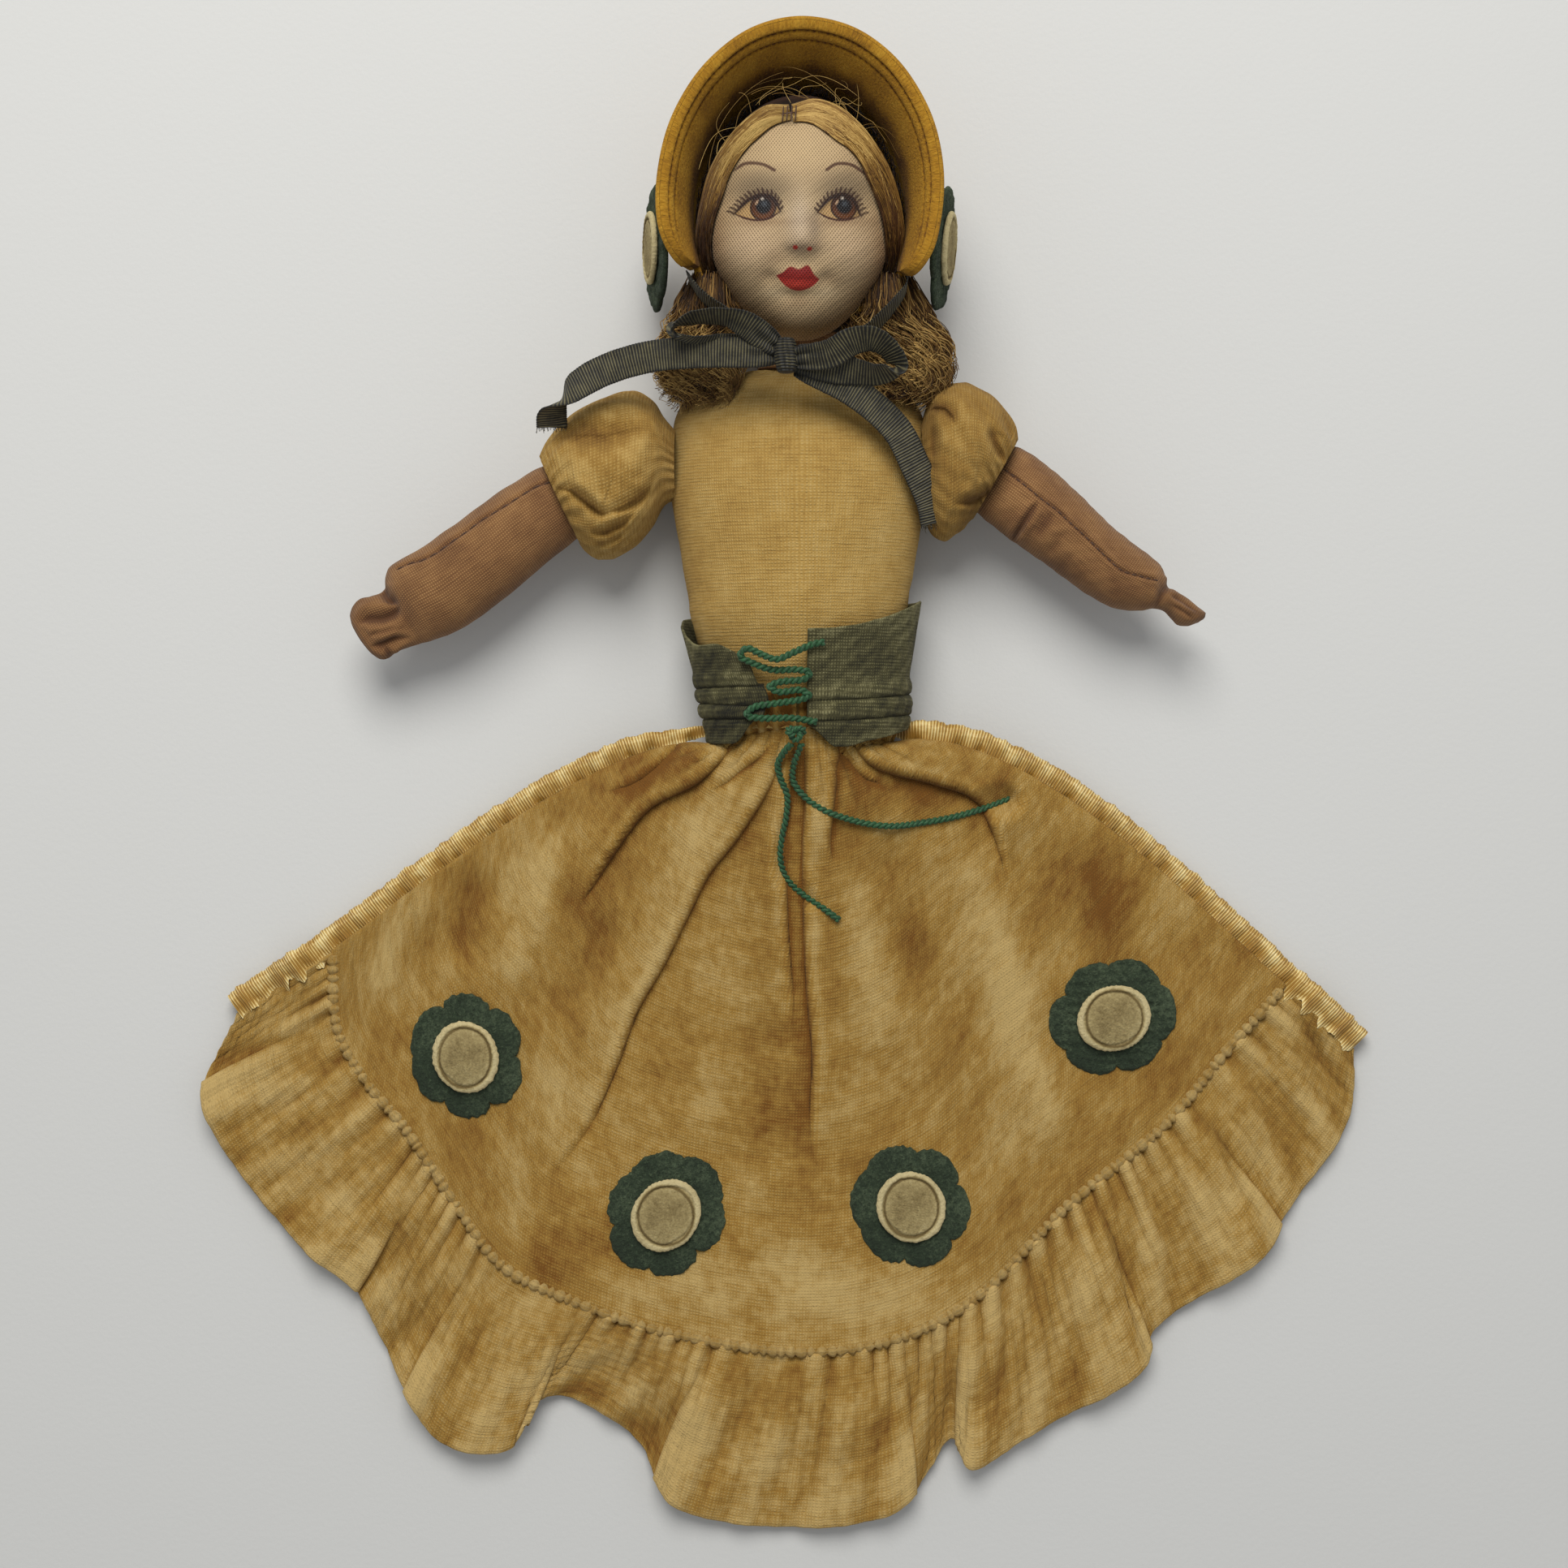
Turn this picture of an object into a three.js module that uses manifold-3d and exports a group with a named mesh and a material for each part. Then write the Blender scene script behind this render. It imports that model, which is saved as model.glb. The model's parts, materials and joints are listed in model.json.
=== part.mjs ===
// A stuffed cloth doll lying on its back: velvet bodice, gathered velvet skirt with a ruffle,
// pleated waist cincher with lacing, puff sleeves, moulded face, mohair wig and a felt bonnet.
// Millimetres, +Z up from the table, +Y towards the head, +X to the right of someone looking down.
// Y is 0 at the skirt's fold line while the doll is built, and X is 0 on its middle line.
import * as THREE from "three";
import Module from "manifold-3d";
import { mergeVertices } from "three/addons/utils/BufferGeometryUtils.js";

const wasm = await Module();
wasm.setup();

// Clearances shared by all pieces
const GAP = 0.3;
const SOFT_GAP = 0.45;
const OVERRUN = 6;

// Bodice and waist
const TORSO = { length: 75, halfWidth: 25.8, halfDepth: 13.5, hem: 4, cover: 0.9, squareness: 2.3 };
const NECK = { halfWidth: 6.4, halfDepth: 5.2, length: 6.4, lean: 4.4, footHeight: 14.6 };

// Head
const HEAD = {
  halfWidth: 17.3, halfHeight: 23.3, frontDepth: 18.5, backDepth: 20, centreHeight: 25, mask: 1,
  chinDrop: 4.2,
};
const NOSE = { height: 2.6, radius: 2.6, below: 8.6 };
const HAIR = { thickness: 2.2, curlRadius: 5.2, curlLength: 21 };

// Bonnet
const CROWN = { halfWidth: 22.3, halfHeight: 28.4, depth: 25.5, felt: 1.5, napeBelow: 17.5, lift: 1.2 };
const BRIM = { halfWidth: 27.2, halfHeight: 33, flare: 14.6, felt: 1.9, lift: 2.2, tiltShare: 4 / 180 };

// Felt flowers
const FLOWER = { radius: 12.3, felt: 1.3, lobes: 6, lobeDepth: 1.5, discRadius: 7.2, discFelt: 1.2 };
const DISC_RIM = { width: 1.1, rise: 0.4 };

// Ribbon round the chin
const RIBBON = { width: 5.8, thickness: 0.5 };
const KNOT = {
  halfWidth: 3.2, halfHeight: 3, halfDepth: 2.2, below: 4.74, height: 33.2, leftOfMiddle: 1.2,
};

// Arms
const ARM = {
  halfWidth: 7.8, halfDepth: 7.6, leftLength: 65, rightLength: 57, cover: 0.8, height: 14, squareness: 2.1,
};
const TAB = { thickness: 2, width: 13, reach: 3.4, sideGap: 0.35 };
const SHOULDER_ABOVE_HEM = 53.5;
const SLEEVE = {
  leftWidth: 24.4, rightWidth: 16.8, halfHeight: 16.2, halfDepth: 13.4, cloth: 1.3, dropShare: 0.079,
};

// Waist cincher and its lacing
const CINCHER = { cloth: 1.5, pleat: 1, pleats: 3, pleatedShare: 0.62, height: 29.4 };
const CORD = { diameter: 1.4, sides: 8 };

// Skirt
const SKIRT = {
  topWidth: 38, waistDepth: 17.2, sideHeight: 8.4, cloth: 1.2, length: 122.8, halfSpan: 99,
  leftBulge: 6.2, rightBulge: 9.4, foldDepth: 5.2, tableLift: 0.25,
};
const RUFFLE = { flute: 5.4, cloth: 1.2, centreDrop: 159.3, puckers: 23 };
const BINDING = { halfWidth: 1.9, halfHeight: 1.15, sides: 8, turnGap: 0.35, squareness: 2.4 };
const GATHERS = { length: 3.4, sides: 18 };

const X_AXIS = new THREE.Vector3(1, 0, 0);
const Y_AXIS = new THREE.Vector3(0, 1, 0);
const Z_AXIS = new THREE.Vector3(0, 0, 1);
const HALF_TURN = Math.PI;
const TURN = 2 * Math.PI;

const cloth = {
  bodice: { color: 0xb9924e, roughness: 0.92 },
  skirt: { color: 0xb98f4c, roughness: 0.92 },
  skin: { color: 0xb78d68, roughness: 0.85 },
  face: { color: 0xc6b098, roughness: 0.6 },
  stuffing: { color: 0xd9cfb8, roughness: 1 },
  mustard: { color: 0xb78a26, roughness: 1 },
  hair: { color: 0xa5763c, roughness: 0.7 },
  ribbon: { color: 0x51594a, roughness: 0.7 },
  cincher: { color: 0x5f6450, roughness: 0.92 },
  lace: { color: 0x246b4a, roughness: 0.6 },
  binding: { color: 0xc9ae78, roughness: 0.5 },
  greenFelt: { color: 0x39503a, roughness: 1 },
  creamFelt: { color: 0xbfa983, roughness: 1 },
};

const doll = new THREE.Group();

function add(name, geometry, finish, parent = doll) {
  const material = new THREE.MeshStandardMaterial({ ...cloth[finish], metalness: 0 });
  const mesh = new THREE.Mesh(geometry, material);
  mesh.name = name;
  parent.add(mesh);
  return mesh;
}

// Mesh helpers

function indexed(points, faces) {
  const geometry = new THREE.BufferGeometry();
  geometry.setAttribute("position", new THREE.Float32BufferAttribute(points.flatMap((p) => p.toArray()), 3));
  geometry.setIndex(faces.flat());
  return geometry;
}

function middle(ring) {
  return ring.reduce((sum, p) => sum.add(p), new THREE.Vector3()).divideScalar(ring.length);
}

// A closed skin through a row of rings. A ring may be closed by its own middle point, and
// joined is true where the last ring meets the first.
function loft(rings, { joined = false } = {}) {
  const count = rings[0].length;
  const points = rings.flat();
  const faces = [];
  const links = joined ? rings.length : rings.length - 1;
  for (let r = 0; r < links; r += 1) {
    const here = r * count;
    const next = ((r + 1) % rings.length) * count;
    for (let i = 0; i < count; i += 1) {
      const j = (i + 1) % count;
      faces.push([here + i, here + j, next + j], [here + i, next + j, next + i]);
    }
  }
  if (!joined) {
    const last = (rings.length - 1) * count;
    const start = points.push(middle(rings[0])) - 1;
    const end = points.push(middle(rings.at(-1))) - 1;
    for (let i = 0; i < count; i += 1) {
      const j = (i + 1) % count;
      faces.push([start, j, i], [end, last + i, last + j]);
    }
  }
  return facingOut(indexed(points, faces));
}

// A closed sheet of cloth between an upper and an under surface, both functions of two shares
function sheet(rows, columns, upper, under) {
  const points = [];
  const faces = [];
  const across = columns + 1;
  const underStart = (rows + 1) * across;
  for (const side of [upper, under]) {
    for (let r = 0; r <= rows; r += 1) {
      for (let c = 0; c <= columns; c += 1) points.push(side(r / rows, c / columns));
    }
  }
  const quad = (a, b, c, d) => faces.push([a, b, c], [a, c, d]);
  for (let r = 0; r < rows; r += 1) {
    for (let c = 0; c < columns; c += 1) {
      const a = r * across + c;
      quad(a, a + 1, a + across + 1, a + across);
      quad(underStart + a, underStart + a + across, underStart + a + across + 1, underStart + a + 1);
    }
    const left = r * across;
    const right = left + columns;
    quad(left, left + across, underStart + left + across, underStart + left);
    quad(right, underStart + right, underStart + right + across, right + across);
  }
  for (let c = 0; c < columns; c += 1) {
    const far = rows * across + c;
    quad(c, underStart + c, underStart + c + 1, c + 1);
    quad(far, far + 1, underStart + far + 1, underStart + far);
  }
  return facingOut(indexed(points, faces));
}

function facingOut(geometry) {
  const p = geometry.attributes.position;
  const index = geometry.index.array;
  const [a, b, c] = [new THREE.Vector3(), new THREE.Vector3(), new THREE.Vector3()];
  let volume = 0;
  for (let i = 0; i < index.length; i += 3) {
    a.fromBufferAttribute(p, index[i]);
    b.fromBufferAttribute(p, index[i + 1]);
    c.fromBufferAttribute(p, index[i + 2]);
    volume += a.dot(b.cross(c));
  }
  if (volume < 0) {
    for (let i = 0; i < index.length; i += 3) [index[i + 1], index[i + 2]] = [index[i + 2], index[i + 1]];
  }
  return geometry;
}

function solid(geometry) {
  const bare = geometry.clone();
  bare.deleteAttribute("normal");
  bare.deleteAttribute("uv");
  const merged = mergeVertices(bare);
  return new wasm.Manifold(new wasm.Mesh({
    numProp: 3,
    vertProperties: new Float32Array(merged.attributes.position.array),
    triVerts: new Uint32Array(merged.index.array),
  }));
}

function shape(manifold) {
  const mesh = manifold.getMesh();
  const geometry = new THREE.BufferGeometry();
  geometry.setAttribute("position", new THREE.BufferAttribute(mesh.vertProperties, 3));
  geometry.setIndex(new THREE.BufferAttribute(mesh.triVerts, 1));
  return geometry;
}

function block(low, high) {
  const size = new THREE.Vector3().subVectors(high, low);
  const box = new THREE.BoxGeometry(size.x, size.y, size.z);
  const centre = new THREE.Vector3().addVectors(low, high).divideScalar(2);
  return solid(box.translate(centre.x, centre.y, centre.z));
}

// One ring of a stuffed body, in the plane of two unit vectors
function ring(centre, across, up, halfWidth, halfDepth, sides, squareness = 2) {
  const power = 2 / squareness;
  const bend = (v) => Math.sign(v) * Math.abs(v) ** power;
  return Array.from({ length: sides }, (_, i) => {
    const angle = (TURN * i) / sides;
    return centre.clone()
      .addScaledVector(across, halfWidth * bend(Math.sin(angle)))
      .addScaledVector(up, halfDepth * bend(Math.cos(angle)));
  });
}

// A value read from a table of [place, value, ...] rows, smooth between its rows
function reading(table, place, column) {
  const last = table.length - 1;
  if (place <= table[0][0]) return table[0][column];
  if (place >= table[last][0]) return table[last][column];
  const i = table.findIndex((row) => row[0] > place) - 1;
  const share = (place - table[i][0]) / (table[i + 1][0] - table[i][0]);
  const before = table[Math.max(i - 1, 0)][column];
  const after = table[Math.min(i + 2, last)][column];
  const [from, to] = [table[i][column], table[i + 1][column]];
  const curve = THREE.MathUtils.clamp(share, 0, 1);
  const bent = 0.5 * (2 * from + (to - before) * curve + (2 * before - 5 * from + 4 * to - after) * curve ** 2
    + (3 * from - before - 3 * to + after) * curve ** 3);
  return THREE.MathUtils.clamp(bent, Math.min(from, to), Math.max(from, to));
}

const hump = (value, centre, width) => Math.exp(-(((value - centre) / width) ** 2));

// Bodice: rows are shares of the length, half width, half depth and centre height
const torsoShares = [
  [0, 0.74, 0.62, 0.8],
  [0.16, 0.76, 0.68, 0.86],
  [0.27, 0.795, 0.77, 0.935],
  [0.36, 0.84, 0.86, 1.015],
  [0.48, 0.895, 0.94, 0.99],
  [0.59, 0.95, 1, 0.97],
  [0.7, 1, 0.985, 0.96],
  [0.81, 0.995, 0.9, 0.945],
  [0.88, 0.965, 0.78, 0.93],
  [0.935, 0.88, 0.62, 0.95],
  [0.975, 0.7, 0.45, 1],
  [1, 0.42, 0.33, 1.05],
];

function torsoAt(y, grow = 0) {
  const share = y / TORSO.length;
  return {
    halfWidth: TORSO.halfWidth * reading(torsoShares, share, 1) + grow,
    halfDepth: TORSO.halfDepth * reading(torsoShares, share, 2) + grow,
    height: TORSO.halfDepth * reading(torsoShares, share, 3),
  };
}

function torsoRing(y, grow, sides) {
  const s = torsoAt(y, grow);
  const centre = new THREE.Vector3(0, y, s.height);
  return ring(centre, X_AXIS, Z_AXIS, s.halfWidth, s.halfDepth, sides, TORSO.squareness);
}

// Height of the front of the bodice above a place, with the given growth
function frontHeight(x, y, grow = 0) {
  const s = torsoAt(y, grow);
  const side = Math.min(Math.abs(x / s.halfWidth), 1) ** TORSO.squareness;
  return s.height + s.halfDepth * (1 - side) ** (1 / TORSO.squareness);
}

function torsoRings(from, to, grow, sides) {
  const inside = torsoShares.map((row) => row[0] * TORSO.length).filter((y) => y > from && y < to);
  return [from, ...inside, to].map((y) => torsoRing(y, grow, sides));
}

const tableTop = block(
  new THREE.Vector3(-RUFFLE.centreDrop, -RUFFLE.centreDrop, -TORSO.halfDepth * 2),
  new THREE.Vector3(RUFFLE.centreDrop, RUFFLE.centreDrop, 0),
);

// The velvet cover is open at the waist hem, where the skirt's gathers close it
function makeTorso() {
  const sides = 16;
  const outside = torsoRings(TORSO.hem, TORSO.length, 0, sides);
  const inside = torsoRings(TORSO.hem, TORSO.length - 2 * TORSO.cover, -TORSO.cover, sides);
  const cover = solid(loft([...outside.reverse(), ...inside]));
  add("torso_cover", shape(cover.subtract(tableTop)), "bodice");
  const inset = TORSO.cover + GAP;
  const stuffing = torsoRings(TORSO.hem + GAP, TORSO.length - 2 * inset, -inset, sides);
  add("torso_stuffing", loft(stuffing), "stuffing");
}

const neckSides = 14;

function makeNeck() {
  const foot = TORSO.length + GAP;
  const rings = [0, 0.5, 1].map((share) => ring(
    new THREE.Vector3(0, foot + NECK.length * share, NECK.footHeight + NECK.lean * share),
    X_AXIS, Z_AXIS, NECK.halfWidth * (1 - 0.12 * hump(share, 0.5, 0.3)), NECK.halfDepth, neckSides,
  ));
  add("neck", loft(rings), "skin");
}

makeTorso();
makeNeck();

// Head

const NECK_TOP = TORSO.length + GAP + NECK.length;
const HEAD_CENTRE = new THREE.Vector3(
  0, NECK_TOP + GAP + HEAD.halfHeight - HEAD.chinDrop + 1.5 * HEAD.mask, HEAD.centreHeight,
);

// A point on the head at a tilt from straight up and a turn about it, grown outwards
function headPoint(tilt, turn, grow) {
  const x = Math.sin(tilt) * Math.cos(turn);
  const y = Math.sin(tilt) * Math.sin(turn);
  const z = Math.cos(tilt);
  const jaw = 1 - 0.1 * Math.max(-y, 0) ** 2 + 0.03 * hump(y, -0.2, 0.35);
  const depth = z > 0 ? HEAD.frontDepth : HEAD.backDepth;
  return HEAD_CENTRE.clone().add(new THREE.Vector3(
    (HEAD.halfWidth * jaw + grow) * x, (HEAD.halfHeight + grow) * y, (depth + grow) * z,
  ));
}

function facePoint(tilt, turn, grow) {
  const p = headPoint(tilt, turn, grow);
  const dx = p.x / NOSE.radius;
  const dy = (p.y - HEAD_CENTRE.y + NOSE.below) / (1.5 * NOSE.radius);
  p.z += NOSE.height * (1 + grow / (4 * HEAD.mask)) * Math.exp(-(dx * dx + dy * dy));
  return p;
}

const headRing = (point, tilt, grow, sides) =>
  Array.from({ length: sides }, (_, i) => point(tilt, (TURN * i) / sides, grow));

function tilts(from, to, steps) {
  return Array.from({ length: steps + 1 }, (_, i) => HALF_TURN * THREE.MathUtils.lerp(from, to, i / steps));
}

const headSides = 18;
// Tilts away from straight up, in shares of a half turn, at which the pieces round the head start and end
const tiltShares = {
  nose: 7 / 180, faceEdge: 88 / 180, crownFront: 0.5, hairFront: 94 / 180, capFront: 95 / 180,
  stuffing: 104 / 180, back: 172 / 180,
};

function makeHead() {
  const face = tilts(tiltShares.nose, tiltShares.faceEdge, 8);
  const faceRings = (grow) => face.map((tilt) => headRing(facePoint, tilt, grow, headSides));
  add("face_mask", loft([...faceRings(0), ...faceRings(-HEAD.mask).reverse()]), "face");

  const backTilts = tilts(tiltShares.stuffing, tiltShares.back, 5);
  const back = backTilts.map((tilt) => headRing(headPoint, tilt, 0, headSides));
  const seat = block(
    new THREE.Vector3(-HEAD.halfWidth, 0, -OVERRUN),
    new THREE.Vector3(HEAD.halfWidth, NECK_TOP + GAP, HEAD.centreHeight * 2),
  );
  const stuffing = solid(loft([...faceRings(-HEAD.mask - SOFT_GAP), ...back]));
  add("head_stuffing", shape(stuffing.subtract(seat)), "stuffing");
}

// The wig: a cap of hair round the back, two locks swept off the face and two bunches of curls
function makeWig() {
  const cap = tilts(tiltShares.back, tiltShares.capFront, 5);
  const capRings = (grow) => cap.map((tilt) => headRing(headPoint, tilt, grow, headSides));
  const nape = block(
    new THREE.Vector3(-NECK.halfWidth * 2, 0, -OVERRUN),
    new THREE.Vector3(NECK.halfWidth * 2, NECK_TOP + 2 * GAP, HEAD.centreHeight * 2),
  );
  const capShell = solid(loft([...capRings(GAP + HAIR.thickness), ...capRings(GAP).reverse()]));
  add("wig_back", shape(capShell.subtract(nape)), "hair");

  // Rows: share of the way from the parting down to the cheek, and the tilt of the hair's edge.
  // Each lock runs between two turns. Tilts and turns are shares of a half turn.
  const hairlineShares = [[0, 57 / 180], [0.25, 58 / 180], [0.5, 63 / 180], [0.75, 76 / 180], [1, 84 / 180]];
  const lockShares = { left: [97.5 / 180, 205 / 180], right: [95.5 / 180, -25 / 180] };
  for (const [side, [from, to]] of Object.entries(lockShares)) {
    const point = (grow) => (s, t) => {
      const tilt = THREE.MathUtils.lerp(reading(hairlineShares, t, 1), tiltShares.hairFront, s);
      const turn = THREE.MathUtils.lerp(from, to, t);
      return headPoint(HALF_TURN * tilt, HALF_TURN * turn, grow(s));
    };
    const roundEdge = (s) => {
      const swell = Math.sin((HALF_TURN / 2) * Math.min(s * 1.6, 1));
      return GAP + HAIR.thickness * (0.45 + 0.55 * swell);
    };
    add("wig_front_" + side, sheet(3, 10, point(roundEdge), point(() => GAP)), "hair");
  }
}

// Curls hang below the bonnet on each side, as ringlets lying together. Rows: places across, up
// and the length and radius as shares of the hair's.
const curlShares = [
  [-0.7, 0.6, 0.5, 0.95],
  [0.95, 0.68, 0.43, 0.9],
];
const curlSteps = 8;

function curl(side, xShare, zShare, lengthShare, radiusShare) {
  const radius = HAIR.curlRadius * radiusShare;
  const top = HEAD_CENTRE.y - CROWN.napeBelow - SOFT_GAP;
  const x = side * (HEAD.halfWidth + HAIR.curlRadius * (0.95 - xShare));
  const z = HEAD.centreHeight * zShare;
  const rings = Array.from({ length: curlSteps + 1 }, (_, i) => {
    const share = i / curlSteps;
    const belly = Math.sin(HALF_TURN * Math.min(0.12 + share * 0.86, 1));
    const swell = radius * (0.52 + 0.48 * belly + 0.09 * Math.cos(TURN * 3 * share));
    const sway = side * radius * 0.3 * Math.sin(TURN * share);
    const centre = new THREE.Vector3(x + sway, top - HAIR.curlLength * lengthShare * share, z);
    return ring(centre, X_AXIS, Z_AXIS, swell, swell, 8);
  });
  return solid(loft(rings));
}

function makeCurls() {
  for (const [name, side] of [["curls_left", -1], ["curls_right", 1]]) {
    const [outer, inner] = curlShares.map(([x, z, length, r]) => curl(side, x, z, length, r));
    add(name, shape(outer.add(inner)), "hair");
  }
}

makeHead();
makeWig();
makeCurls();

// Bonnet

function crownPoint(tilt, turn, grow) {
  return new THREE.Vector3(
    (CROWN.halfWidth + grow) * Math.sin(tilt) * Math.cos(turn),
    HEAD_CENTRE.y + CROWN.lift + (CROWN.halfHeight + grow) * Math.sin(tilt) * Math.sin(turn),
    HEAD.centreHeight + (CROWN.depth + grow) * Math.cos(tilt),
  );
}

function makeCrown() {
  const sides = 20;
  const steps = tilts(tiltShares.back, tiltShares.crownFront, 5);
  const outside = steps.map((tilt) => headRing(crownPoint, tilt, 0, sides));
  const inside = steps.map((tilt) => headRing(crownPoint, tilt, -CROWN.felt, sides)).reverse();
  const nape = block(
    new THREE.Vector3(-2 * CROWN.halfWidth, 0, -OVERRUN),
    new THREE.Vector3(2 * CROWN.halfWidth, HEAD_CENTRE.y - CROWN.napeBelow, HEAD.centreHeight * 2),
  );
  const bowl = solid(loft([...outside, ...inside]));
  add("bonnet_crown", shape(bowl.subtract(nape).subtract(tableTop)), "mustard");
}

// The brim is a band that flares forward from the crown, over the top from cheek to cheek. Its
// half reach and the taper of its ends are shares of a half turn.
const brimShares = { half: 116 / 180, taper: 12 / 180 };

function brimPoint(s, t, grow) {
  const turn = THREE.MathUtils.lerp(-brimShares.half, brimShares.half, t);
  const overTip = Math.max(Math.abs(turn) - brimShares.half + brimShares.taper, 0) / brimShares.taper;
  const band = 0.45 + 0.55 * Math.sqrt(1 - overTip ** 2);
  const reach = THREE.MathUtils.clamp(0.5 + (s - 0.5) * band, 0, 1);
  const inX = CROWN.halfWidth - CROWN.felt / 2;
  const inY = CROWN.halfHeight - CROWN.felt / 2;
  const angle = HALF_TURN * turn;
  const wide = THREE.MathUtils.lerp(inX, BRIM.halfWidth, reach) + grow;
  const tall = THREE.MathUtils.lerp(inY, BRIM.halfHeight, reach) + grow;
  const centreY = HEAD_CENTRE.y + THREE.MathUtils.lerp(CROWN.lift, BRIM.lift, reach);
  const tilt = HALF_TURN * BRIM.tiltShare * reach;
  const x = wide * Math.sin(angle);
  const y = tall * Math.cos(angle);
  return new THREE.Vector3(
    x * Math.cos(tilt) + y * Math.sin(tilt),
    centreY + y * Math.cos(tilt) - x * Math.sin(tilt),
    HEAD.centreHeight + GAP + BRIM.flare * reach,
  );
}

function makeBrim() {
  const inner = (s, t) => brimPoint(s, t, -BRIM.felt / 2);
  const outer = (s, t) => brimPoint(s, t, BRIM.felt / 2);
  add("bonnet_brim", sheet(3, 32, inner, outer), "mustard");
}

// Felt flowers, flat with their face towards +Z and their back at the group's origin
function flowerOutline() {
  const steps = FLOWER.lobes * 5;
  return new THREE.Shape(Array.from({ length: steps }, (_, i) => {
    const angle = (TURN * i) / steps;
    const notch = Math.abs(Math.sin((FLOWER.lobes * angle) / 2)) ** 0.6;
    const r = FLOWER.radius - FLOWER.lobeDepth * (1 - notch);
    return new THREE.Vector2(r * Math.cos(angle), r * Math.sin(angle));
  }));
}

function discProfile() {
  const top = FLOWER.discFelt;
  const inner = FLOWER.discRadius - DISC_RIM.width;
  return [
    [0, 0], [FLOWER.discRadius - DISC_RIM.rise, 0], [FLOWER.discRadius, top / 2],
    [FLOWER.discRadius - DISC_RIM.rise, top + DISC_RIM.rise], [inner, top], [0, top + DISC_RIM.rise / 2],
  ].map(([r, z]) => new THREE.Vector2(r, z));
}

function makeFlower(name, centreName, centre, normal, spin = 0) {
  const group = new THREE.Group();
  group.position.copy(centre);
  group.quaternion.setFromUnitVectors(Z_AXIS, normal.clone().normalize());
  const felt = new THREE.ExtrudeGeometry(flowerOutline(), { depth: FLOWER.felt, bevelEnabled: false });
  add(name, felt.rotateZ(spin), "greenFelt", group);
  const disc = new THREE.LatheGeometry(discProfile(), 14).rotateX(HALF_TURN / 2);
  disc.translate(0, 0, FLOWER.felt + GAP);
  add(centreName, disc, "creamFelt", group);
  doll.add(group);
}

function makeBonnetFlowers() {
  const lean = 0.2;
  const spin = 0.26;
  // The flower's inner face stands just off the brim's outer face, near the flower's top edge
  const seatShare = 0.47;
  const sideShare = 0.37;
  for (const [sideName, side, yaw] of [["left", -1, -0.04], ["right", 1, -0.1]]) {
    const normal = new THREE.Vector3(side, yaw, lean).normalize();
    const brimSide = brimPoint(seatShare, 0.5 + side * sideShare, BRIM.felt / 2);
    const touch = new THREE.Vector3(brimSide.x, HEAD_CENTRE.y - 3 * FLOWER.felt, brimSide.z);
    const drop = brimSide.z - (HEAD.centreHeight - 4 * FLOWER.felt);
    const centre = touch.clone().add(new THREE.Vector3(side * drop * lean, 0, -drop));
    makeFlower("bonnet_flower_" + sideName, "bonnet_flower_centre_" + sideName, centre, normal, spin);
  }
}

makeCrown();
makeBrim();
makeBonnetFlowers();

// Ribbon: a flat strip along a curve. Each row gives a place and the way its width faces.

function ribbonStrip(rows, steps) {
  const path = new THREE.CatmullRomCurve3(rows.map((row) => row.place), false, "centripetal");
  const facing = (share) => {
    const at = share * (rows.length - 1);
    const i = Math.min(Math.floor(at), rows.length - 2);
    return rows[i].across.clone().lerp(rows[i + 1].across, at - i);
  };
  const side = (lift) => (s, t) => {
    const along = path.getTangent(s).normalize();
    const across = facing(s);
    across.addScaledVector(along, -across.dot(along)).normalize();
    const normal = new THREE.Vector3().crossVectors(along, across).normalize();
    return path.getPoint(s)
      .addScaledVector(across, (t - 0.5) * RIBBON.width)
      .addScaledVector(normal, lift * RIBBON.thickness / 2);
  };
  return sheet(steps, 1, side(1), side(-1));
}

// Places are shares of the bow's reach across, along the doll and up, from the knot's centre,
// and each row ends with the way that the ribbon's width faces there
const BOW = { across: 50, along: 34, up: 10 };
const KNOT_CENTRE = new THREE.Vector3(
  -KNOT.leftOfMiddle, HEAD_CENTRE.y - HEAD.halfHeight - KNOT.below, KNOT.height,
);

function bowRows(shares) {
  return shares.map(([x, y, z, ax, ay, az]) => ({
    place: KNOT_CENTRE.clone().add(new THREE.Vector3(BOW.across * x, BOW.along * y, BOW.up * z)),
    across: new THREE.Vector3(ax, ay, az),
  }));
}

const strapLeftShares = [
  [-0.066, 0.09, -0.22, 0, 0.5, 0.9], [-0.17, 0.17, -0.25, 0, 0.4, 0.9], [-0.27, 0.29, -0.3, 0, 0.3, 1],
  [-0.364, 0.494, -0.3, 0, 0.1, 1],
];
const strapRightShares = [
  [0.064, 0.06, -0.17, 0, 0.5, 0.9], [0.18, 0.13, -0.25, 0, 0.4, 0.9], [0.29, 0.25, -0.3, 0, 0.3, 1],
  [0.402, 0.476, -0.3, 0, 0.1, 1],
];
const loopLeftShares = [
  [-0.055, 0.03, 0.2, 0.1, 0.9, 0.1], [-0.22, 0.12, 0.46, 0, 0.9, 0.1], [-0.36, 0.15, 0.56, 0, 0.8, 0.4],
  [-0.45, 0.14, 0.35, 0, 0.8, 0.6], [-0.36, 0.12, 0.12, 0, 0.9, 0.2], [-0.22, 0.09, 0.08, 0, 1, 0],
  [-0.075, 0.02, 0.02, 0, 1, 0],
];
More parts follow.
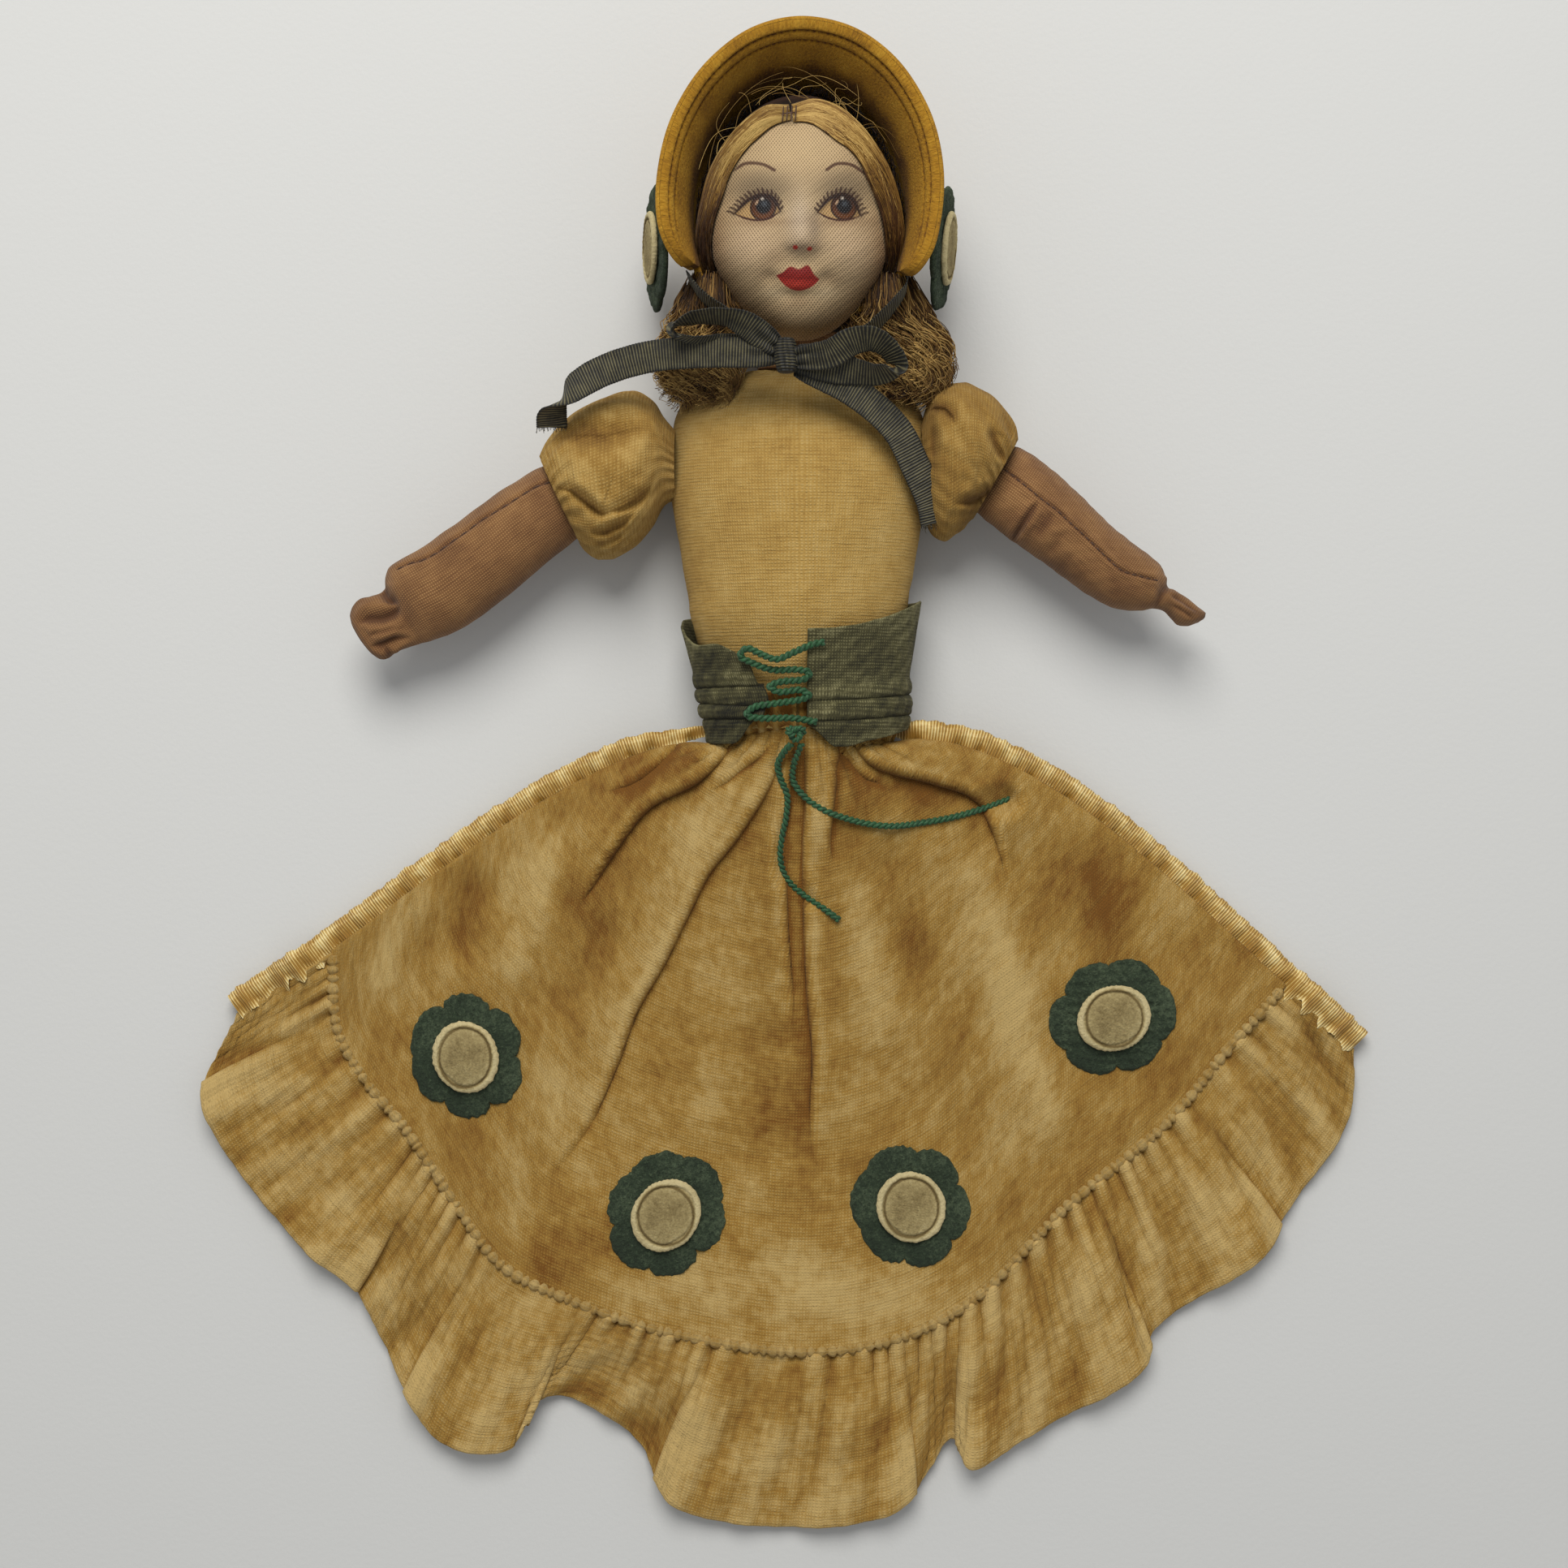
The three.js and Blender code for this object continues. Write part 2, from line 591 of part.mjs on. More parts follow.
const loopRightShares = [
  [0.055, 0.01, 0.2, 0.1, 0.9, 0.1], [0.2, 0.01, 0.46, 0, 0.9, 0.1], [0.34, -0.01, 0.56, 0, 0.8, 0.4],
  [0.42, -0.04, 0.35, 0, 0.8, 0.6], [0.34, -0.05, 0.12, 0, 0.9, 0.2], [0.2, -0.03, 0.08, 0, 1, 0],
  [0.075, -0.02, 0.02, 0, 1, 0],
];
const tailLeftShares = [
  [-0.076, -0.05, -0.1, 0, 1, 0.1], [-0.305, 0, -0.16, 0, 1, 0.2], [-0.524, -0.017, -0.2, 0, 1, 0.3],
  [-0.696, -0.091, -0.25, 0.3, 1, 0.3], [-0.836, -0.197, -0.35, 0.5, 0.9, 0.2],
  [-0.943, -0.339, -0.45, 0.8, 0.5, 0],
];
const tailRightShares = [
  [0.062, -0.09, -0.18, 0.3, 1, 0], [0.15, -0.14, -0.36, 0.4, 1, 0], [0.29, -0.21, -0.52, 0.6, 0.8, -0.1],
  [0.4, -0.348, -0.65, 0.8, 0.6, -0.2], [0.461, -0.541, -0.8, 0.9, 0.3, -0.3],
  [0.508, -0.762, -0.98, 0.9, 0.2, -0.3], [0.549, -0.964, -1.15, 0.9, 0.2, -0.3],
];

function makeBow() {
  const knot = new THREE.SphereGeometry(1, 10, 6);
  knot.scale(KNOT.halfWidth, KNOT.halfHeight, KNOT.halfDepth);
  add("bow_knot", knot.translate(KNOT_CENTRE.x, KNOT_CENTRE.y, KNOT_CENTRE.z), "ribbon");
  add("chin_strap_left", ribbonStrip(bowRows(strapLeftShares), 10), "ribbon");
  add("chin_strap_right", ribbonStrip(bowRows(strapRightShares), 10), "ribbon");
  add("bow_loop_left", ribbonStrip(bowRows(loopLeftShares), 20), "ribbon");
  add("bow_loop_right", ribbonStrip(bowRows(loopRightShares), 20), "ribbon");
  add("bow_tail_left", ribbonStrip(bowRows(tailLeftShares), 16), "ribbon");
  add("bow_tail_right", ribbonStrip(bowRows(tailRightShares), 16), "ribbon");
}

makeBow();

// Arms: made along +X from the shoulder pivot, then turned into place.
// Rows: share of the length, of the half width, of the half depth, and of the sideways offset.
const leftArmShares = [
  [0, 0.3, 0.13, 0], [0.08, 0.62, 0.42, 0], [0.18, 0.92, 0.84, 0], [0.32, 1, 1, 0], [0.5, 0.99, 1, 0],
  [0.64, 0.97, 0.97, 0], [0.74, 0.92, 0.88, 0.02], [0.8, 0.75, 0.62, 0.08], [0.83, 0.62, 0.42, 0.12],
  [0.88, 0.74, 0.4, 0.1], [0.94, 0.7, 0.36, 0.04], [1, 0.38, 0.24, 0],
];
const rightArmShares = [
  [0, 0.3, 0.13, 0], [0.08, 0.62, 0.42, 0], [0.18, 0.9, 0.84, -0.1], [0.34, 1.02, 1, -0.26],
  [0.5, 0.95, 1, -0.3], [0.65, 0.76, 0.9, -0.24], [0.76, 0.54, 0.72, -0.12], [0.82, 0.34, 0.56, -0.02],
  [0.86, 0.26, 0.5, 0], [0.91, 0.3, 0.62, 0], [0.96, 0.28, 0.56, 0], [1, 0.16, 0.3, 0],
];
const arms = [
  {
    name: "left", side: -1, length: ARM.leftLength, shares: leftArmShares, turnShare: 214 / 180,
    sleeveRiseShare: -0.1,
  },
  {
    name: "right", side: 1, length: ARM.rightLength, shares: rightArmShares, turnShare: -34.5 / 180,
    sleeveRiseShare: 0.04,
  },
];
const SHOULDER_Y = TORSO.hem + SHOULDER_ABOVE_HEM;
const TAB_AXIS_X = TORSO.halfWidth + TAB.sideGap + TAB.thickness / 2;
const PIVOT_X = TAB_AXIS_X + TAB.reach + GAP + 0.3 * ARM.halfWidth;

function armSpace(arm) {
  const group = new THREE.Group();
  group.position.set(arm.side * PIVOT_X, SHOULDER_Y, ARM.height);
  group.rotation.z = HALF_TURN * arm.turnShare;
  doll.add(group);
  group.updateMatrixWorld(true);
  return group;
}

function armRing(arm, share, grow, sides) {
  const read = (column) => reading(arm.shares, share, column);
  return ring(
    new THREE.Vector3(arm.length * share, arm.side * ARM.halfWidth * read(3), 0), Y_AXIS, Z_AXIS,
    Math.max(ARM.halfWidth * read(1) + grow, GAP), Math.max(ARM.halfDepth * read(2) + grow, GAP),
    sides, ARM.squareness,
  );
}

// The flat sewn end is rounded in plan about the pivot, so that it turns beside the tab
function armEnd(arm, grow, sides) {
  const r = ARM.halfWidth * arm.shares[0][1];
  const depth = ARM.halfDepth * arm.shares[0][2];
  return [0.96, 0.7].map((share) => ring(
    new THREE.Vector3(-r * share, 0, 0), Y_AXIS, Z_AXIS,
    Math.max(r * Math.sqrt(1 - share ** 2) + grow, GAP), Math.max(depth + grow, GAP),
    sides, ARM.squareness,
  ));
}

function armLoft(arm, from, to, grow, sides, rounded = false) {
  const inside = arm.shares.map((row) => row[0]).filter((share) => share > from && share < to);
  const rings = [from, ...inside, to].map((share) => armRing(arm, share, grow, sides));
  return loft(rounded ? [...armEnd(arm, grow, sides), ...rings] : rings);
}

// The cover is hollow from its flat sewn end to the wrist, and a slot opens the hollow at that end
const armSides = 14;
const stuffingSides = 12;
const hollowShares = { from: 0.14, to: 0.8, inset: 0.01 };

function makeArm(arm) {
  const group = armSpace(arm);
  const { from, to, inset } = hollowShares;
  const outer = solid(armLoft(arm, 0, 1, 0, armSides, true));
  const hollow = solid(armLoft(arm, from, to, -ARM.cover, armSides));
  const slot = new THREE.BoxGeometry(arm.length * from, ARM.halfDepth, GAP);
  slot.translate((arm.length * from) / 2 + 2 * GAP, 0, 0);
  add(arm.name + "_arm_cover", shape(outer.subtract(hollow).subtract(solid(slot))), "skin", group);
  const stuffing = armLoft(arm, from + inset, to - inset, -ARM.cover - GAP, stuffingSides);
  add(arm.name + "_arm_stuffing", stuffing, "stuffing", group);
  return group;
}

// The flat top of the arm that is sewn to the bodice's side, rounded where it hinges
function makeTab(arm) {
  const r = TAB.thickness / 2;
  const section = new THREE.Shape();
  section.absarc(0, 0, r, HALF_TURN / 2, (3 * HALF_TURN) / 2, false);
  section.lineTo(TAB.reach, -r * 0.8);
  section.lineTo(TAB.reach, r * 0.8);
  section.closePath();
  const tab = new THREE.ExtrudeGeometry(section, { depth: TAB.width, bevelEnabled: false, curveSegments: 6 });
  tab.translate(0, 0, -TAB.width / 2).rotateX(HALF_TURN / 2);
  if (arm.side < 0) tab.rotateZ(HALF_TURN);
  const mesh = add(arm.name + "_shoulder_tab", tab, "skin");
  mesh.position.set(arm.side * TAB_AXIS_X, SHOULDER_Y, ARM.height);
}

// Puff sleeve: a gathered shell round the tab and the upper arm, in its own shares of width
const sleeveShares = [
  [0, 0.66, 0.62], [0.1, 0.86, 0.84], [0.28, 0.98, 0.97], [0.52, 1, 1], [0.76, 0.9, 0.9], [0.92, 0.76, 0.78],
  [1, 0.64, 0.68],
];

const sleeveFolds = 6;
const sleeveSides = 16;

function sleeveRing(arm, width, share, grow) {
  const centre = new THREE.Vector3(
    arm.side * (TORSO.halfWidth + SOFT_GAP + width * share),
    SHOULDER_Y + SLEEVE.halfHeight * arm.sleeveRiseShare - arm.length * SLEEVE.dropShare * share,
    ARM.height + SLEEVE.halfDepth * 0.06,
  );
  const tall = SLEEVE.halfHeight * reading(sleeveShares, share, 1) + grow;
  const deep = SLEEVE.halfDepth * reading(sleeveShares, share, 2) + grow;
  const plain = ring(centre, Y_AXIS, Z_AXIS, tall, deep, sleeveSides);
  const depth = 0.07 * Math.sin(HALF_TURN * Math.min(share * 1.1, 1));
  return plain.map((p, i) => {
    const wave = Math.cos((TURN * sleeveFolds * i) / sleeveSides + arm.side * share * 2);
    return centre.clone().add(p.sub(centre).multiplyScalar(1 - depth * (1 + wave) * 0.5));
  });
}

function makeSleeve(arm, armGroup) {
  const width = arm.side < 0 ? SLEEVE.leftWidth : SLEEVE.rightWidth;
  const rings = (grow) => sleeveShares.map((row) => sleeveRing(arm, width, row[0], grow));
  const outer = solid(loft(rings(0)));
  const armRoom = solid(armLoft(arm, 0, 1, SOFT_GAP, armSides, true).applyMatrix4(armGroup.matrixWorld));
  const tabRoomHalf = new THREE.Vector3(TAB.reach + PIVOT_X, TAB.width / 2 + SOFT_GAP, TAB.thickness);
  const tabMiddle = new THREE.Vector3(0, SHOULDER_Y, ARM.height);
  const tabRoom = block(tabMiddle.clone().sub(tabRoomHalf), tabMiddle.clone().add(tabRoomHalf));
  const inner = solid(loft(rings(-SLEEVE.cloth).slice(1, -1)));
  const puff = outer.subtract(inner).subtract(armRoom).subtract(tabRoom).subtract(tableTop);
  add(arm.name + "_sleeve", shape(puff), "bodice");
}

for (const arm of arms) {
  makeTab(arm);
  makeSleeve(arm, makeArm(arm));
}

// Waist cincher: one strip of velvet round the back, with pleats and two shaped front ends.
// Rows: share of the way round from the right front edge, then its bottom and top as shares
// of the height.
const cincherShares = [
  [0, 0.16, 0.79], [0.04, 0.02, 0.8], [0.1, 0.06, 0.85], [0.2, 0.12, 0.96], [0.27, 0.14, 1],
  [0.5, 0.12, 0.97], [0.72, 0.08, 0.9], [0.78, 0.06, 0.86], [0.88, 0.04, 0.7], [0.95, 0.05, 0.69],
  [1, 0.22, 0.6],
];
const cincherTurnShares = { from: 3 / 180, to: 334 / 180 };

function cincherPoint(s, t, grow) {
  const low = CINCHER.height * reading(cincherShares, t, 1);
  const high = CINCHER.height * reading(cincherShares, t, 2);
  const y = THREE.MathUtils.lerp(low, high, s);
  const body = torsoAt(Math.max(y, TORSO.hem), grow);
  const angle = HALF_TURN * THREE.MathUtils.lerp(cincherTurnShares.from, cincherTurnShares.to, t);
  const bend = (v) => Math.sign(v) * Math.abs(v) ** (2 / TORSO.squareness);
  const x = body.halfWidth * bend(Math.sin(angle));
  return new THREE.Vector3(x, y, body.height + body.halfDepth * bend(Math.cos(angle)));
}

function pleat(s) {
  const folded = Math.min(s / CINCHER.pleatedShare, 1);
  return CINCHER.pleat * Math.sin(folded * HALF_TURN * CINCHER.pleats) ** 2;
}

function makeCincher() {
  const rows = 2 * CINCHER.pleats + 2;
  const pleatedRows = (2 * CINCHER.pleats) / rows;
  const height = (s) => (s < pleatedRows
    ? (CINCHER.pleatedShare * s) / pleatedRows
    : THREE.MathUtils.mapLinear(s, pleatedRows, 1, CINCHER.pleatedShare, 1));
  const inner = (s, t) => cincherPoint(height(s), t, GAP);
  const outer = (s, t) => cincherPoint(height(s), t, GAP + CINCHER.cloth + pleat(height(s)));
  const strip = solid(sheet(rows, 24, outer, inner)).subtract(tableTop);
  add("cincher", shape(strip), "cincher");
}

// The gathered top of the skirt, stitched to the bodice inside the cincher
function makeGathers() {
  const s = torsoAt(TORSO.hem, -2 * GAP);
  const rings = [TORSO.hem - GAP, TORSO.hem - GAP - GATHERS.length].map((y) => ring(
    new THREE.Vector3(0, y, s.height), X_AXIS, Z_AXIS, s.halfWidth, s.halfDepth, GATHERS.sides,
    TORSO.squareness,
  ));
  add("waist_gathers", loft(rings), "skirt");
}

function tube(points, steps, radius) {
  const section = new THREE.Shape(Array.from({ length: CORD.sides }, (_, i) => {
    const angle = (TURN * i) / CORD.sides;
    return new THREE.Vector2(radius * Math.cos(angle), radius * Math.sin(angle));
  }));
  const path = new THREE.CatmullRomCurve3(points, false, "centripetal");
  return new THREE.ExtrudeGeometry(section, { steps, extrudePath: path, bevelEnabled: false });
}

// The lacing runs to and fro over the cincher's front. Rows: shares of the cincher's half width
// and height, and a lift in cord diameters.
const lacingShares = [
  [0.16, 0.175, 0], [-0.06, 0.2, 0], [-0.36, 0.2, 0], [-0.5, 0.22, 0], [-0.44, 0.27, 0], [-0.2, 0.3, 0],
  [0.02, 0.325, 0], [0.09, 0.35, 0], [0.02, 0.385, 0], [-0.2, 0.375, 0], [-0.28, 0.41, 0], [-0.18, 0.44, 0],
  [0.05, 0.46, 0], [0.1, 0.5, 0], [-0.02, 0.52, 0], [-0.26, 0.52, 0], [-0.46, 0.57, 0], [-0.56, 0.61, 0],
  [-0.5, 0.66, 0], [-0.36, 0.62, 0.6], [-0.22, 0.585, 1.2], [-0.06, 0.63, 0.6], [0.12, 0.685, 0],
  [0.23, 0.7, 0],
];
const lacingSteps = 46;

function makeLacing() {
  const r = CORD.diameter / 2;
  const over = GAP + CINCHER.cloth + CINCHER.pleat + GAP + r;
  const points = lacingShares.map(([x, y, lift]) => {
    const [px, py] = [TORSO.halfWidth * 0.8 * x, CINCHER.height * y];
    return new THREE.Vector3(px, py, frontHeight(px, py, over) + lift * CORD.diameter);
  });
  add("lacing", tube(points, lacingSteps, r), "lace");
  const knot = new THREE.SphereGeometry(CORD.diameter, 8, 6);
  const knotY = CINCHER.height * 0.1;
  add("lacing_knot", knot.translate(-CORD.diameter / 2, knotY, frontHeight(0, knotY, over + r)), "lace");
}

makeCincher();
makeGathers();
makeLacing();

// Skirt: a fan of velvet from the waist to the ruffle's seam. Rows of the seam and the hem are
// shares of the half span and the drop, going from the left edge round to the right edge.
const seamShares = [
  [-0.96, 0.335], [-0.95, 0.464], [-0.894, 0.548], [-0.81, 0.629], [-0.71, 0.751], [-0.609, 0.858],
  [-0.476, 0.912], [-0.275, 0.967], [0.01, 1], [0.194, 0.98], [0.362, 0.912], [0.545, 0.764],
  [0.763, 0.616], [0.874, 0.507], [1, 0.392],
];
const hemShares = [
  [-1.155, 0.339], [-1.225, 0.433], [-1.195, 0.495], [-1.12, 0.565], [-1.01, 0.641], [-0.91, 0.693],
  [-0.86, 0.755], [-0.81, 0.818], [-0.73, 0.885], [-0.593, 0.891], [-0.525, 0.828], [-0.4, 0.85],
  [-0.325, 0.891], [-0.258, 0.963], [-0.04, 0.994], [0.194, 0.974], [0.26, 0.932], [0.319, 0.88],
  [0.352, 0.916], [0.495, 0.869], [0.713, 0.787], [0.729, 0.745], [0.964, 0.641], [0.997, 0.6],
  [1.131, 0.475], [1.145, 0.384],
];
const flat = (shares, drop) => new THREE.CatmullRomCurve3(
  shares.map(([x, y]) => new THREE.Vector3(SKIRT.halfSpan * x, -drop * y, 0)), false, "centripetal",
);
const seamLine = flat(seamShares, SKIRT.length);
const hemLine = flat(hemShares, RUFFLE.centreDrop);
seamLine.arcLengthDivisions = 400;
hemLine.arcLengthDivisions = 400;

// Place on the table of the share s from waist to seam and the share t from left to right
function fanPlace(s, t) {
  const side = 2 * t - 1;
  const waist = new THREE.Vector3(SKIRT.topWidth * (t - 0.5) + GAP, 0, 0);
  const seam = seamLine.getPointAt(THREE.MathUtils.clamp(t, 0, 1));
  const out = side < 0 ? new THREE.Vector3(-0.44, 0.898, 0) : new THREE.Vector3(0.49, 0.871, 0);
  const bulge = (side < 0 ? SKIRT.leftBulge : SKIRT.rightBulge) * Math.abs(side) ** 1.5;
  return waist.lerp(seam, s).addScaledVector(out, bulge * Math.sin(HALF_TURN * s ** 0.65));
}

// Folds: place across at the waist and at the seam, width, depth and where it dies out
const foldShares = [
  [0.06, 0.1, 0.03, 0.6, 0.6], [0.125, 0.17, 0.03, 0.75, 0.6], [0.235, 0.21, 0.022, 0.5, 0.35],
  [0.285, 0.3, 0.028, 1, 0.88], [0.44, 0.515, 0.03, 0.8, 0.75], [0.51, 0.53, 0.022, 0.5, 0.65],
  [0.655, 0.74, 0.035, 0.5, 0.45], [0.79, 0.86, 0.04, 0.9, 0.6], [0.95, 0.9, 0.035, 0.7, 0.75],
];

// Each fold is a valley with a lower ridge on its left
function foldHeight(s, t) {
  return foldShares.reduce((sum, [atWaist, atSeam, width, depth, end]) => {
    const place = THREE.MathUtils.lerp(atWaist, atSeam, s ** 0.7);
    const along = Math.sin(HALF_TURN * Math.min(0.12 + (0.88 * s) / end, 1)) ** 0.8;
    const spread = width * (1 + 0.6 * s);
    const valley = hump(t, place, spread);
    const ridge = hump(t, place - 1.9 * spread, 1.2 * spread);
    return sum - depth * along * (valley - 0.55 * ridge);
  }, 0);
}

function skirtTop(s, t) {
  const arch = SKIRT.sideHeight + (SKIRT.waistDepth - SKIRT.sideHeight) * Math.sin(HALF_TURN * t) ** 0.6;
  const fall = Math.max(1 - s / 0.8, 0) ** 1.8;
  const low = SKIRT.tableLift + SKIRT.cloth;
  const folds = SKIRT.foldDepth * foldHeight(s, t);
  const rest = low + (arch - low) * fall + SKIRT.cloth;
  return Math.max(rest + folds * Math.min(1, s * 5), low);
}

function skirtPoint(s, t, drop = 0) {
  const p = fanPlace(s, t);
  p.z = skirtTop(s, t) - drop;
  return p;
}

function makeSkirt() {
  const ease = (s) => s ** 1.15;
  add("skirt_panel", sheet(
    10, 34, (s, t) => skirtPoint(ease(s), t), (s, t) => skirtPoint(ease(s), t, SKIRT.cloth),
  ), "skirt");
}

// Ruffle: gathered to the seam, opening into flutes at the hem. Rows: place along the seam, width
// and rise.
const fluteShares = [
  [0.085, 0.07, 1], [0.235, 0.03, 0.5], [0.335, 0.05, 0.9], [0.545, 0.085, 0.9], [0.705, 0.06, 0.8],
  [0.83, 0.055, 0.7], [0.95, 0.045, 0.6],
];

function rufflePoint(s, t, drop = 0) {
  const seam = seamLine.getPointAt(t);
  const hem = hemLine.getPointAt(t);
  const way = new THREE.Vector3().subVectors(hem, seam).normalize();
  seam.addScaledVector(way, 2 * GAP);
  const p = seam.lerp(hem, s);
  const flutes = fluteShares.reduce((sum, [at, width, rise]) => sum + rise * hump(t, at, width), 0);
  const pucker = 0.5 + 0.5 * Math.cos(TURN * RUFFLE.puckers * t);
  const opening = Math.min(s * 2.2, 1);
  const rise = RUFFLE.flute * (flutes * opening * 0.7 + 0.22 * pucker * (1 - 0.55 * s));
  p.z = SKIRT.tableLift + RUFFLE.cloth + rise - drop;
  return p;
}

function makeRuffle() {
  add("ruffle", sheet(
    3, 3 * RUFFLE.puckers, (s, t) => rufflePoint(s, t), (s, t) => rufflePoint(s, t, RUFFLE.cloth),
  ), "skirt");
}

// Ribbon binding folded over each straight edge, from the waist to the hem
function makeBinding(name, t, side, start) {
  const clear = BINDING.halfWidth + SOFT_GAP + BINDING.turnGap;
  const edge = [];
  const samples = 14;
  for (let i = 0; i <= samples; i += 1) {
    edge.push(skirtPoint(THREE.MathUtils.lerp(start, 1, i / samples), t, SKIRT.cloth / 2));
  }
  for (const s of [0.33, 0.66, 1]) edge.push(rufflePoint(s, t, RUFFLE.cloth / 2));
  const line = new THREE.CatmullRomCurve3(edge);
  const steps = 24;
  const rings = Array.from({ length: steps + 1 }, (_, i) => {
    const share = i / steps;
    const along = line.getTangentAt(share);
    const out = new THREE.Vector3(side * along.y, -side * along.x, 0).normalize();
    if (out.y < 0) out.negate();
    const centre = line.getPointAt(share).addScaledVector(out, clear);
    centre.z = Math.max(centre.z, BINDING.halfHeight + SKIRT.tableLift);
    return ring(
      centre, out, Z_AXIS, BINDING.halfWidth, BINDING.halfHeight, BINDING.sides, BINDING.squareness,
    );
  });
  add(name, loft(rings), "binding");
}

// Four flowers lie on the skirt, given by their shares from waist to seam and left to right
const skirtFlowerShares = [[0.805, 0.162], [0.802, 0.398], [0.797, 0.624], [0.75, 0.868]];

// The height of the skirt's highest point under a flower with its middle at that place
function flowerSeat(centre) {
  const [rows, columns] = [40, 80];
  let seat = 0;
  for (let a = 0; a <= rows; a += 1) {
    for (let b = 0; b <= columns; b += 1) {
      const p = skirtPoint(a / rows, b / columns);
      const away = Math.hypot(p.x - centre.x, p.y - centre.y);
      if (away < FLOWER.radius + 2 * FLOWER.felt) seat = Math.max(seat, p.z);
    }
  }
  return seat;
}

function makeSkirtFlowers() {
  const spin = 0.2;
  skirtFlowerShares.forEach(([s, t], i) => {
    const centre = fanPlace(s, t);
    centre.z = flowerSeat(centre) + GAP;
    makeFlower("flower_" + (i + 1), "flower_centre_" + (i + 1), centre, Z_AXIS, spin * i);
  });
}

makeSkirt();
makeRuffle();
makeBinding("binding_left", 0, -1, 0.2);
makeBinding("binding_right", 1, 1, 0.04);
makeSkirtFlowers();

// The two free ends of the lacing lie on the skirt. Their routes are chosen by hand.
const laceEndShort = [
  [-1.6, 0.8, 23.2], [-3, -0.8, 21.6], [-4.2, -3.2, 19.6], [-3.6, -6, 18.2], [-2.4, -9.2, 17.1],
  [-2.6, -13.4, 15.5], [-3.4, -17.4, 14.1], [-3.8, -21, 13], [-3.2, -24.4, 11.8], [-1.2, -27.4, 11.2],
  [1.8, -29.8, 11.4], [5, -32, 12], [8, -34.2, 12.1],
];
const laceEndLong = [
  [0.4, 0.8, 23.2], [-0.4, -1.2, 21.8], [-1.2, -3.6, 20], [-1.2, -6.4, 18.3], [1.2, -9.6, 17.2],
  [5, -12.2, 17], [9.6, -13.9, 15.7], [14, -15, 14.5], [18.6, -15.4, 14.2], [24.4, -14.8, 11.6],
  [30.4, -13.8, 10.4], [36.4, -12.2, 8.6], [42.5, -10, 6.4],
];

function makeLaceEnd(name, route, steps) {
  add(name, tube(route.map((p) => new THREE.Vector3(...p)), steps, CORD.diameter / 2), "lace");
}

makeLaceEnd("lace_end_short", laceEndShort, 18);
makeLaceEnd("lace_end_long", laceEndLong, 22);

// The origin is under the middle of the doll, on the table
const bounds = new THREE.Box3().setFromObject(doll);
const centre = bounds.getCenter(new THREE.Vector3());
doll.position.set(-centre.x, -centre.y, -bounds.min.z);

export default doll;
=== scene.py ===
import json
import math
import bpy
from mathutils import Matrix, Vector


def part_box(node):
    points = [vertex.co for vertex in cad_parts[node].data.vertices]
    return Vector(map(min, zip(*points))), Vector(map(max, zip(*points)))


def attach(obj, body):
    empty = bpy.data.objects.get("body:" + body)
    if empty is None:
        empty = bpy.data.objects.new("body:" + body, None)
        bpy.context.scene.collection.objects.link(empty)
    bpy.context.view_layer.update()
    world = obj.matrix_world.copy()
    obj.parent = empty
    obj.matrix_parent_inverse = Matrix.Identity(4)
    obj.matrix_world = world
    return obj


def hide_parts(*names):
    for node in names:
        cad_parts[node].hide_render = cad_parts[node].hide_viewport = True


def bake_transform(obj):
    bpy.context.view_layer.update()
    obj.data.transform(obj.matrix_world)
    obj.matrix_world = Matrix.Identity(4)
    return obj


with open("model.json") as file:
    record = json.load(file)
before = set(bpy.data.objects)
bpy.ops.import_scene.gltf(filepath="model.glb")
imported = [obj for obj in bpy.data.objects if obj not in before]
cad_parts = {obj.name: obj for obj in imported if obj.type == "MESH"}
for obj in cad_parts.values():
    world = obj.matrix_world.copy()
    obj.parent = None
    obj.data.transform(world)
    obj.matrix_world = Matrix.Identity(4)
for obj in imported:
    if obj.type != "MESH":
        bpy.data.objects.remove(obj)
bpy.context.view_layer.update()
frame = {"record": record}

# The dressed look of a cloth doll that lies on its back on white paper.
# Lengths are millimetres with X to the right, Y towards the head and Z up, measured from the
# middle of the skirt's fold line, and metres() turns them into the frame's own metres.
from types import SimpleNamespace as Sizes

import bpy
import numpy as np
from mathutils import Vector

MM = 0.001
TURN = 2 * math.pi
UP = np.array([0.0, 0.0, 1.0])
ACROSS = np.array([1.0, 0.0, 0.0])
ALONG = np.array([0.0, 1.0, 0.0])


def joint_place(name):
    joints = frame["record"]["behaviour"]["joints"]
    return np.array(next(joint["pos_m"] for joint in joints if joint["name"] == name))


# The waist joint lies over the middle of the skirt's fold line
ORIGIN = joint_place("waist_fold") * [1, 1, 0] / MM


def metres(points):
    return (np.asarray(points, float) + ORIGIN) * MM


# Small sums

def lerp(start, end, share):
    return start + (end - start) * share


def hump(value, centre, width):
    return np.exp(-(((value - centre) / width) ** 2))


def mound(x, y, centre, wide, tall):
    """A soft round patch, 1 at its centre"""
    return np.exp(-(((x - centre[0]) / wide) ** 2 + ((y - centre[1]) / tall) ** 2))


def smooth(low, high, value):
    share = np.clip((value - low) / (high - low), 0, 1)
    return share * share * (3 - 2 * share)


def bend(value, exponent):
    return np.sign(value) * np.abs(value) ** exponent


def unit(vectors):
    return vectors / np.maximum(np.linalg.norm(vectors, axis=-1, keepdims=True), 1e-9)


def column(values):
    return np.asarray(values)[..., None]


def places(x, y, z):
    return np.stack(np.broadcast_arrays(x, y, z), -1).astype(float)


def full_turn(count):
    """Angles spaced evenly round a circle"""
    return TURN * np.arange(count) / count


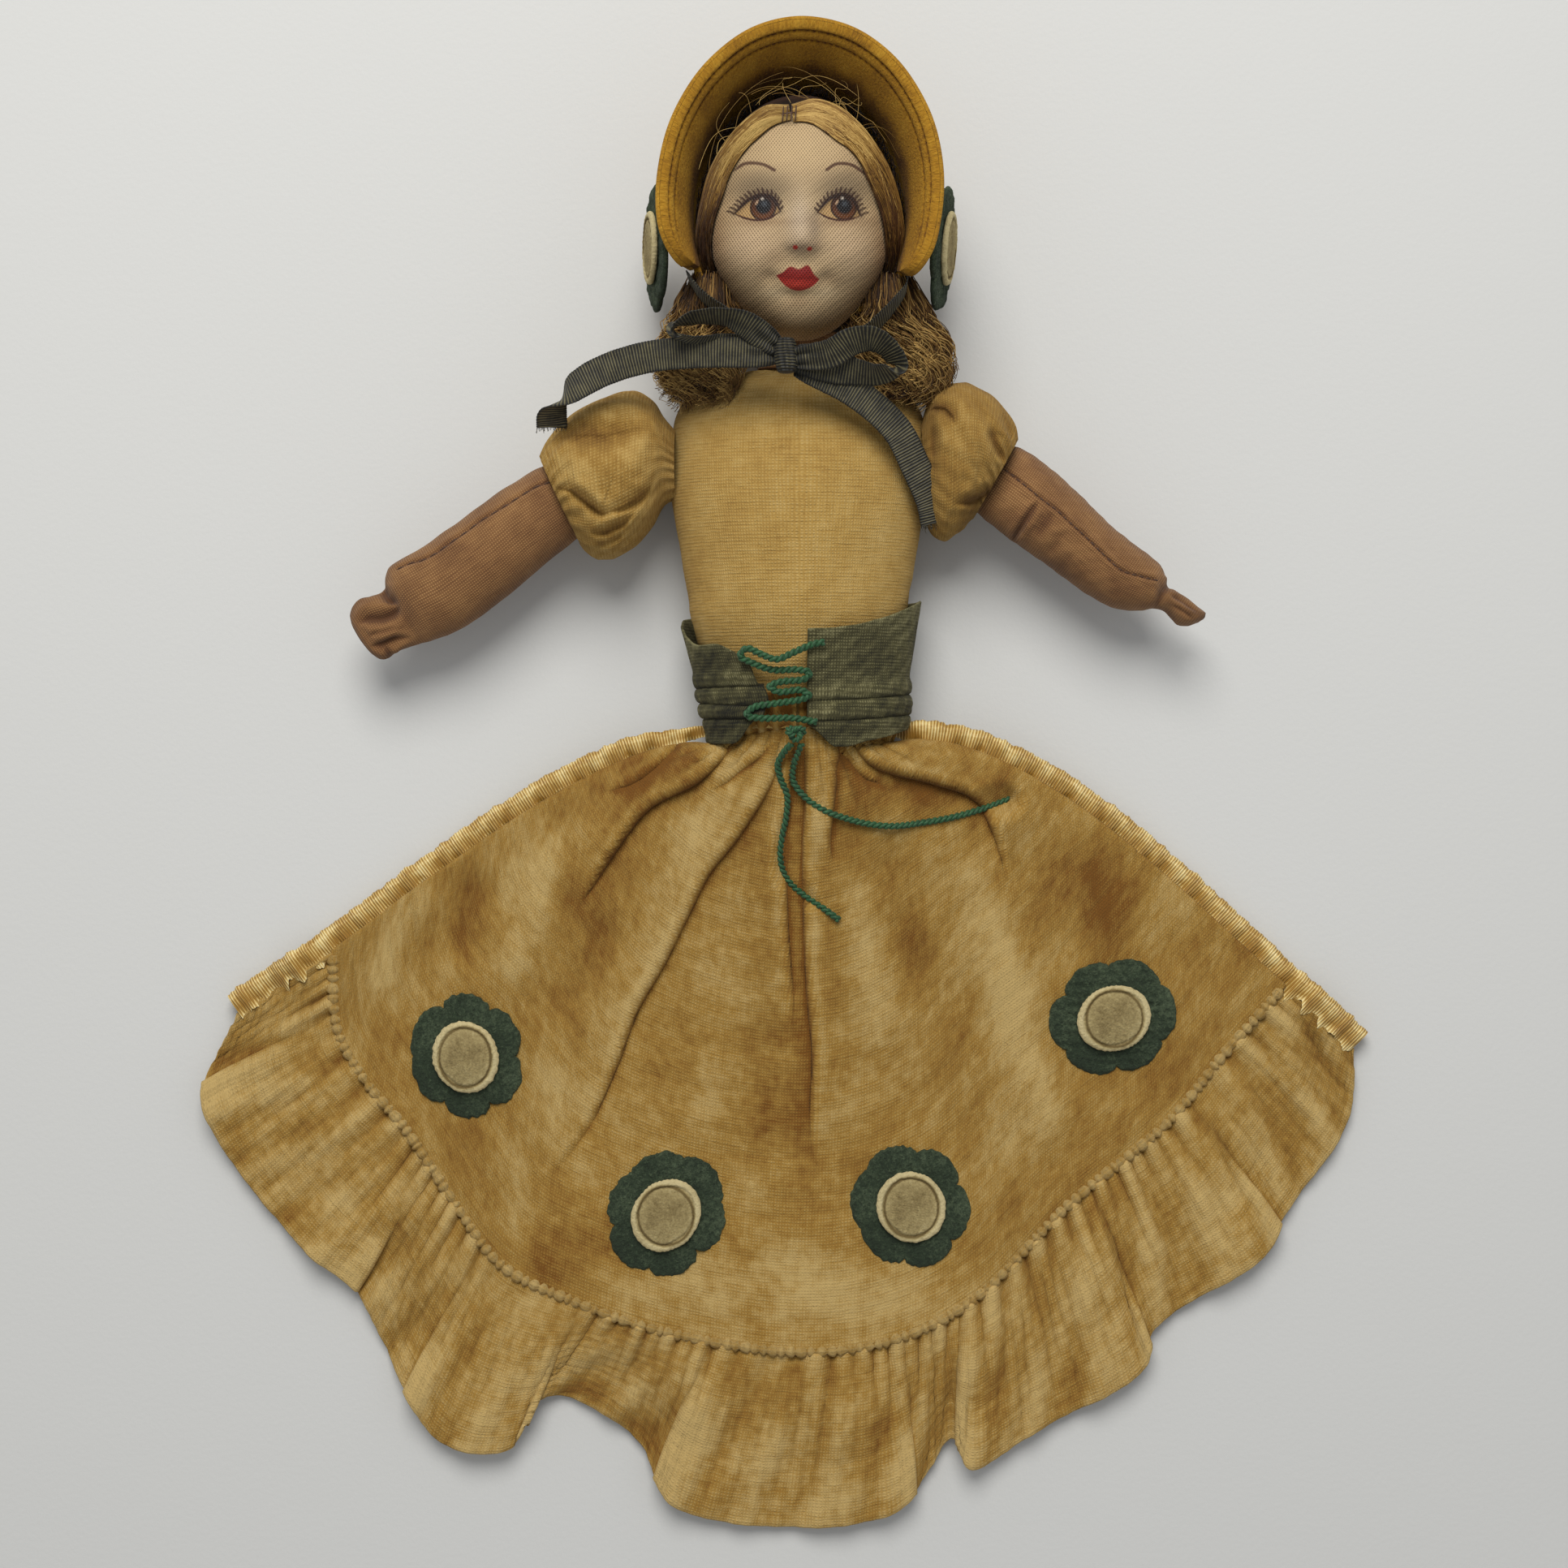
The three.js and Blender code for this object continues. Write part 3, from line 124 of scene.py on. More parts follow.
def shares(rows, columns):
    """Two grids that run from 0 to 1, down the rows and across the columns"""
    return np.meshgrid(np.linspace(0, 1, rows), np.linspace(0, 1, columns), indexing="ij")


def reading(table, place, number):
    """A value read from rows of (place, value, ...), smooth between its rows"""
    rows = np.asarray(table, float)
    place = np.clip(place, rows[0, 0], rows[-1, 0])
    i = np.clip(np.searchsorted(rows[:, 0], place, side="right") - 1, 0, len(rows) - 2)
    share = (place - rows[i, 0]) / (rows[i + 1, 0] - rows[i, 0])
    value = rows[:, number]
    before, start = value[np.maximum(i - 1, 0)], value[i]
    end, after = value[i + 1], value[np.minimum(i + 2, len(rows) - 1)]
    bent = 0.5 * (2 * start + (end - before) * share + (2 * before - 5 * start + 4 * end - after) * share ** 2
                  + (3 * start - before - 3 * end + after) * share ** 3)
    return np.clip(bent, np.minimum(start, end), np.maximum(start, end))


def ripple(*values, seed=0, size=1.0):
    """A smooth, seeded wobble between about -1 and 1 over grids of values in mm"""
    draw = np.random.default_rng(seed)
    total = 0
    for octave in range(4):
        turn = draw.normal(size=len(values)) * (1.7 ** octave) / size
        phase = draw.uniform(0, TURN)
        total = total + np.sin(sum(v * k for v, k in zip(values, turn)) * TURN + phase) / (1.35 ** octave)
    return total / 2.4


class Curve:
    """A smooth curve through points, read by its share of the length"""

    def __init__(self, points, per_span=40):
        self.per_span = per_span
        p = np.asarray(points, float)
        q = np.vstack([2 * p[0] - p[1], p, 2 * p[-1] - p[-2]])
        gap = np.maximum(np.linalg.norm(np.diff(q, axis=0), axis=1), 1e-6) ** 0.5
        w = np.arange(per_span)[:, None] / per_span
        spans = []
        for i in range(1, len(q) - 2):
            d0, d1, d2 = gap[i - 1:i + 2]
            step = q[i + 1] - q[i]
            t1 = ((q[i] - q[i - 1]) / d0 - (q[i + 1] - q[i - 1]) / (d0 + d1) + step / d1) * d1
            t2 = (step / d1 - (q[i + 2] - q[i]) / (d1 + d2) + (q[i + 2] - q[i + 1]) / d2) * d1
            spans.append(q[i] + t1 * w + (3 * step - 2 * t1 - t2) * w ** 2 + (t1 + t2 - 2 * step) * w ** 3)
        self.points = np.vstack(spans + [p[-1:]])
        steps = np.linalg.norm(np.diff(self.points, axis=0), axis=1)
        self.run = np.concatenate([[0], np.cumsum(steps)])
        self.length = self.run[-1]

    def at(self, share):
        run = np.clip(share, 0, 1) * self.length
        return np.stack([np.interp(run, self.run, axis) for axis in self.points.T], -1)

    def way(self, share, reach=0.004):
        return unit(self.at(np.clip(share + reach, 0, 1)) - self.at(np.clip(share - reach, 0, 1)))

    def share_of(self, number):
        """The share of the length at one of the curve's own points, or between two of them"""
        return np.interp(number * self.per_span, np.arange(len(self.run)), self.run) / self.length


def beside(x, y, line):
    """Distance to a line of points, above 0 on the left of its run, and the share of the way along it"""
    points = Curve(line, 12).points
    best, share, side = np.full(x.shape, 1e9), np.zeros(x.shape), np.ones(x.shape)
    for i in range(len(points) - 1):
        a, step = points[i], points[i + 1] - points[i]
        at = np.clip(((x - a[0]) * step[0] + (y - a[1]) * step[1]) / (step @ step + 1e-12), 0, 1)
        gap = np.hypot(x - a[0] - at * step[0], y - a[1] - at * step[1])
        nearer = gap < best
        best = np.where(nearer, gap, best)
        side = np.where(nearer, np.sign(step[0] * (y - a[1]) - step[1] * (x - a[0])), side)
        share = np.where(nearer, (i + at) / (len(points) - 1), share)
    return best * side, share


def away_from(x, y, line):
    gap, share = beside(x, y, line)
    return np.abs(gap), share


# Mesh builders

def outward(points, faces):
    """The same faces, turned so that they face out of the closed body"""
    middle = points.mean(0)
    volume = 0.0
    for group in faces:
        corners = points[group] - middle
        for k in range(1, group.shape[1] - 1):
            volume += np.einsum("ij,ij->", corners[:, 0], np.cross(corners[:, k], corners[:, k + 1]))
    return [group[:, ::-1] for group in faces] if volume < 0 else faces


def build(name, points, faces, finish, fields=None):
    """An object of one closed mesh, with named values kept at its points"""
    faces = outward(points, [np.asarray(group) for group in faces])
    mesh = bpy.data.meshes.new(name)
    mesh.vertices.add(len(points))
    mesh.vertices.foreach_set("co", metres(points).astype(np.float32).ravel())
    corners = np.concatenate([group.ravel() for group in faces])
    sizes = np.concatenate([np.full(len(group), group.shape[1]) for group in faces])
    mesh.loops.add(len(corners))
    mesh.loops.foreach_set("vertex_index", corners.astype(np.int32))
    mesh.polygons.add(len(sizes))
    mesh.polygons.foreach_set("loop_start", (np.cumsum(sizes) - sizes).astype(np.int32))
    mesh.polygons.foreach_set("use_smooth", np.ones(len(sizes), bool))
    mesh.update(calc_edges=True)
    for key, values in (fields or {}).items():
        values = np.asarray(values, np.float32)
        kind, part = ("FLOAT_VECTOR", "vector") if values.ndim == 2 else ("FLOAT", "value")
        mesh.attributes.new(key, kind, "POINT").data.foreach_set(part, values.ravel())
    mesh.materials.append(finish)
    thing = bpy.data.objects.new(name, mesh)
    bpy.context.scene.collection.objects.link(thing)
    return thing


def grid_faces(rows, columns, start=0, around=False):
    index = start + np.arange(rows * columns).reshape(rows, columns)
    if around:
        index = np.hstack([index, index[:, :1]])
    corners = index[:-1, :-1], index[:-1, 1:], index[1:, 1:], index[1:, :-1]
    return np.stack(corners, -1).reshape(-1, 4)


def grid_normals(grid):
    return unit(np.cross(np.gradient(grid, axis=1), np.gradient(grid, axis=0)))


def cloth(name, top, thickness, finish, fields=None, flip=False):
    """A closed sheet under a grid of points, with a rounded rim"""
    rows, columns = top.shape[:2]
    normal = grid_normals(top) * (-1 if flip else 1)
    under = top - normal * thickness
    index = np.arange(rows * columns).reshape(rows, columns)
    rim = np.concatenate([index[0, :-1], index[:-1, -1], index[-1, :0:-1], index[:0:-1, 0]])
    row, col = rim // columns, rim % columns
    inner = top[np.clip(row, 1, rows - 2), np.clip(col, 1, columns - 2)]
    out = unit(top[row, col] - inner)
    middle = (top[row, col] + under[row, col]) / 2 + out * thickness / 2
    count = rows * columns
    points = np.concatenate([top.reshape(-1, 3), under.reshape(-1, 3), middle])
    ring = np.arange(len(rim))
    after = np.roll(ring, -1)
    sides = [
        np.stack([rim[ring], 2 * count + ring, 2 * count + after, rim[after]], -1),
        np.stack([2 * count + ring, count + rim[ring], count + rim[after], 2 * count + after], -1),
    ]
    faces = [grid_faces(rows, columns), grid_faces(rows, columns, count)[:, ::-1], *sides]
    kept = {}
    for key, values in (fields or {}).items():
        flat = np.asarray(values).reshape(count, -1)
        whole = np.concatenate([flat, flat, flat[rim]])
        kept[key] = whole if whole.shape[1] == 3 else whole[:, 0]
    return build(name, points, faces, finish, kept)


def loft(name, rings, finish, fields=None):
    """A closed skin round a row of rings, each end closed by its middle point"""
    rows, columns = rings.shape[:2]
    points = np.concatenate([rings.reshape(-1, 3), [rings[0].mean(0), rings[-1].mean(0)]])
    ring = np.arange(columns)
    after = (ring + 1) % columns
    last = (rows - 1) * columns
    faces = [
        grid_faces(rows, columns, around=True),
        np.stack([np.full(columns, rows * columns), after, ring], -1),
        np.stack([np.full(columns, rows * columns + 1), last + ring, last + after], -1),
    ]
    kept = {}
    for key, values in (fields or {}).items():
        flat = np.asarray(values).reshape(rows * columns, -1)
        whole = np.concatenate([flat, flat[:columns].mean(0)[None], flat[-columns:].mean(0)[None]])
        kept[key] = whole if whole.shape[1] == 3 else whole[:, 0]
    return build(name, points, faces, finish, kept)


def threads(name, paths, radius, finish, sides=3, shade=None):
    """Many thin closed strands: paths is strands by points by 3, radius a grid or a number"""
    count, steps = paths.shape[:2]
    radius = np.broadcast_to(radius, (count, steps))
    way = unit(np.gradient(paths, axis=1))
    spread = paths[:, -1] - paths[:, 0]
    aside = unit(np.cross(spread, UP + 0.01) + 1e-6 * ACROSS)[:, None, :]
    side = unit(aside - way * np.sum(aside * way, -1, keepdims=True))
    other = np.cross(way, side)
    angle = full_turn(sides)
    ring = side[:, :, None, :] * np.cos(angle)[:, None] + other[:, :, None, :] * np.sin(angle)[:, None]
    points = (paths[:, :, None, :] + ring * radius[:, :, None, None]).reshape(-1, 3)
    one = grid_faces(steps, sides, around=True)
    offset = (np.arange(count) * steps * sides)[:, None, None]
    cap = np.arange(sides)
    faces = [
        (one[None] + offset).reshape(-1, 4),
        (cap[None, None, ::-1] + offset).reshape(-1, sides),
        (cap[None, None] + (steps - 1) * sides + offset).reshape(-1, sides),
    ]
    along = column(np.linspace(0, 1, steps))
    shade = np.zeros((count, 1, 1)) if shade is None else shade.reshape(count, -1, 1)
    strand = places(along, shade, np.zeros((count, steps, sides))).reshape(-1, 3)
    return build(name, points, faces, finish, {"strand": strand, "place": points})


def stitches(name, line, normals, length, radius, finish, lift=0.35):
    """Short arched stitches, one centred on each point of the line, along its run"""
    way = unit(np.gradient(line, axis=0))
    share = np.linspace(-0.5, 0.5, 7)
    arch = (1 - (2 * share) ** 2) * (1 + lift) * radius - radius * lift
    paths = line[:, None] + way[:, None] * column(share * length) + normals[:, None] * column(arch)
    thin = radius * (0.45 + 0.55 * np.sqrt(1 - (1.8 * share) ** 2 * 0.99))
    return threads(name, paths, thin[None], finish, sides=6)


def twisted(name, path, radius, finish, turns, plies=2):
    """A cord of plies that wind round a path"""
    way = unit(np.gradient(path, axis=0))
    side = unit(np.cross(way, UP))
    other = np.cross(side, way)
    run = np.concatenate([[0], np.cumsum(np.linalg.norm(np.diff(path, axis=0), axis=1))])
    angle = TURN * turns * run / run[-1] + column(full_turn(plies))
    ply = radius / (1 + 1 / math.sin(math.pi / plies))
    reach = radius - ply
    paths = path + reach * (column(np.cos(angle)) * side + column(np.sin(angle)) * other)
    return threads(name, paths, ply * 1.12, finish, sides=8)


# Finishes

class Finish:
    """A material built up from nodes round one Principled shader"""

    def __init__(self, name, slot, **sockets):
        self.material = bpy.data.materials.new(name)
        self.material.use_nodes = True
        self.tree = self.material.node_tree
        self.shader = self.tree.nodes["Principled BSDF"]
        for key, value in sockets.items():
            self.shader.inputs[key.replace("_", " ").title().replace("Ior", "IOR")].default_value = value

    def node(self, kind, inputs, output=0, **settings):
        node = self.tree.nodes.new("ShaderNode" + kind)
        for key, value in settings.items():
            setattr(node, key, value)
        for key, value in inputs.items():
            if isinstance(value, bpy.types.NodeSocket):
                self.tree.links.new(value, node.inputs[key])
            else:
                node.inputs[key].default_value = value
        return node.outputs[output]

    def field(self, name, output="Vector"):
        return self.node("Attribute", {}, output, attribute_name=name)

    def stretched(self, vector, scale):
        return self.node("Mapping", {"Vector": vector, "Scale": scale})

    def noise(self, vector, scale, detail=3.0, roughness=0.55):
        inputs = {"Vector": vector, "Scale": scale, "Detail": detail, "Roughness": roughness}
        return self.node("TexNoise", inputs, "Fac")

    def wave(self, vector, scale, direction="X", distortion=0.0):
        inputs = {"Vector": vector, "Scale": scale, "Distortion": distortion, "Detail": 1.0}
        return self.node("TexWave", inputs, "Fac", bands_direction=direction)

    def crossed(self, vector, scale, distortion):
        """Waves across times waves along, as the threads of a weave cross"""
        across, along = [self.wave(vector, scale, way, distortion) for way in "XY"]
        return self.node("Math", {0: across, 1: along}, operation="MULTIPLY")

    def total(self, *parts, start=0.0):
        """The sum of sockets, each given with its weight"""
        for socket, weight in parts:
            start = self.node("Math", {0: socket, 1: weight, 2: start}, operation="MULTIPLY_ADD")
        return start

    def blend(self, factor, low, high):
        """A weighted mean of two numbers, each a socket or a plain value"""
        return self.node("Mix", {0: factor, 2: low, 3: high}, data_type="FLOAT")

    def ramp(self, factor, stops):
        node = self.tree.nodes.new("ShaderNodeValToRGB")
        self.tree.links.new(factor, node.inputs[0])
        elements = node.color_ramp.elements
        while len(elements) < len(stops):
            elements.new(0.5)
        for element, (place, colour) in zip(elements, stops):
            element.position = place
            element.color = (*linear(colour), 1)
        return node.outputs[0]

    def colour(self, socket):
        self.tree.links.new(socket, self.shader.inputs["Base Color"])

    def shade(self, total, low, high):
        """The finish's own colours, the first where the total is low and the last where it is high"""
        share = self.node("MapRange", {0: total, 1: low, 2: high, 3: 0.0, 4: 1.0})
        colours = COLOURS[self.material.name]
        self.colour(self.ramp(share, list(zip(np.linspace(0, 1, len(colours)), colours))))

    def roughness(self, socket):
        self.tree.links.new(socket, self.shader.inputs["Roughness"])

    def bump(self, height, distance, strength=1.0):
        inputs = {"Height": height, "Distance": distance * MM, "Strength": strength}
        under = self.shader.inputs["Normal"]
        if under.links:
            inputs["Normal"] = under.links[0].from_socket
        self.tree.links.new(self.node("Bump", inputs), under)


def linear(colour):
    """A colour of 0 to 255 as the shader's linear values"""
    share = np.asarray(colour, float) / 255
    return tuple(np.where(share <= 0.04045, share / 12.92, ((share + 0.055) / 1.055) ** 2.4))


def rgba(colour):
    return (*linear(colour), 1)


# The colours of each finish, from its deepest to its palest
COLOURS = {
    "skirt_pile": [(118, 74, 8), (160, 122, 50), (194, 164, 102)],
    "bodice_pile": [(132, 94, 36), (174, 138, 68), (198, 168, 104)],
    "sleeve_pile": [(106, 72, 20), (150, 114, 48), (190, 158, 92)],
    "cincher_pile": [(16, 16, 5), (76, 72, 41), (140, 134, 94)],
    "skin_cloth": [(86, 52, 22), (128, 88, 47), (170, 130, 80)],
    "green_wool": [(14, 22, 12), (48, 62, 42), (104, 118, 88)],
    "cream_wool": [(110, 92, 52), (166, 148, 100), (206, 190, 142)],
    "mustard_wool": [(84, 44, 2), (166, 118, 20), (206, 160, 52)],
    "satin_edge": [(158, 116, 44), (216, 184, 110), (244, 224, 164)],
    "ribbon_cloth": [(6, 6, 3), (40, 36, 21), (106, 99, 68)],
    "lace_thread": [(4, 34, 14), (58, 128, 72)],
    "brown_thread": [(58, 34, 18), (104, 70, 44)],
    "pale_thread": [(196, 168, 104), (232, 214, 160)],
    "hair_gold": [(66, 36, 6), (132, 96, 36), (198, 164, 94)],
    "hair_curl": [(38, 18, 4), (120, 84, 32), (204, 168, 98)],
    "hair_shadow": [(10, 4, 2), (24, 12, 5), (52, 30, 14)],
}


def velvet(name, slot, weave=1.0, mottle=1.0):
    """Short, rubbed pile on a cross-woven ground. The wear_and_shade field, real wear with painted light and
    shade, pulls it from deep to worn.
    """
    finish = Finish(name, slot, roughness=0.95, sheen_weight=0.2, sheen_roughness=0.45,
                    sheen_tint=rgba(COLOURS[name][-1]))
    place = finish.field("place")
    rows = finish.noise(finish.stretched(place, (0.16, 1.9, 1)), 1.0, 4.0, 0.7)
    lines = finish.noise(finish.stretched(place, (1.9, 0.14, 1)), 1.0, 3.0, 0.7)
    grain = finish.noise(place, 4.2, 2.0, 0.7)
    ground = finish.crossed(place, 0.5, 1.6)
    noises = [(finish.noise(place, 0.075, 4.0), 0.75 * mottle),
              (finish.noise(place, 0.4, 3.0), 0.42 * mottle),
              (rows, 0.4 * weave), (lines, 0.22 * weave), (grain, 0.4)]
    total = finish.total((finish.field("wear_and_shade", "Fac"), 0.3), *noises, (ground, 0.2 * weave))
    # A noise is a half on average, and the product of two waves a quarter
    level = sum(weight for _, weight in noises) / 2 + 0.2 * weave / 4
    finish.shade(total, level - 0.42, level + 0.42)
    finish.bump(grain, 0.2)
    finish.bump(rows, 0.14 * weave)
    finish.bump(ground, 0.07 * weave)
    return finish.material


def cotton(name, slot):
    """Plain cotton, one thread over and one under, a little soiled"""
    finish = Finish(name, slot, roughness=0.88, sheen_weight=0.08, sheen_roughness=0.5)
    place = finish.field("place")
    wear_and_shade = finish.field("wear_and_shade", "Fac")
    soil = finish.noise(place, 0.12, 4.0)
    weave = finish.crossed(place, 0.66, 0.8)
    slub = finish.noise(finish.stretched(place, (0.25, 2.4, 1)), 1.0, 3.0)
    finish.shade(finish.total((wear_and_shade, 1.0), (soil, 0.7), (slub, 0.4), (weave, 0.5)), 0.35, 1.1)
    finish.bump(weave, 0.1)
    finish.bump(slub, 0.06)
    return finish.material


def felt(name, slot, nap):
    """Matted wool with a soft, tangled nap. The wear_and_shade field darkens its stitched grooves as painted
    shade.
    """
    finish = Finish(name, slot, roughness=1.0, sheen_weight=0.15, sheen_roughness=0.6,
                    sheen_tint=rgba(COLOURS[name][-1]))
    place = finish.field("place")
    wear_and_shade = finish.field("wear_and_shade", "Fac")
    matting = finish.noise(place, 1.3, 6.0, 0.75)
    patches = finish.noise(place, 0.12, 3.0)
    fibres = finish.node("TexVoronoi", {"Vector": place, "Scale": 2.6, "Randomness": 1.0}, "Distance",
                         feature="SMOOTH_F1")
    finish.shade(finish.total((wear_and_shade, 1.0), (patches, 0.6), (matting, 0.9)), 0.4, 1.1)
    finish.bump(matting, nap)
    finish.bump(fibres, nap / 3)
    return finish.material


def corded(name, slot, gloss, contrast):
    """Ribbon with fine ribs across it, laid along its own Y"""
    finish = Finish(name, slot, roughness=gloss, sheen_weight=0.08, sheen_roughness=0.4)
    place = finish.field("place")
    wear_and_shade = finish.field("wear_and_shade", "Fac")
    rib = finish.wave(place, 0.55, "Y", 0.5)
    worn = finish.noise(place, 0.35, 4.0)
    thread = finish.noise(finish.stretched(place, (3.0, 0.8, 1)), 1.0, 2.0)
    total = finish.total((worn, 1.0), (thread, 0.3), (rib, contrast), (wear_and_shade, 1.0))
    level = 0.65 + contrast / 2
    finish.shade(total, level - 0.4, level + 0.4)
    finish.bump(rib, 0.16)
    finish.bump(thread, 0.05)
    return finish.material


def spun(name, slot):
    """Spun fibre, varied along each strand and from strand to strand"""
    finish = Finish(name, slot, roughness=0.6, sheen_weight=0.1)
    tint = finish.node("SeparateXYZ", {0: finish.field("strand")}, 1)
    fleck = finish.noise(finish.field("place"), 2.2, 3.0)
    finish.shade(finish.total((fleck, 0.8), (tint, 0.6)), 0.15, 1.0)
    finish.bump(fleck, 0.05)
    return finish.material


def mohair(name):
    """Hair, each strand of its own tint and streaked along its run"""
    finish = Finish(name, "mohair", roughness=0.6, specular_ior_level=0.3, sheen_weight=0.05)
    strand = finish.field("strand")
    along, tint = [finish.node("SeparateXYZ", {0: strand}, axis) for axis in (0, 1)]
    streak = finish.noise(finish.stretched(strand, (2.5, 16, 1)), 1.0, 3.0)
    patch = finish.noise(finish.field("place"), 0.22, 3.0)
    finish.shade(finish.total((tint, 0.8), (patch, 0.5), (streak, 0.3), (along, -0.1)), 0.3, 1.2)
    finish.bump(streak, 0.1)
    return finish.material


SKIRT_VELVET = velvet("skirt_pile", "skirt_velvet", 1.2, 1.5)
BODICE_VELVET = velvet("bodice_pile", "bodice_velvet", 1.6, 0.5)
SLEEVE_VELVET = velvet("sleeve_pile", "bodice_velvet", 1.3, 0.8)
CINCHER_VELVET = velvet("cincher_pile", "cincher_velvet", 1.7)
SKIN = cotton("skin_cloth", "skin_cotton")
GREEN_FELT = felt("green_wool", "green_felt", 0.9)
CREAM_FELT = felt("cream_wool", "cream_felt", 0.4)
MUSTARD_FELT = felt("mustard_wool", "mustard_felt", 0.45)
SATIN = corded("satin_edge", "binding_ribbon", 0.4, 0.6)
RIBBON_CLOTH = corded("ribbon_cloth", "ribbon", 0.62, 0.75)
LACE_THREAD = spun("lace_thread", "lacing_cord")
BROWN_THREAD = spun("brown_thread", "skin_cotton")
PALE_THREAD = spun("pale_thread", "binding_ribbon")
HAIR_GOLD = mohair("hair_gold")
HAIR_CURL = mohair("hair_curl")
HAIR_DARK = mohair("hair_shadow")


# Stage: white paper, even light and a soft lamp from the top left

CAMERA = np.array([-3, -7, 500])
VIEW_WIDTH = 322


def make_stage():
    half = 1.2
    corners = [(-half, -half, 0), (half, -half, 0), (half, half, 0), (-half, half, 0)]
    mesh = bpy.data.meshes.new("paper")
    mesh.from_pydata(corners, [], [(0, 1, 2, 3)])
    paper = bpy.data.objects.new("paper", mesh)
    bpy.context.scene.collection.objects.link(paper)
    finish = Finish("paper_white", "none", roughness=0.9, base_color=rgba((206, 206, 203)))
    grain = finish.noise(finish.node("TexCoord", {}, "Object"), 900.0, 3.0)
    finish.bump(grain, 0.05)
    mesh.materials.append(finish.material)


def make_light():
    world = bpy.data.worlds.new("sky")
    world.use_nodes = True
    background = world.node_tree.nodes["Background"]
    background.inputs["Color"].default_value = rgba((250, 252, 255))
    background.inputs["Strength"].default_value = 0.42
    bpy.context.scene.world = world
    lamp = bpy.data.lights.new("window", "AREA")
    lamp.shape = "DISK"
    lamp.size = 0.6
    lamp.energy = 7.6
    lamp.color = (1.0, 0.985, 0.96)
    window = bpy.data.objects.new("window", lamp)
    window.location = metres([-60, 560, 760])
    window.rotation_euler = aim(window.location, metres([0, -10, 0]))
    bpy.context.scene.collection.objects.link(window)


def aim(start, end):
    return (Vector(end) - Vector(start)).to_track_quat("-Z", "Y").to_euler()


def make_camera():
    camera = bpy.data.objects.new("camera", bpy.data.cameras.new("camera"))
    camera.location = metres(CAMERA)
    camera.data.sensor_fit = "HORIZONTAL"
    camera.data.angle = 2 * math.atan(VIEW_WIDTH / 2 / CAMERA[2])
    camera.data.clip_start = 0.01
    camera.data.clip_end = 20
    bpy.context.scene.collection.objects.link(camera)
    bpy.context.scene.camera = camera


bpy.context.scene.view_settings.view_transform = "Standard"
make_stage()
make_light()
make_camera()

# The two free ends of the lacing, by the routes of their solids
LACE = Sizes(diameter=1.4, turns_per_mm=0.42)
LACE_END_SHORT = [
    (-1.6, 0.8, 23.2), (-3, -0.8, 21.6), (-4.2, -3.2, 19.6), (-3.6, -6, 18.2), (-2.4, -9.2, 17.1),
    (-2.6, -13.4, 15.5), (-3.4, -17.4, 14.1), (-3.8, -21, 13), (-3.2, -24.4, 11.8), (-1.2, -27.4, 11.2),
    (1.8, -29.8, 11.4), (5, -32, 12), (8, -34.2, 12.1),
]
LACE_END_LONG = [
    (0.4, 0.8, 23.2), (-0.4, -1.2, 21.8), (-1.2, -3.6, 20), (-1.2, -6.4, 18.3), (1.2, -9.6, 17.2),
    (5, -12.2, 17), (9.6, -13.9, 15.7), (14, -15, 14.5), (18.6, -15.4, 14.2), (24.4, -14.8, 11.6),
    (30.4, -13.8, 10.4), (36.4, -12.2, 8.6), (42.5, -10, 6.4),
]


def make_lace_end(name, route):
    line = Curve(route)
    path = line.at(np.linspace(0, 1, 160))
    cord = twisted(name, path, LACE.diameter / 2, LACE_THREAD, line.length * LACE.turns_per_mm)
    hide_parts(name)
    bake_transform(cord)


make_lace_end("lace_end_short", LACE_END_SHORT)
make_lace_end("lace_end_long", LACE_END_LONG)

# Skirt. The gap is the room between pieces that lie on each other.

GAP = 0.3
SKIRT = Sizes(top_width=38, waist_depth=17.2, side_height=8.4, cloth=1.2, length=122.8, half_span=99,
              left_bulge=6.2, right_bulge=9.4, table_lift=0.25, tuck=0.03)
RUFFLE = Sizes(cloth=1.2, centre_drop=159.3)
# The seam along the ruffle and the ruffle's hem from left to right, as shares of the skirt's half
# span and of its length, or for the hem of the ruffle's drop
SEAM_SHARES = [
    (-0.96, 0.335), (-0.95, 0.464), (-0.894, 0.548), (-0.81, 0.629), (-0.71, 0.751), (-0.609, 0.858),
    (-0.476, 0.912), (-0.275, 0.967), (0.01, 1), (0.194, 0.98), (0.362, 0.912), (0.545, 0.764),
    (0.763, 0.616), (0.874, 0.507), (1, 0.392),
]
HEM_SHARES = [
    (-1.155, 0.339), (-1.225, 0.433), (-1.195, 0.495), (-1.12, 0.565), (-1.01, 0.641), (-0.91, 0.693),
    (-0.86, 0.755), (-0.81, 0.818), (-0.73, 0.885), (-0.593, 0.891), (-0.525, 0.828), (-0.4, 0.85),
    (-0.325, 0.891), (-0.258, 0.963), (-0.04, 0.994), (0.194, 0.974), (0.26, 0.932), (0.319, 0.88),
    (0.352, 0.916), (0.495, 0.869), (0.713, 0.787), (0.729, 0.745), (0.964, 0.641), (0.997, 0.6),
    (1.131, 0.475), (1.145, 0.384),
]
SEAM = Curve([(SKIRT.half_span * x, -SKIRT.length * y) for x, y in SEAM_SHARES])
HEM = Curve([(SKIRT.half_span * x, -RUFFLE.centre_drop * y) for x, y in HEM_SHARES])
EDGE_WAYS = np.array([[-0.44, 0.898], [0.49, 0.871]])


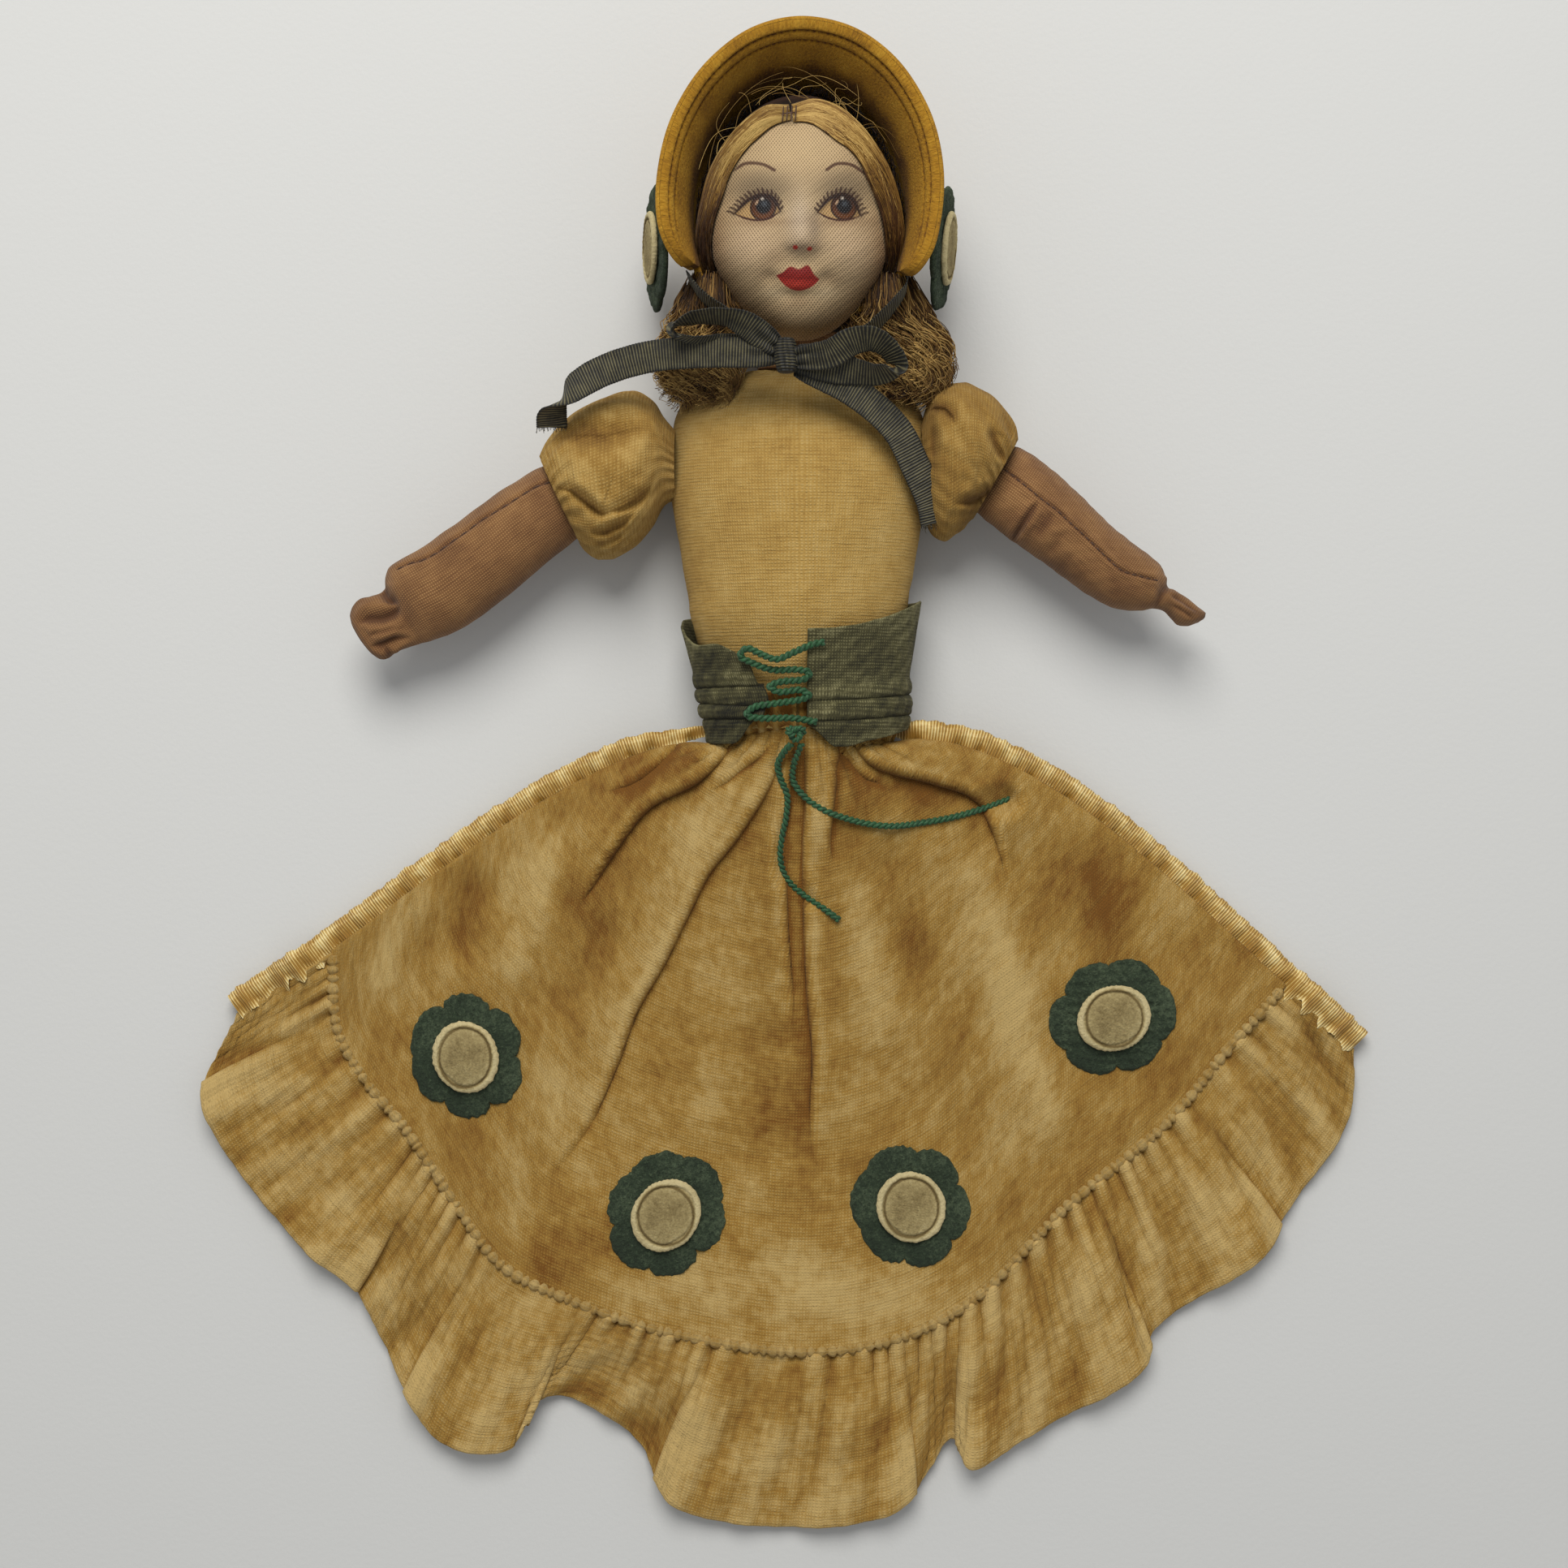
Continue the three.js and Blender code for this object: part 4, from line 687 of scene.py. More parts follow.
def fan_place(s, t):
    """Where the share s from waist to seam and t from left to right lies, seen from above"""
    side = 2 * t - 1
    waist = np.stack([SKIRT.top_width * (t - 0.5) + GAP, 0 * t], -1)
    out = np.where(column(side < 0), EDGE_WAYS[0], EDGE_WAYS[1])
    bulge = np.where(side < 0, SKIRT.left_bulge, SKIRT.right_bulge) * np.abs(side) ** 1.5
    bulge = bulge * np.sin(math.pi * np.maximum(s, 0) ** 0.65)
    return lerp(waist, SEAM.at(t), column(s)) + out * column(bulge)


# Folds seen from above, each a line of places in mm from the waist down, then the side that lies on
# top (1 for the picture's right), the step up to it, how far its roll reaches, the dip beside it and
# the share of the way at which it starts to flatten
FOLDS = [
    ([(-13.3, 1.1), (-19.9, -5.4), (-30.6, -11.3), (-37.2, -19.3), (-41.8, -26.5), (-45.8, -33)], -1, 2.2,
     7, 1.8, 0.6),
    ([(-6.8, -0.2), (-10.5, -2.8), (-14.7, -6.1), (-17.6, -8.2)], -1, 1.2, 3, 0.8, 0.5),
    ([(-3.2, -1), (-8.2, -10), (-13.4, -17.9), (-18.7, -24.5), (-22.8, -32.6), (-28.1, -43.3), (-33.5, -52.6),
      (-37.4, -63.2), (-42.8, -75.2), (-49.4, -84.5), (-56, -92.4)], -1, 1.9, 8, 1.5, 0.55),
    ([(-2, -0.9), (-2.5, -8.7), (-3.3, -16.6), (-3.3, -25.8), (-2.9, -36.6), (-1.8, -52.6), (-2.2, -61.9)],
     -1, 1.1, 4, 0.9, 0.5),
    ([(1.6, 3), (2.1, -10), (1.6, -19.3), (1.8, -32.6), (2.4, -48.6), (3.5, -61.9), (3.1, -77.8),
      (4.7, -91.1)],
     1, 1.2, 5, 1.1, 0.6),
    ([(7.2, 1.1), (6.6, -4.8), (5.9, -12.7), (5.4, -19.3), (6.6, -24)], -1, 0.9, 3, 1.2, 0.6),
    ([(11.4, 0.7), (15.4, -2.8), (27.2, -6.1), (35.3, -9), (38.6, -13.3), (40.9, -19.3), (42.2, -27.2)],
     1, 2.6, 9, 2.2, 0.6),
    ([(8.9, -0.9), (12.8, -4.8), (18, -7.4)], 1, 0.8, 3, 0.5, 0.5),
    ([(-25, -0.2), (-33, -6.1), (-39.8, -8.7)], -1, 0.7, 5, 0.5, 0.5),
]
# Soft ridges and hollows: a line as above, its height, its half width and how far it is rubbed pale, or where
# negative, how far a hollow is darkened as painted shade
RIDGES = [
    ([(-48.4, -12.7), (-51, -23.2), (-53.4, -32.6), (-57.4, -43.3), (-60, -54)], 1.3, 4.5, 0.9),
    ([(-72, -26), (-79.3, -33), (-84.6, -43.3), (-86.9, -56.6)], 1.0, 4, 0.8),
    ([(-64, -22), (-68, -34), (-70, -46)], -1.1, 5, -0.8),
    ([(-36, -30), (-43, -44), (-50, -58)], -0.9, 5, -0.5),
    ([(32.7, -19.3), (39.6, -36.6), (44.9, -56.6), (50.2, -72.5), (51.8, -86)], 1.0, 5, 1.1),
    ([(15.6, -16.6), (16, -25.8), (22, -39.3), (30.3, -56.6)], -0.9, 5, -0.5),
    ([(12, -20), (12.4, -34), (16, -52), (20, -70)], 0.6, 5, 0.5),
    ([(52, -22), (62, -38), (70, -52)], -0.8, 7, -0.5),
    ([(-12, -30), (-14, -50), (-20, -72), (-22, -90)], 0.6, 6, 0.5),
    ([(-6, -46), (-7, -70), (-6, -92)], -0.6, 5, -0.4),
]


def fold_relief(x, y):
    """The folds' height at places seen from above, and how they leave the pile: rubbed paler on each fold
    edge, with painted shade in the dip under it
    """
    height, rub_and_shade = 0 * x, 0 * x
    for line, side, step, reach, dip, flatten in FOLDS:
        gap, share = beside(x, y, line)
        gap = gap * side
        fade = (0.5 + 0.5 * smooth(0, 0.12, share)) * (1 - smooth(flatten, 1, share))
        over = smooth(-0.5, 0.4, gap)
        above, below = np.maximum(gap, 0), np.maximum(-gap, 0)
        under = 1 - over
        height = height + fade * (step * over * hump(above, 0, reach) - dip * under * np.exp(-below / 2.4))
        # Rubbed paler just over the fold edge, and painted shade in the dip beside and under it
        worn = 0.8 * hump(gap, 1.2, 1.1) - 1.9 * hump(gap, -0.7, 0.8)
        rub_and_shade = rub_and_shade + fade * (worn - 0.7 * np.exp(-below / 2.6) * under)
    for line, rise, width, rub in RIDGES:
        gap, share = away_from(x, y, line)
        fade = smooth(0, 0.3, share) * smooth(0, 0.3, 1 - share)
        height = height + fade * rise * hump(gap, 0, width)
        rub_and_shade = rub_and_shade + fade * rub * hump(gap, 0, 0.8 * width)
    return height, rub_and_shade


def skirt_height(s, t):
    arch = SKIRT.side_height + (SKIRT.waist_depth - SKIRT.side_height) * np.abs(np.sin(math.pi * t)) ** 0.6
    plan = fan_place(s, t)
    s = np.maximum(s, 0)
    fall = np.maximum(1 - s / 0.8, 0) ** 1.8
    low = SKIRT.table_lift + SKIRT.cloth
    relief, rub_and_shade = fold_relief(plan[..., 0], plan[..., 1])
    gathers = 0.5 * np.cos(TURN * (17 * t + 0.5 * np.sin(9 * t))) * np.exp(-s / 0.06)
    rest = low + (arch - low) * fall + SKIRT.cloth
    height = rest + (relief + gathers) * np.minimum(1, 0.4 + s * 6)
    soft = 0.3 * ripple(60 * s, 110 * t, seed=3, size=34)
    return np.maximum(height + soft, low), rub_and_shade


def under_cords(x, y, z):
    """The cloth's height where it gives way under the two ends of the lacing cord"""
    for route in (LACE_END_SHORT, LACE_END_LONG):
        for place in Curve(route).at(np.linspace(0.04, 1, 90)):
            gap = np.hypot(x - place[0], y - place[1])
            room = place[2] - LACE.diameter / 2 - 0.1 + 0.9 * np.maximum(gap - LACE.diameter / 2, 0)
            z = np.where(gap < 4 * LACE.diameter, np.minimum(z, room), z)
    return z


# Rubbed and rich patches of the pile, with painted shade in the pocket under the right roll and along
# deep folds: place, reach across and along, lean in degrees, strength
SKIRT_PATCHES = [
    (-18, -14, 4, 14, -28, 0.9), (-30, -42, 5, 20, -22, 0.8), (-56, -27, 7, 12, -40, 0.8),
    (-50, -72, 9, 16, -15, 0.7), (52, -15, 9, 6, 30, 1.1), (43, -62, 5, 24, 4, 0.9),
    (77, -31, 5, 13, 50, 0.7),
    (27, -27, 8, 12, 8, 0.5), (0, -111, 34, 9, 0, 1.2), (-82, -46, 8, 8, 0, 0.4), (14, -60, 5, 26, 3, 0.4),
    (-30, -6, 11, 5, 20, -1.4), (-43, -27, 6, 10, -30, -1.2), (25, -8.5, 15, 4, 4, -1.1),
    (60, -25, 15, 9, -35, -1.1),
    (-49, -103, 9, 9, 0, -0.9), (1, -72, 3, 26, 0, -0.8), (68, -58, 10, 10, 0, -0.6),
    (91, -38, 9, 6, -45, -0.9),
    (-64, -52, 9, 9, 0, -0.5), (58, -92, 8, 10, 0, -0.5),
]


def painted(x, y, patches):
    total = 0 * x
    for px, py, wide, tall, lean, strength in patches:
        turn = math.radians(lean)
        u = (x - px) * math.cos(turn) + (y - py) * math.sin(turn)
        v = (y - py) * math.cos(turn) - (x - px) * math.sin(turn)
        total = total + strength * np.exp(-((u / wide) ** 2 + (v / tall) ** 2))
    return total


def make_skirt():
    s, t = shares(154, 320)
    s = lerp(-SKIRT.tuck, 1, s ** 1.15)
    plan = fan_place(s, t)
    z, rub_and_shade = skirt_height(s, t)
    z = under_cords(plan[..., 0], plan[..., 1], z)
    top = places(plan[..., 0], plan[..., 1], z)
    wear_and_shade = rub_and_shade + painted(plan[..., 0], plan[..., 1], SKIRT_PATCHES)
    fields = {"place": places(SEAM.length * (t - 0.5) * (0.3 + 0.7 * s), SKIRT.length * s, 0 * s),
              "wear_and_shade": wear_and_shade}
    skirt = cloth("skirt_panel", top, SKIRT.cloth * 0.8, SKIRT_VELVET, fields)
    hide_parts("skirt_panel")
    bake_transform(skirt)


# The ruffle's folded-over edges: places among the hem's points, and 1 where the part to the
# right lies on top or -1 where the part to the left does. Width and slide are shares of the hem.
LAP = Sizes(width=0.0105, slide=0.0082, lift=2.6)
LAPS = [(1.0, 1), (4.9, -1), (7.1, 1), (9.5, -1), (12.6, 1), (15.5, -1), (17.4, 1), (20.5, -1), (22.7, -1)]


def ruffle_grid(s, p, drop=0):
    """The ruffle's points for shares s from seam to hem and p along the cloth"""
    grown = smooth(0.05, 0.9, s)
    t, lift, edge = p + 0, 0 * s, 0 * s
    for number, side in LAPS:
        x = side * (p - HEM.share_of(number)) / LAP.width
        # x times its hump reaches 1 / 2.33
        t = t - side * grown * LAP.slide * x * 2.33 * hump(x, 0, 1)
        over = 0.5 + 0.5 * np.tanh(1.4 * x)
        lift = lift + grown * LAP.lift * over * hump(np.maximum(x - 0.5, 0), 0, 4.5)
        edge = edge + grown * (0.9 * hump(x, 0.9, 0.6) - 1.6 * hump(x, -0.5, 0.6))
    seam, hem = SEAM.at(t), HEM.at(t)
    start = seam + unit(hem - seam) * 2 * GAP
    plan = lerp(start, hem, column(s))
    creases = (0.55 * np.cos(TURN * (61 * t + 0.8 * np.sin(31 * t)))
               + 0.45 * np.cos(TURN * (37 * t + 0.5 * np.sin(17 * t) + 0.2)))
    fan = np.exp(-s / (0.13 + 0.26 * smooth(-0.3, 1, ripple(300 * t, seed=8, size=24))))
    flutes = ripple(16 * s, 300 * t, seed=6, size=26) * smooth(0.05, 0.5, s)
    flutes = flutes + 0.35 * ripple(9 * s, 300 * t, seed=7, size=9) * smooth(0.1, 0.4, s)
    puff = 1.5 * np.sin(math.pi * np.minimum(s * 1.6, 1)) * (0.6 + 0.4 * np.cos(TURN * 9 * t))
    z = SKIRT.table_lift + RUFFLE.cloth + 0.8 + lift + 1.25 * creases * fan + puff + 0.9 * flutes
    z = z + 0.35 * ripple(40 * s, 300 * t, seed=5, size=26)
    # Crease and flute tops and the raised laps painted lighter and their hollows darker, a paler edge on each
    # lap and the cloth just beside it darker, as painted light and shade; a paler hem edge; the ripple is
    # uneven tone
    wear_and_shade = 1.3 * creases * fan + 0.7 * flutes + 0.4 * lift / LAP.lift + 0.25 + edge + 0.4 * smooth(0.95, 1, s)
    wear_and_shade = wear_and_shade + 0.35 * ripple(36 * s, 300 * t, seed=9, size=26)
    return places(plan[..., 0], plan[..., 1], np.maximum(z, RUFFLE.cloth) - drop), wear_and_shade


def make_ruffle():
    s, p = shares(44, 900)
    top, wear_and_shade = ruffle_grid(s, p)
    fields = {"place": places(HEM.length * p, 36 * s, 0 * s), "wear_and_shade": wear_and_shade}
    ruffle = cloth("ruffle", top, 0.7, SKIRT_VELVET, fields)
    hem_share = 0.955
    along = np.linspace(0.01, 0.99, 104)
    line = ruffle_grid(np.full_like(along, hem_share), along)[0]
    ahead = ruffle_grid(np.full_like(along, hem_share + 0.02), along)[0]
    normal = unit(np.cross(ahead - line, np.gradient(line, axis=0)))
    normal = normal * np.sign(normal[:, 2:])
    stitch = stitches("hem_stitches", line, normal, 2.1, 0.17, PALE_THREAD)
    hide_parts("ruffle")
    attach(ruffle, "skirt")
    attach(stitch, "skirt")


def make_seam_gathers():
    """The small puckers along the seam, like a row of beads"""
    share = np.linspace(0.003, 0.997, 1100)
    line = SEAM.at(share)
    s = np.ones_like(share)
    height = skirt_height(s, share)[0] + 0.25
    beads = 136
    uneven = beads * share + 0.35 * ripple(share * 300, seed=4, size=16)
    swell = 0.62 + 0.75 * np.abs(np.cos(math.pi * uneven)) ** 0.7 + 0.12 * ripple(share * 300, seed=2, size=9)
    way = unit(np.gradient(places(line[:, 0], line[:, 1], 0), axis=0))
    out = np.cross(way, UP)
    angle = full_turn(10)
    centre = places(line[:, 0], line[:, 1], height)
    ring = out[:, None] * column(np.cos(angle)) + UP * column(np.sin(angle))
    rings = centre[:, None] + ring * swell[:, None, None]
    place = places(column(share) * SEAM.length * 3, column(angle).T, 0)
    gathers = loft("seam_gathers", rings, SKIRT_VELVET,
                   {"place": place, "wear_and_shade": np.full(rings.shape[:2], 0.9)})
    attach(gathers, "skirt")


make_skirt()
make_ruffle()
make_seam_gathers()

# Ribbon bindings of the skirt's straight edges: a puffed fold outside and a wavy lip inside

BINDING = Sizes(clear=3.2, tube=1.65, tube_height=1.5, lip=4.2, lip_lift=0.7)


def make_binding(name, t, start, taper):
    s = np.linspace(start, 1, 14)
    plan = fan_place(s, np.full_like(s, t))
    height = skirt_height(s, np.full_like(s, t))[0] - SKIRT.cloth / 2
    r = np.array([0.3, 0.6, 0.98])
    hem_edge = ruffle_grid(r, np.full_like(r, t), -RUFFLE.cloth / 2)[0]
    line = Curve(np.vstack([places(plan[:, 0], plan[:, 1], height), hem_edge]))
    share = np.linspace(0, 1, 460)
    centre = line.at(share)
    way = unit(np.gradient(centre, axis=0))
    out = unit(np.cross(way, UP) * [1, 1, 0])
    out = out * np.sign(out[:, 1:2])
    run = share * line.length
    puff = 1 + 0.2 * ripple(run, seed=11, size=9) + 0.05 * np.cos(run * 2.9 + 2 * np.sin(run * 0.6))
    puff = puff * (0.25 + 0.75 * smooth(0, taper, share))
    centre = centre + out * (BINDING.clear + 0.25 * column(ripple(run, seed=12, size=22)))
    centre[:, 2] = np.maximum(centre[:, 2], BINDING.tube_height * 1.12)
    angle = full_turn(26)
    lip = smooth(0.25, 1, -np.cos(angle))
    reach = BINDING.lip * (1 + 0.2 * ripple(run, seed=13, size=9) + 0.13 * np.cos(run * 1.5))
    reach = reach * (0.4 + 0.6 * smooth(0, taper, share))
    wave = BINDING.lip_lift * (ripple(run, seed=14, size=8) + 0.6 * np.cos(run * 1.5 + 1))
    across = column(puff) * BINDING.tube * np.cos(angle) * (1 - lip) - column(reach) * lip
    up = column(puff) * BINDING.tube_height * np.sin(angle) * (1 - 0.86 * lip) + column(wave + 0.3) * lip
    creased = 0.05 * np.cos(column(run * 5.2) + 3 * angle) * (1 - lip)
    rings = centre[:, None] + out[:, None] * column(across * (1 + creased)) + UP * column(up * (1 + creased))
    rings[..., 2] = np.maximum(rings[..., 2], 0.05)
    place = places(BINDING.tube * angle, column(run), 0)
    # Uneven tone, painted shade in the crease where the lip leaves the puffed fold, and a paler lip
    wear_and_shade = 0.3 * ripple(column(run), 3 * np.cos(angle), 3 * np.sin(angle), seed=15, size=12)
    wear_and_shade = wear_and_shade - 0.55 * hump(lip, 0.3, 0.25) + 0.25 * smooth(0.8, 1, lip)
    binding = loft(name, rings, SATIN, {"place": place, "wear_and_shade": wear_and_shade})
    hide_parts(name)
    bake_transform(binding)


make_binding("binding_left", 0, -0.04, 0.2)
make_binding("binding_right", 1, -0.02, 0.07)

# Felt flowers: a green, lobed flower and a cream disc with a stitched groove inside its edge

FLOWER = Sizes(radius=12.3, felt=1.3, lobes=6, lobe_depth=1.7, disc=7.0, disc_felt=1.0)


def axes_about(normal, spin):
    aside = ACROSS if abs(normal[0]) < 0.8 else ALONG
    first = unit(aside - normal * np.dot(aside, normal))
    second = np.cross(normal, first)
    return (first * math.cos(spin) + second * math.sin(spin),
            second * math.cos(spin) - first * math.sin(spin))


def round_section(steps, thickness, softness):
    """Shares of the radius and heights of a felt shape's section, from its underside to its top"""
    flat = np.linspace(0.01, 1 - softness, steps)
    turn = np.linspace(-math.pi / 2, math.pi / 2, 12)
    edge = 1 - softness + softness * np.cos(turn)
    share = np.concatenate([flat[:-1], edge, flat[-2::-1]])
    height = np.concatenate([np.zeros(steps - 1), thickness * (0.5 + 0.5 * np.sin(turn)),
                             np.full(steps - 1, thickness)])
    return share, height


def felt_piece(centre, normal, spin, outline, section, relief):
    """The points of a felt shape, and their places in its own axes"""
    share, height = section
    angle = full_turn(180)
    radius = outline(angle)
    x = column(share) * radius * np.cos(angle)
    y = column(share) * radius * np.sin(angle)
    top = column(height / height.max())
    z = column(height) + relief(column(share), angle, x, y) * top
    first, second = axes_about(normal, spin)
    points = centre + column(x) * first + column(y) * second + column(z) * normal
    return points, places(x, y, z)


def make_flower(name, disc_name, normal, spin, seed, body, ground=None, shape=(1, 1, 0, 0)):
    """A felt flower. The shape is its width and length as shares, and how far it has slipped in mm."""
    draw = np.random.default_rng(seed)
    low, high = [np.array(corner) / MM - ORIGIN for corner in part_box(name)]
    depth = draw.uniform(0.5, 1.4, FLOWER.lobes)
    oval, turn = draw.uniform(0.03, 0.06), draw.uniform(0, TURN)

    def petals(angle):
        lobe = (angle / TURN * FLOWER.lobes).astype(int) % FLOWER.lobes
        share = angle / TURN * FLOWER.lobes % 1
        dip = depth[lobe] * (1 - share) + depth[(lobe + 1) % FLOWER.lobes] * share
        notch = np.abs(np.sin(FLOWER.lobes * angle / 2)) ** 0.55
        wobble = 0.3 * ripple(12 * np.cos(angle), 12 * np.sin(angle), seed=seed, size=6)
        wobble = wobble + 0.1 * ripple(12 * np.cos(angle), 12 * np.sin(angle), seed=seed + 5, size=1.6)
        even = FLOWER.radius * (1 + oval * np.cos(2 * angle + turn))
        return even - FLOWER.lobe_depth * dip * (1 - notch) + wobble

    def disc(angle):
        wobble = 0.16 * ripple(7 * np.cos(angle), 7 * np.sin(angle), seed=seed + 1, size=3.4)
        return FLOWER.disc * (1 + 1.3 * oval * np.cos(2 * angle + turn)) + wobble

    def nap(share, angle, x, y):
        return 0.12 * ripple(x, y, seed=seed, size=1.2) + 0.3 * ripple(x, y, seed=seed + 2, size=7)

    def grooved(share, angle, x, y):
        groove = 0.8 + 0.012 * np.cos(5 * angle + seed)
        dome = 0.22 * np.cos(math.pi / 2 * share)
        return (0.14 * smooth(groove + 0.01, groove + 0.07, share) - 0.45 * hump(share, groove, 0.03) + dome
                + 0.07 * ripple(x, y, seed=seed + 3, size=1.6))

    base = (low + high) / 2 - normal * FLOWER.felt / 2
    green, green_place = felt_piece(base, normal, spin, petals, round_section(22, FLOWER.felt, 0.07), nap)
    seat = base + normal * (FLOWER.felt + 0.12)
    section = round_section(34, FLOWER.disc_felt, 0.09)
    cream, cream_place = felt_piece(seat, normal, spin, disc, section, grooved)
    wide, long, slip_x, slip_y = shape
    for points in (green, cream):
        points[...] = base + (points - base) * [wide, long, 1] + [slip_x, slip_y, 0]
    if ground is not None:
        green[..., 2] += settle(green, base, ground, 0.95)
        cream[..., 2] += settle(cream, base, ground, 0.85)
    reach = np.hypot(cream_place[..., 0], cream_place[..., 1]) / FLOWER.disc
    # The stitched groove darkened as painted shade, the rim outside it paler and the middle a little darker
    groove = 0.3 * smooth(0.84, 0.9, reach) - 0.6 * hump(reach, 0.8, 0.03) - 0.12 * smooth(0.8, 0.5, reach)
    flower = loft(name, green, GREEN_FELT, {"place": green_place})
    middle = loft(disc_name, cream, CREAM_FELT, {"place": cream_place, "wear_and_shade": groove})
    for thing, node in ((flower, name), (middle, disc_name)):
        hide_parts(node)
        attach(thing, body)


def settle(points, base, ground, hang):
    """How far a piece of felt sinks towards the cloth under it, more so out at its edge"""
    plan = points[..., :2] - base[:2]
    away = np.linalg.norm(plan, axis=-1) / FLOWER.radius
    under = ground(points[..., 0], points[..., 1])
    return np.minimum(under + 0.25 - base[2], 0) * hang * smooth(0.1, 1.0, away)


def skirt_ground():
    """The height of the skirt at any place, from the nearest points of a coarse grid"""
    s, t = shares(90, 200)
    plan = fan_place(s, t).reshape(-1, 2)
    height = skirt_height(s, t)[0].reshape(-1)

    def read(x, y):
        flat = np.stack([x.ravel(), y.ravel()], -1)
        near = np.linalg.norm(plan - flat.mean(0), axis=1) < 2 * FLOWER.radius
        away = np.linalg.norm(flat[:, None] - plan[near][None], axis=-1)
        weight = np.exp(-((away / 1.6) ** 2)) + 1e-9
        return ((weight @ height[near]) / weight.sum(1)).reshape(x.shape)

    return read


ground = skirt_ground()
FLOWER_SHAPES = [(0.93, 1.08, -1.2, 0.2), (1.0, 1.06, -0.6, -0.6), (0.97, 1.07, 0, 0),
                 (1.02, 1.02, 1.8, -1.0)]
for number, shape in enumerate(FLOWER_SHAPES, 1):
    make_flower(f"flower_{number}", f"flower_centre_{number}", UP, 0.2 * (number - 1), 20 + number, "skirt",
                ground, shape)

# Torso, neck and the skirt's gathered top. Rows: share of the length, of the half width and of the
# half depth, and the height of the middle in half depths.

TORSO = Sizes(length=75, half_width=25.8, half_depth=13.5, hem=4, squareness=2.3)
TORSO_SHARES = [
    (0, 0.74, 0.62, 0.8), (0.16, 0.76, 0.68, 0.86), (0.27, 0.795, 0.77, 0.935), (0.36, 0.84, 0.86, 1.015),
    (0.48, 0.895, 0.94, 0.99), (0.59, 0.95, 1, 0.97), (0.7, 1, 0.985, 0.96), (0.81, 0.995, 0.9, 0.945),
    (0.88, 0.965, 0.78, 0.93), (0.935, 0.88, 0.62, 0.95), (0.975, 0.7, 0.45, 1), (1, 0.42, 0.33, 1.05),
]


def torso_at(y, grow=0):
    share = y / TORSO.length
    return (TORSO.half_width * reading(TORSO_SHARES, share, 1) + grow,
            TORSO.half_depth * reading(TORSO_SHARES, share, 2) + grow,
            TORSO.half_depth * reading(TORSO_SHARES, share, 3))


def slimmed(x, y):
    """The doll's waist is drawn in further on the left"""
    return x + 3 * (1 - smooth(5, 26, y)) * smooth(2, 16, -x)


def torso_point(angle, y, grow=0):
    wide, deep, height = torso_at(y, grow)
    power = 2 / TORSO.squareness
    x = slimmed(wide * bend(np.sin(angle), power), y)
    return places(x, y, height + deep * bend(np.cos(angle), power))


def front_height(x, y, grow=0):
    wide, deep, height = torso_at(y, grow)
    side = np.minimum(np.abs(x) / wide, 1)
    return height + deep * (1 - side ** TORSO.squareness) ** (1 / TORSO.squareness)


def make_torso():
    y = column(np.linspace(TORSO.hem, TORSO.length, 240))
    angle = TURN * (np.arange(300) / 300 - 0.5)
    around = TORSO.half_width * angle
    x, _, z = np.moveaxis(torso_point(angle, y), -1, 0)
    slack = 0.16 * ripple(x, y, z, seed=31, size=36)
    side = smooth(0.55, 1, np.abs(np.sin(angle)))
    drag = 0.12 * side * ripple(0.15 * x, y, seed=32, size=6) * smooth(60, 20, y)
    points = torso_point(angle, y, slack + drag - 0.1)
    points[..., 2] = np.maximum(points[..., 2], 0.02)
    wear_and_shade = 0.35 * ripple(x, y, z, seed=33, size=34) + 0.2 + 0.3 * hump(y, 70, 5)
    torso = loft("torso", points, BODICE_VELVET, {"place": places(around, y, 0), "wear_and_shade": wear_and_shade})
    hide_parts("torso_cover", "torso_stuffing")
    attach(torso, "torso")


NECK = Sizes(half_width=8.2, half_depth=6.2, length=6.4, lean=4.4, foot_height=14.6)


def make_neck():
    share = column(np.linspace(0, 1, 40))
    angle = full_turn(60)
    waist = 1 - 0.12 * hump(share, 0.5, 0.3) + 0.03 * np.cos(TURN * 3 * share + np.sin(2 * angle))
    points = places(NECK.half_width * waist * np.sin(angle), TORSO.length + GAP + NECK.length * share,
                    NECK.foot_height + NECK.lean * share + NECK.half_depth * waist * np.cos(angle))
    neck = loft("neck", points, SKIN, {"place": places(NECK.half_width * angle, NECK.length * share, 0)})
    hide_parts("neck")
    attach(neck, "torso")


GATHERS = Sizes(length=4.6, pleats=26, top=11, sink=3.6)


def make_gathers():
    share = column(np.linspace(0, 1, 30))
    angle = full_turn(340)
    y = lerp(GATHERS.top, TORSO.hem - GAP - GATHERS.length, share)
    tuck = smooth(0.45, 1, share)
    wide, deep, height = torso_at(np.maximum(y, TORSO.hem), lerp(2 * GAP, -4 * GAP, tuck))
    pleat = 0.42 * np.cos(GATHERS.pleats * angle + 2 * np.sin(3 * angle))
    pleat = pleat + 0.15 * ripple(30 * angle, seed=35, size=3)
    power = 2 / TORSO.squareness
    points = places(slimmed((wide + pleat) * bend(np.sin(angle), power), y), y + 0 * angle,
                    height + (deep + pleat - GATHERS.sink * tuck) * bend(np.cos(angle), power))
    place = places(wide * angle, GATHERS.length * share, 0)
    # Pleat tops painted lighter and their folds darker, as painted light and shade, darker overall and darker
    # still towards the top, as painted shade under the bodice
    wear_and_shade = 2.2 * pleat - 0.8 - 0.8 * smooth(0.6, 0, share)
    gathers = loft("waist_gathers", points, SKIRT_VELVET, {"place": place, "wear_and_shade": wear_and_shade})
    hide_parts("waist_gathers")
    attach(gathers, "torso")


make_torso()
make_neck()
make_gathers()

# Waist cincher. Rows: share of the way round from the right front edge, then the bottom and top
# as shares of the height.

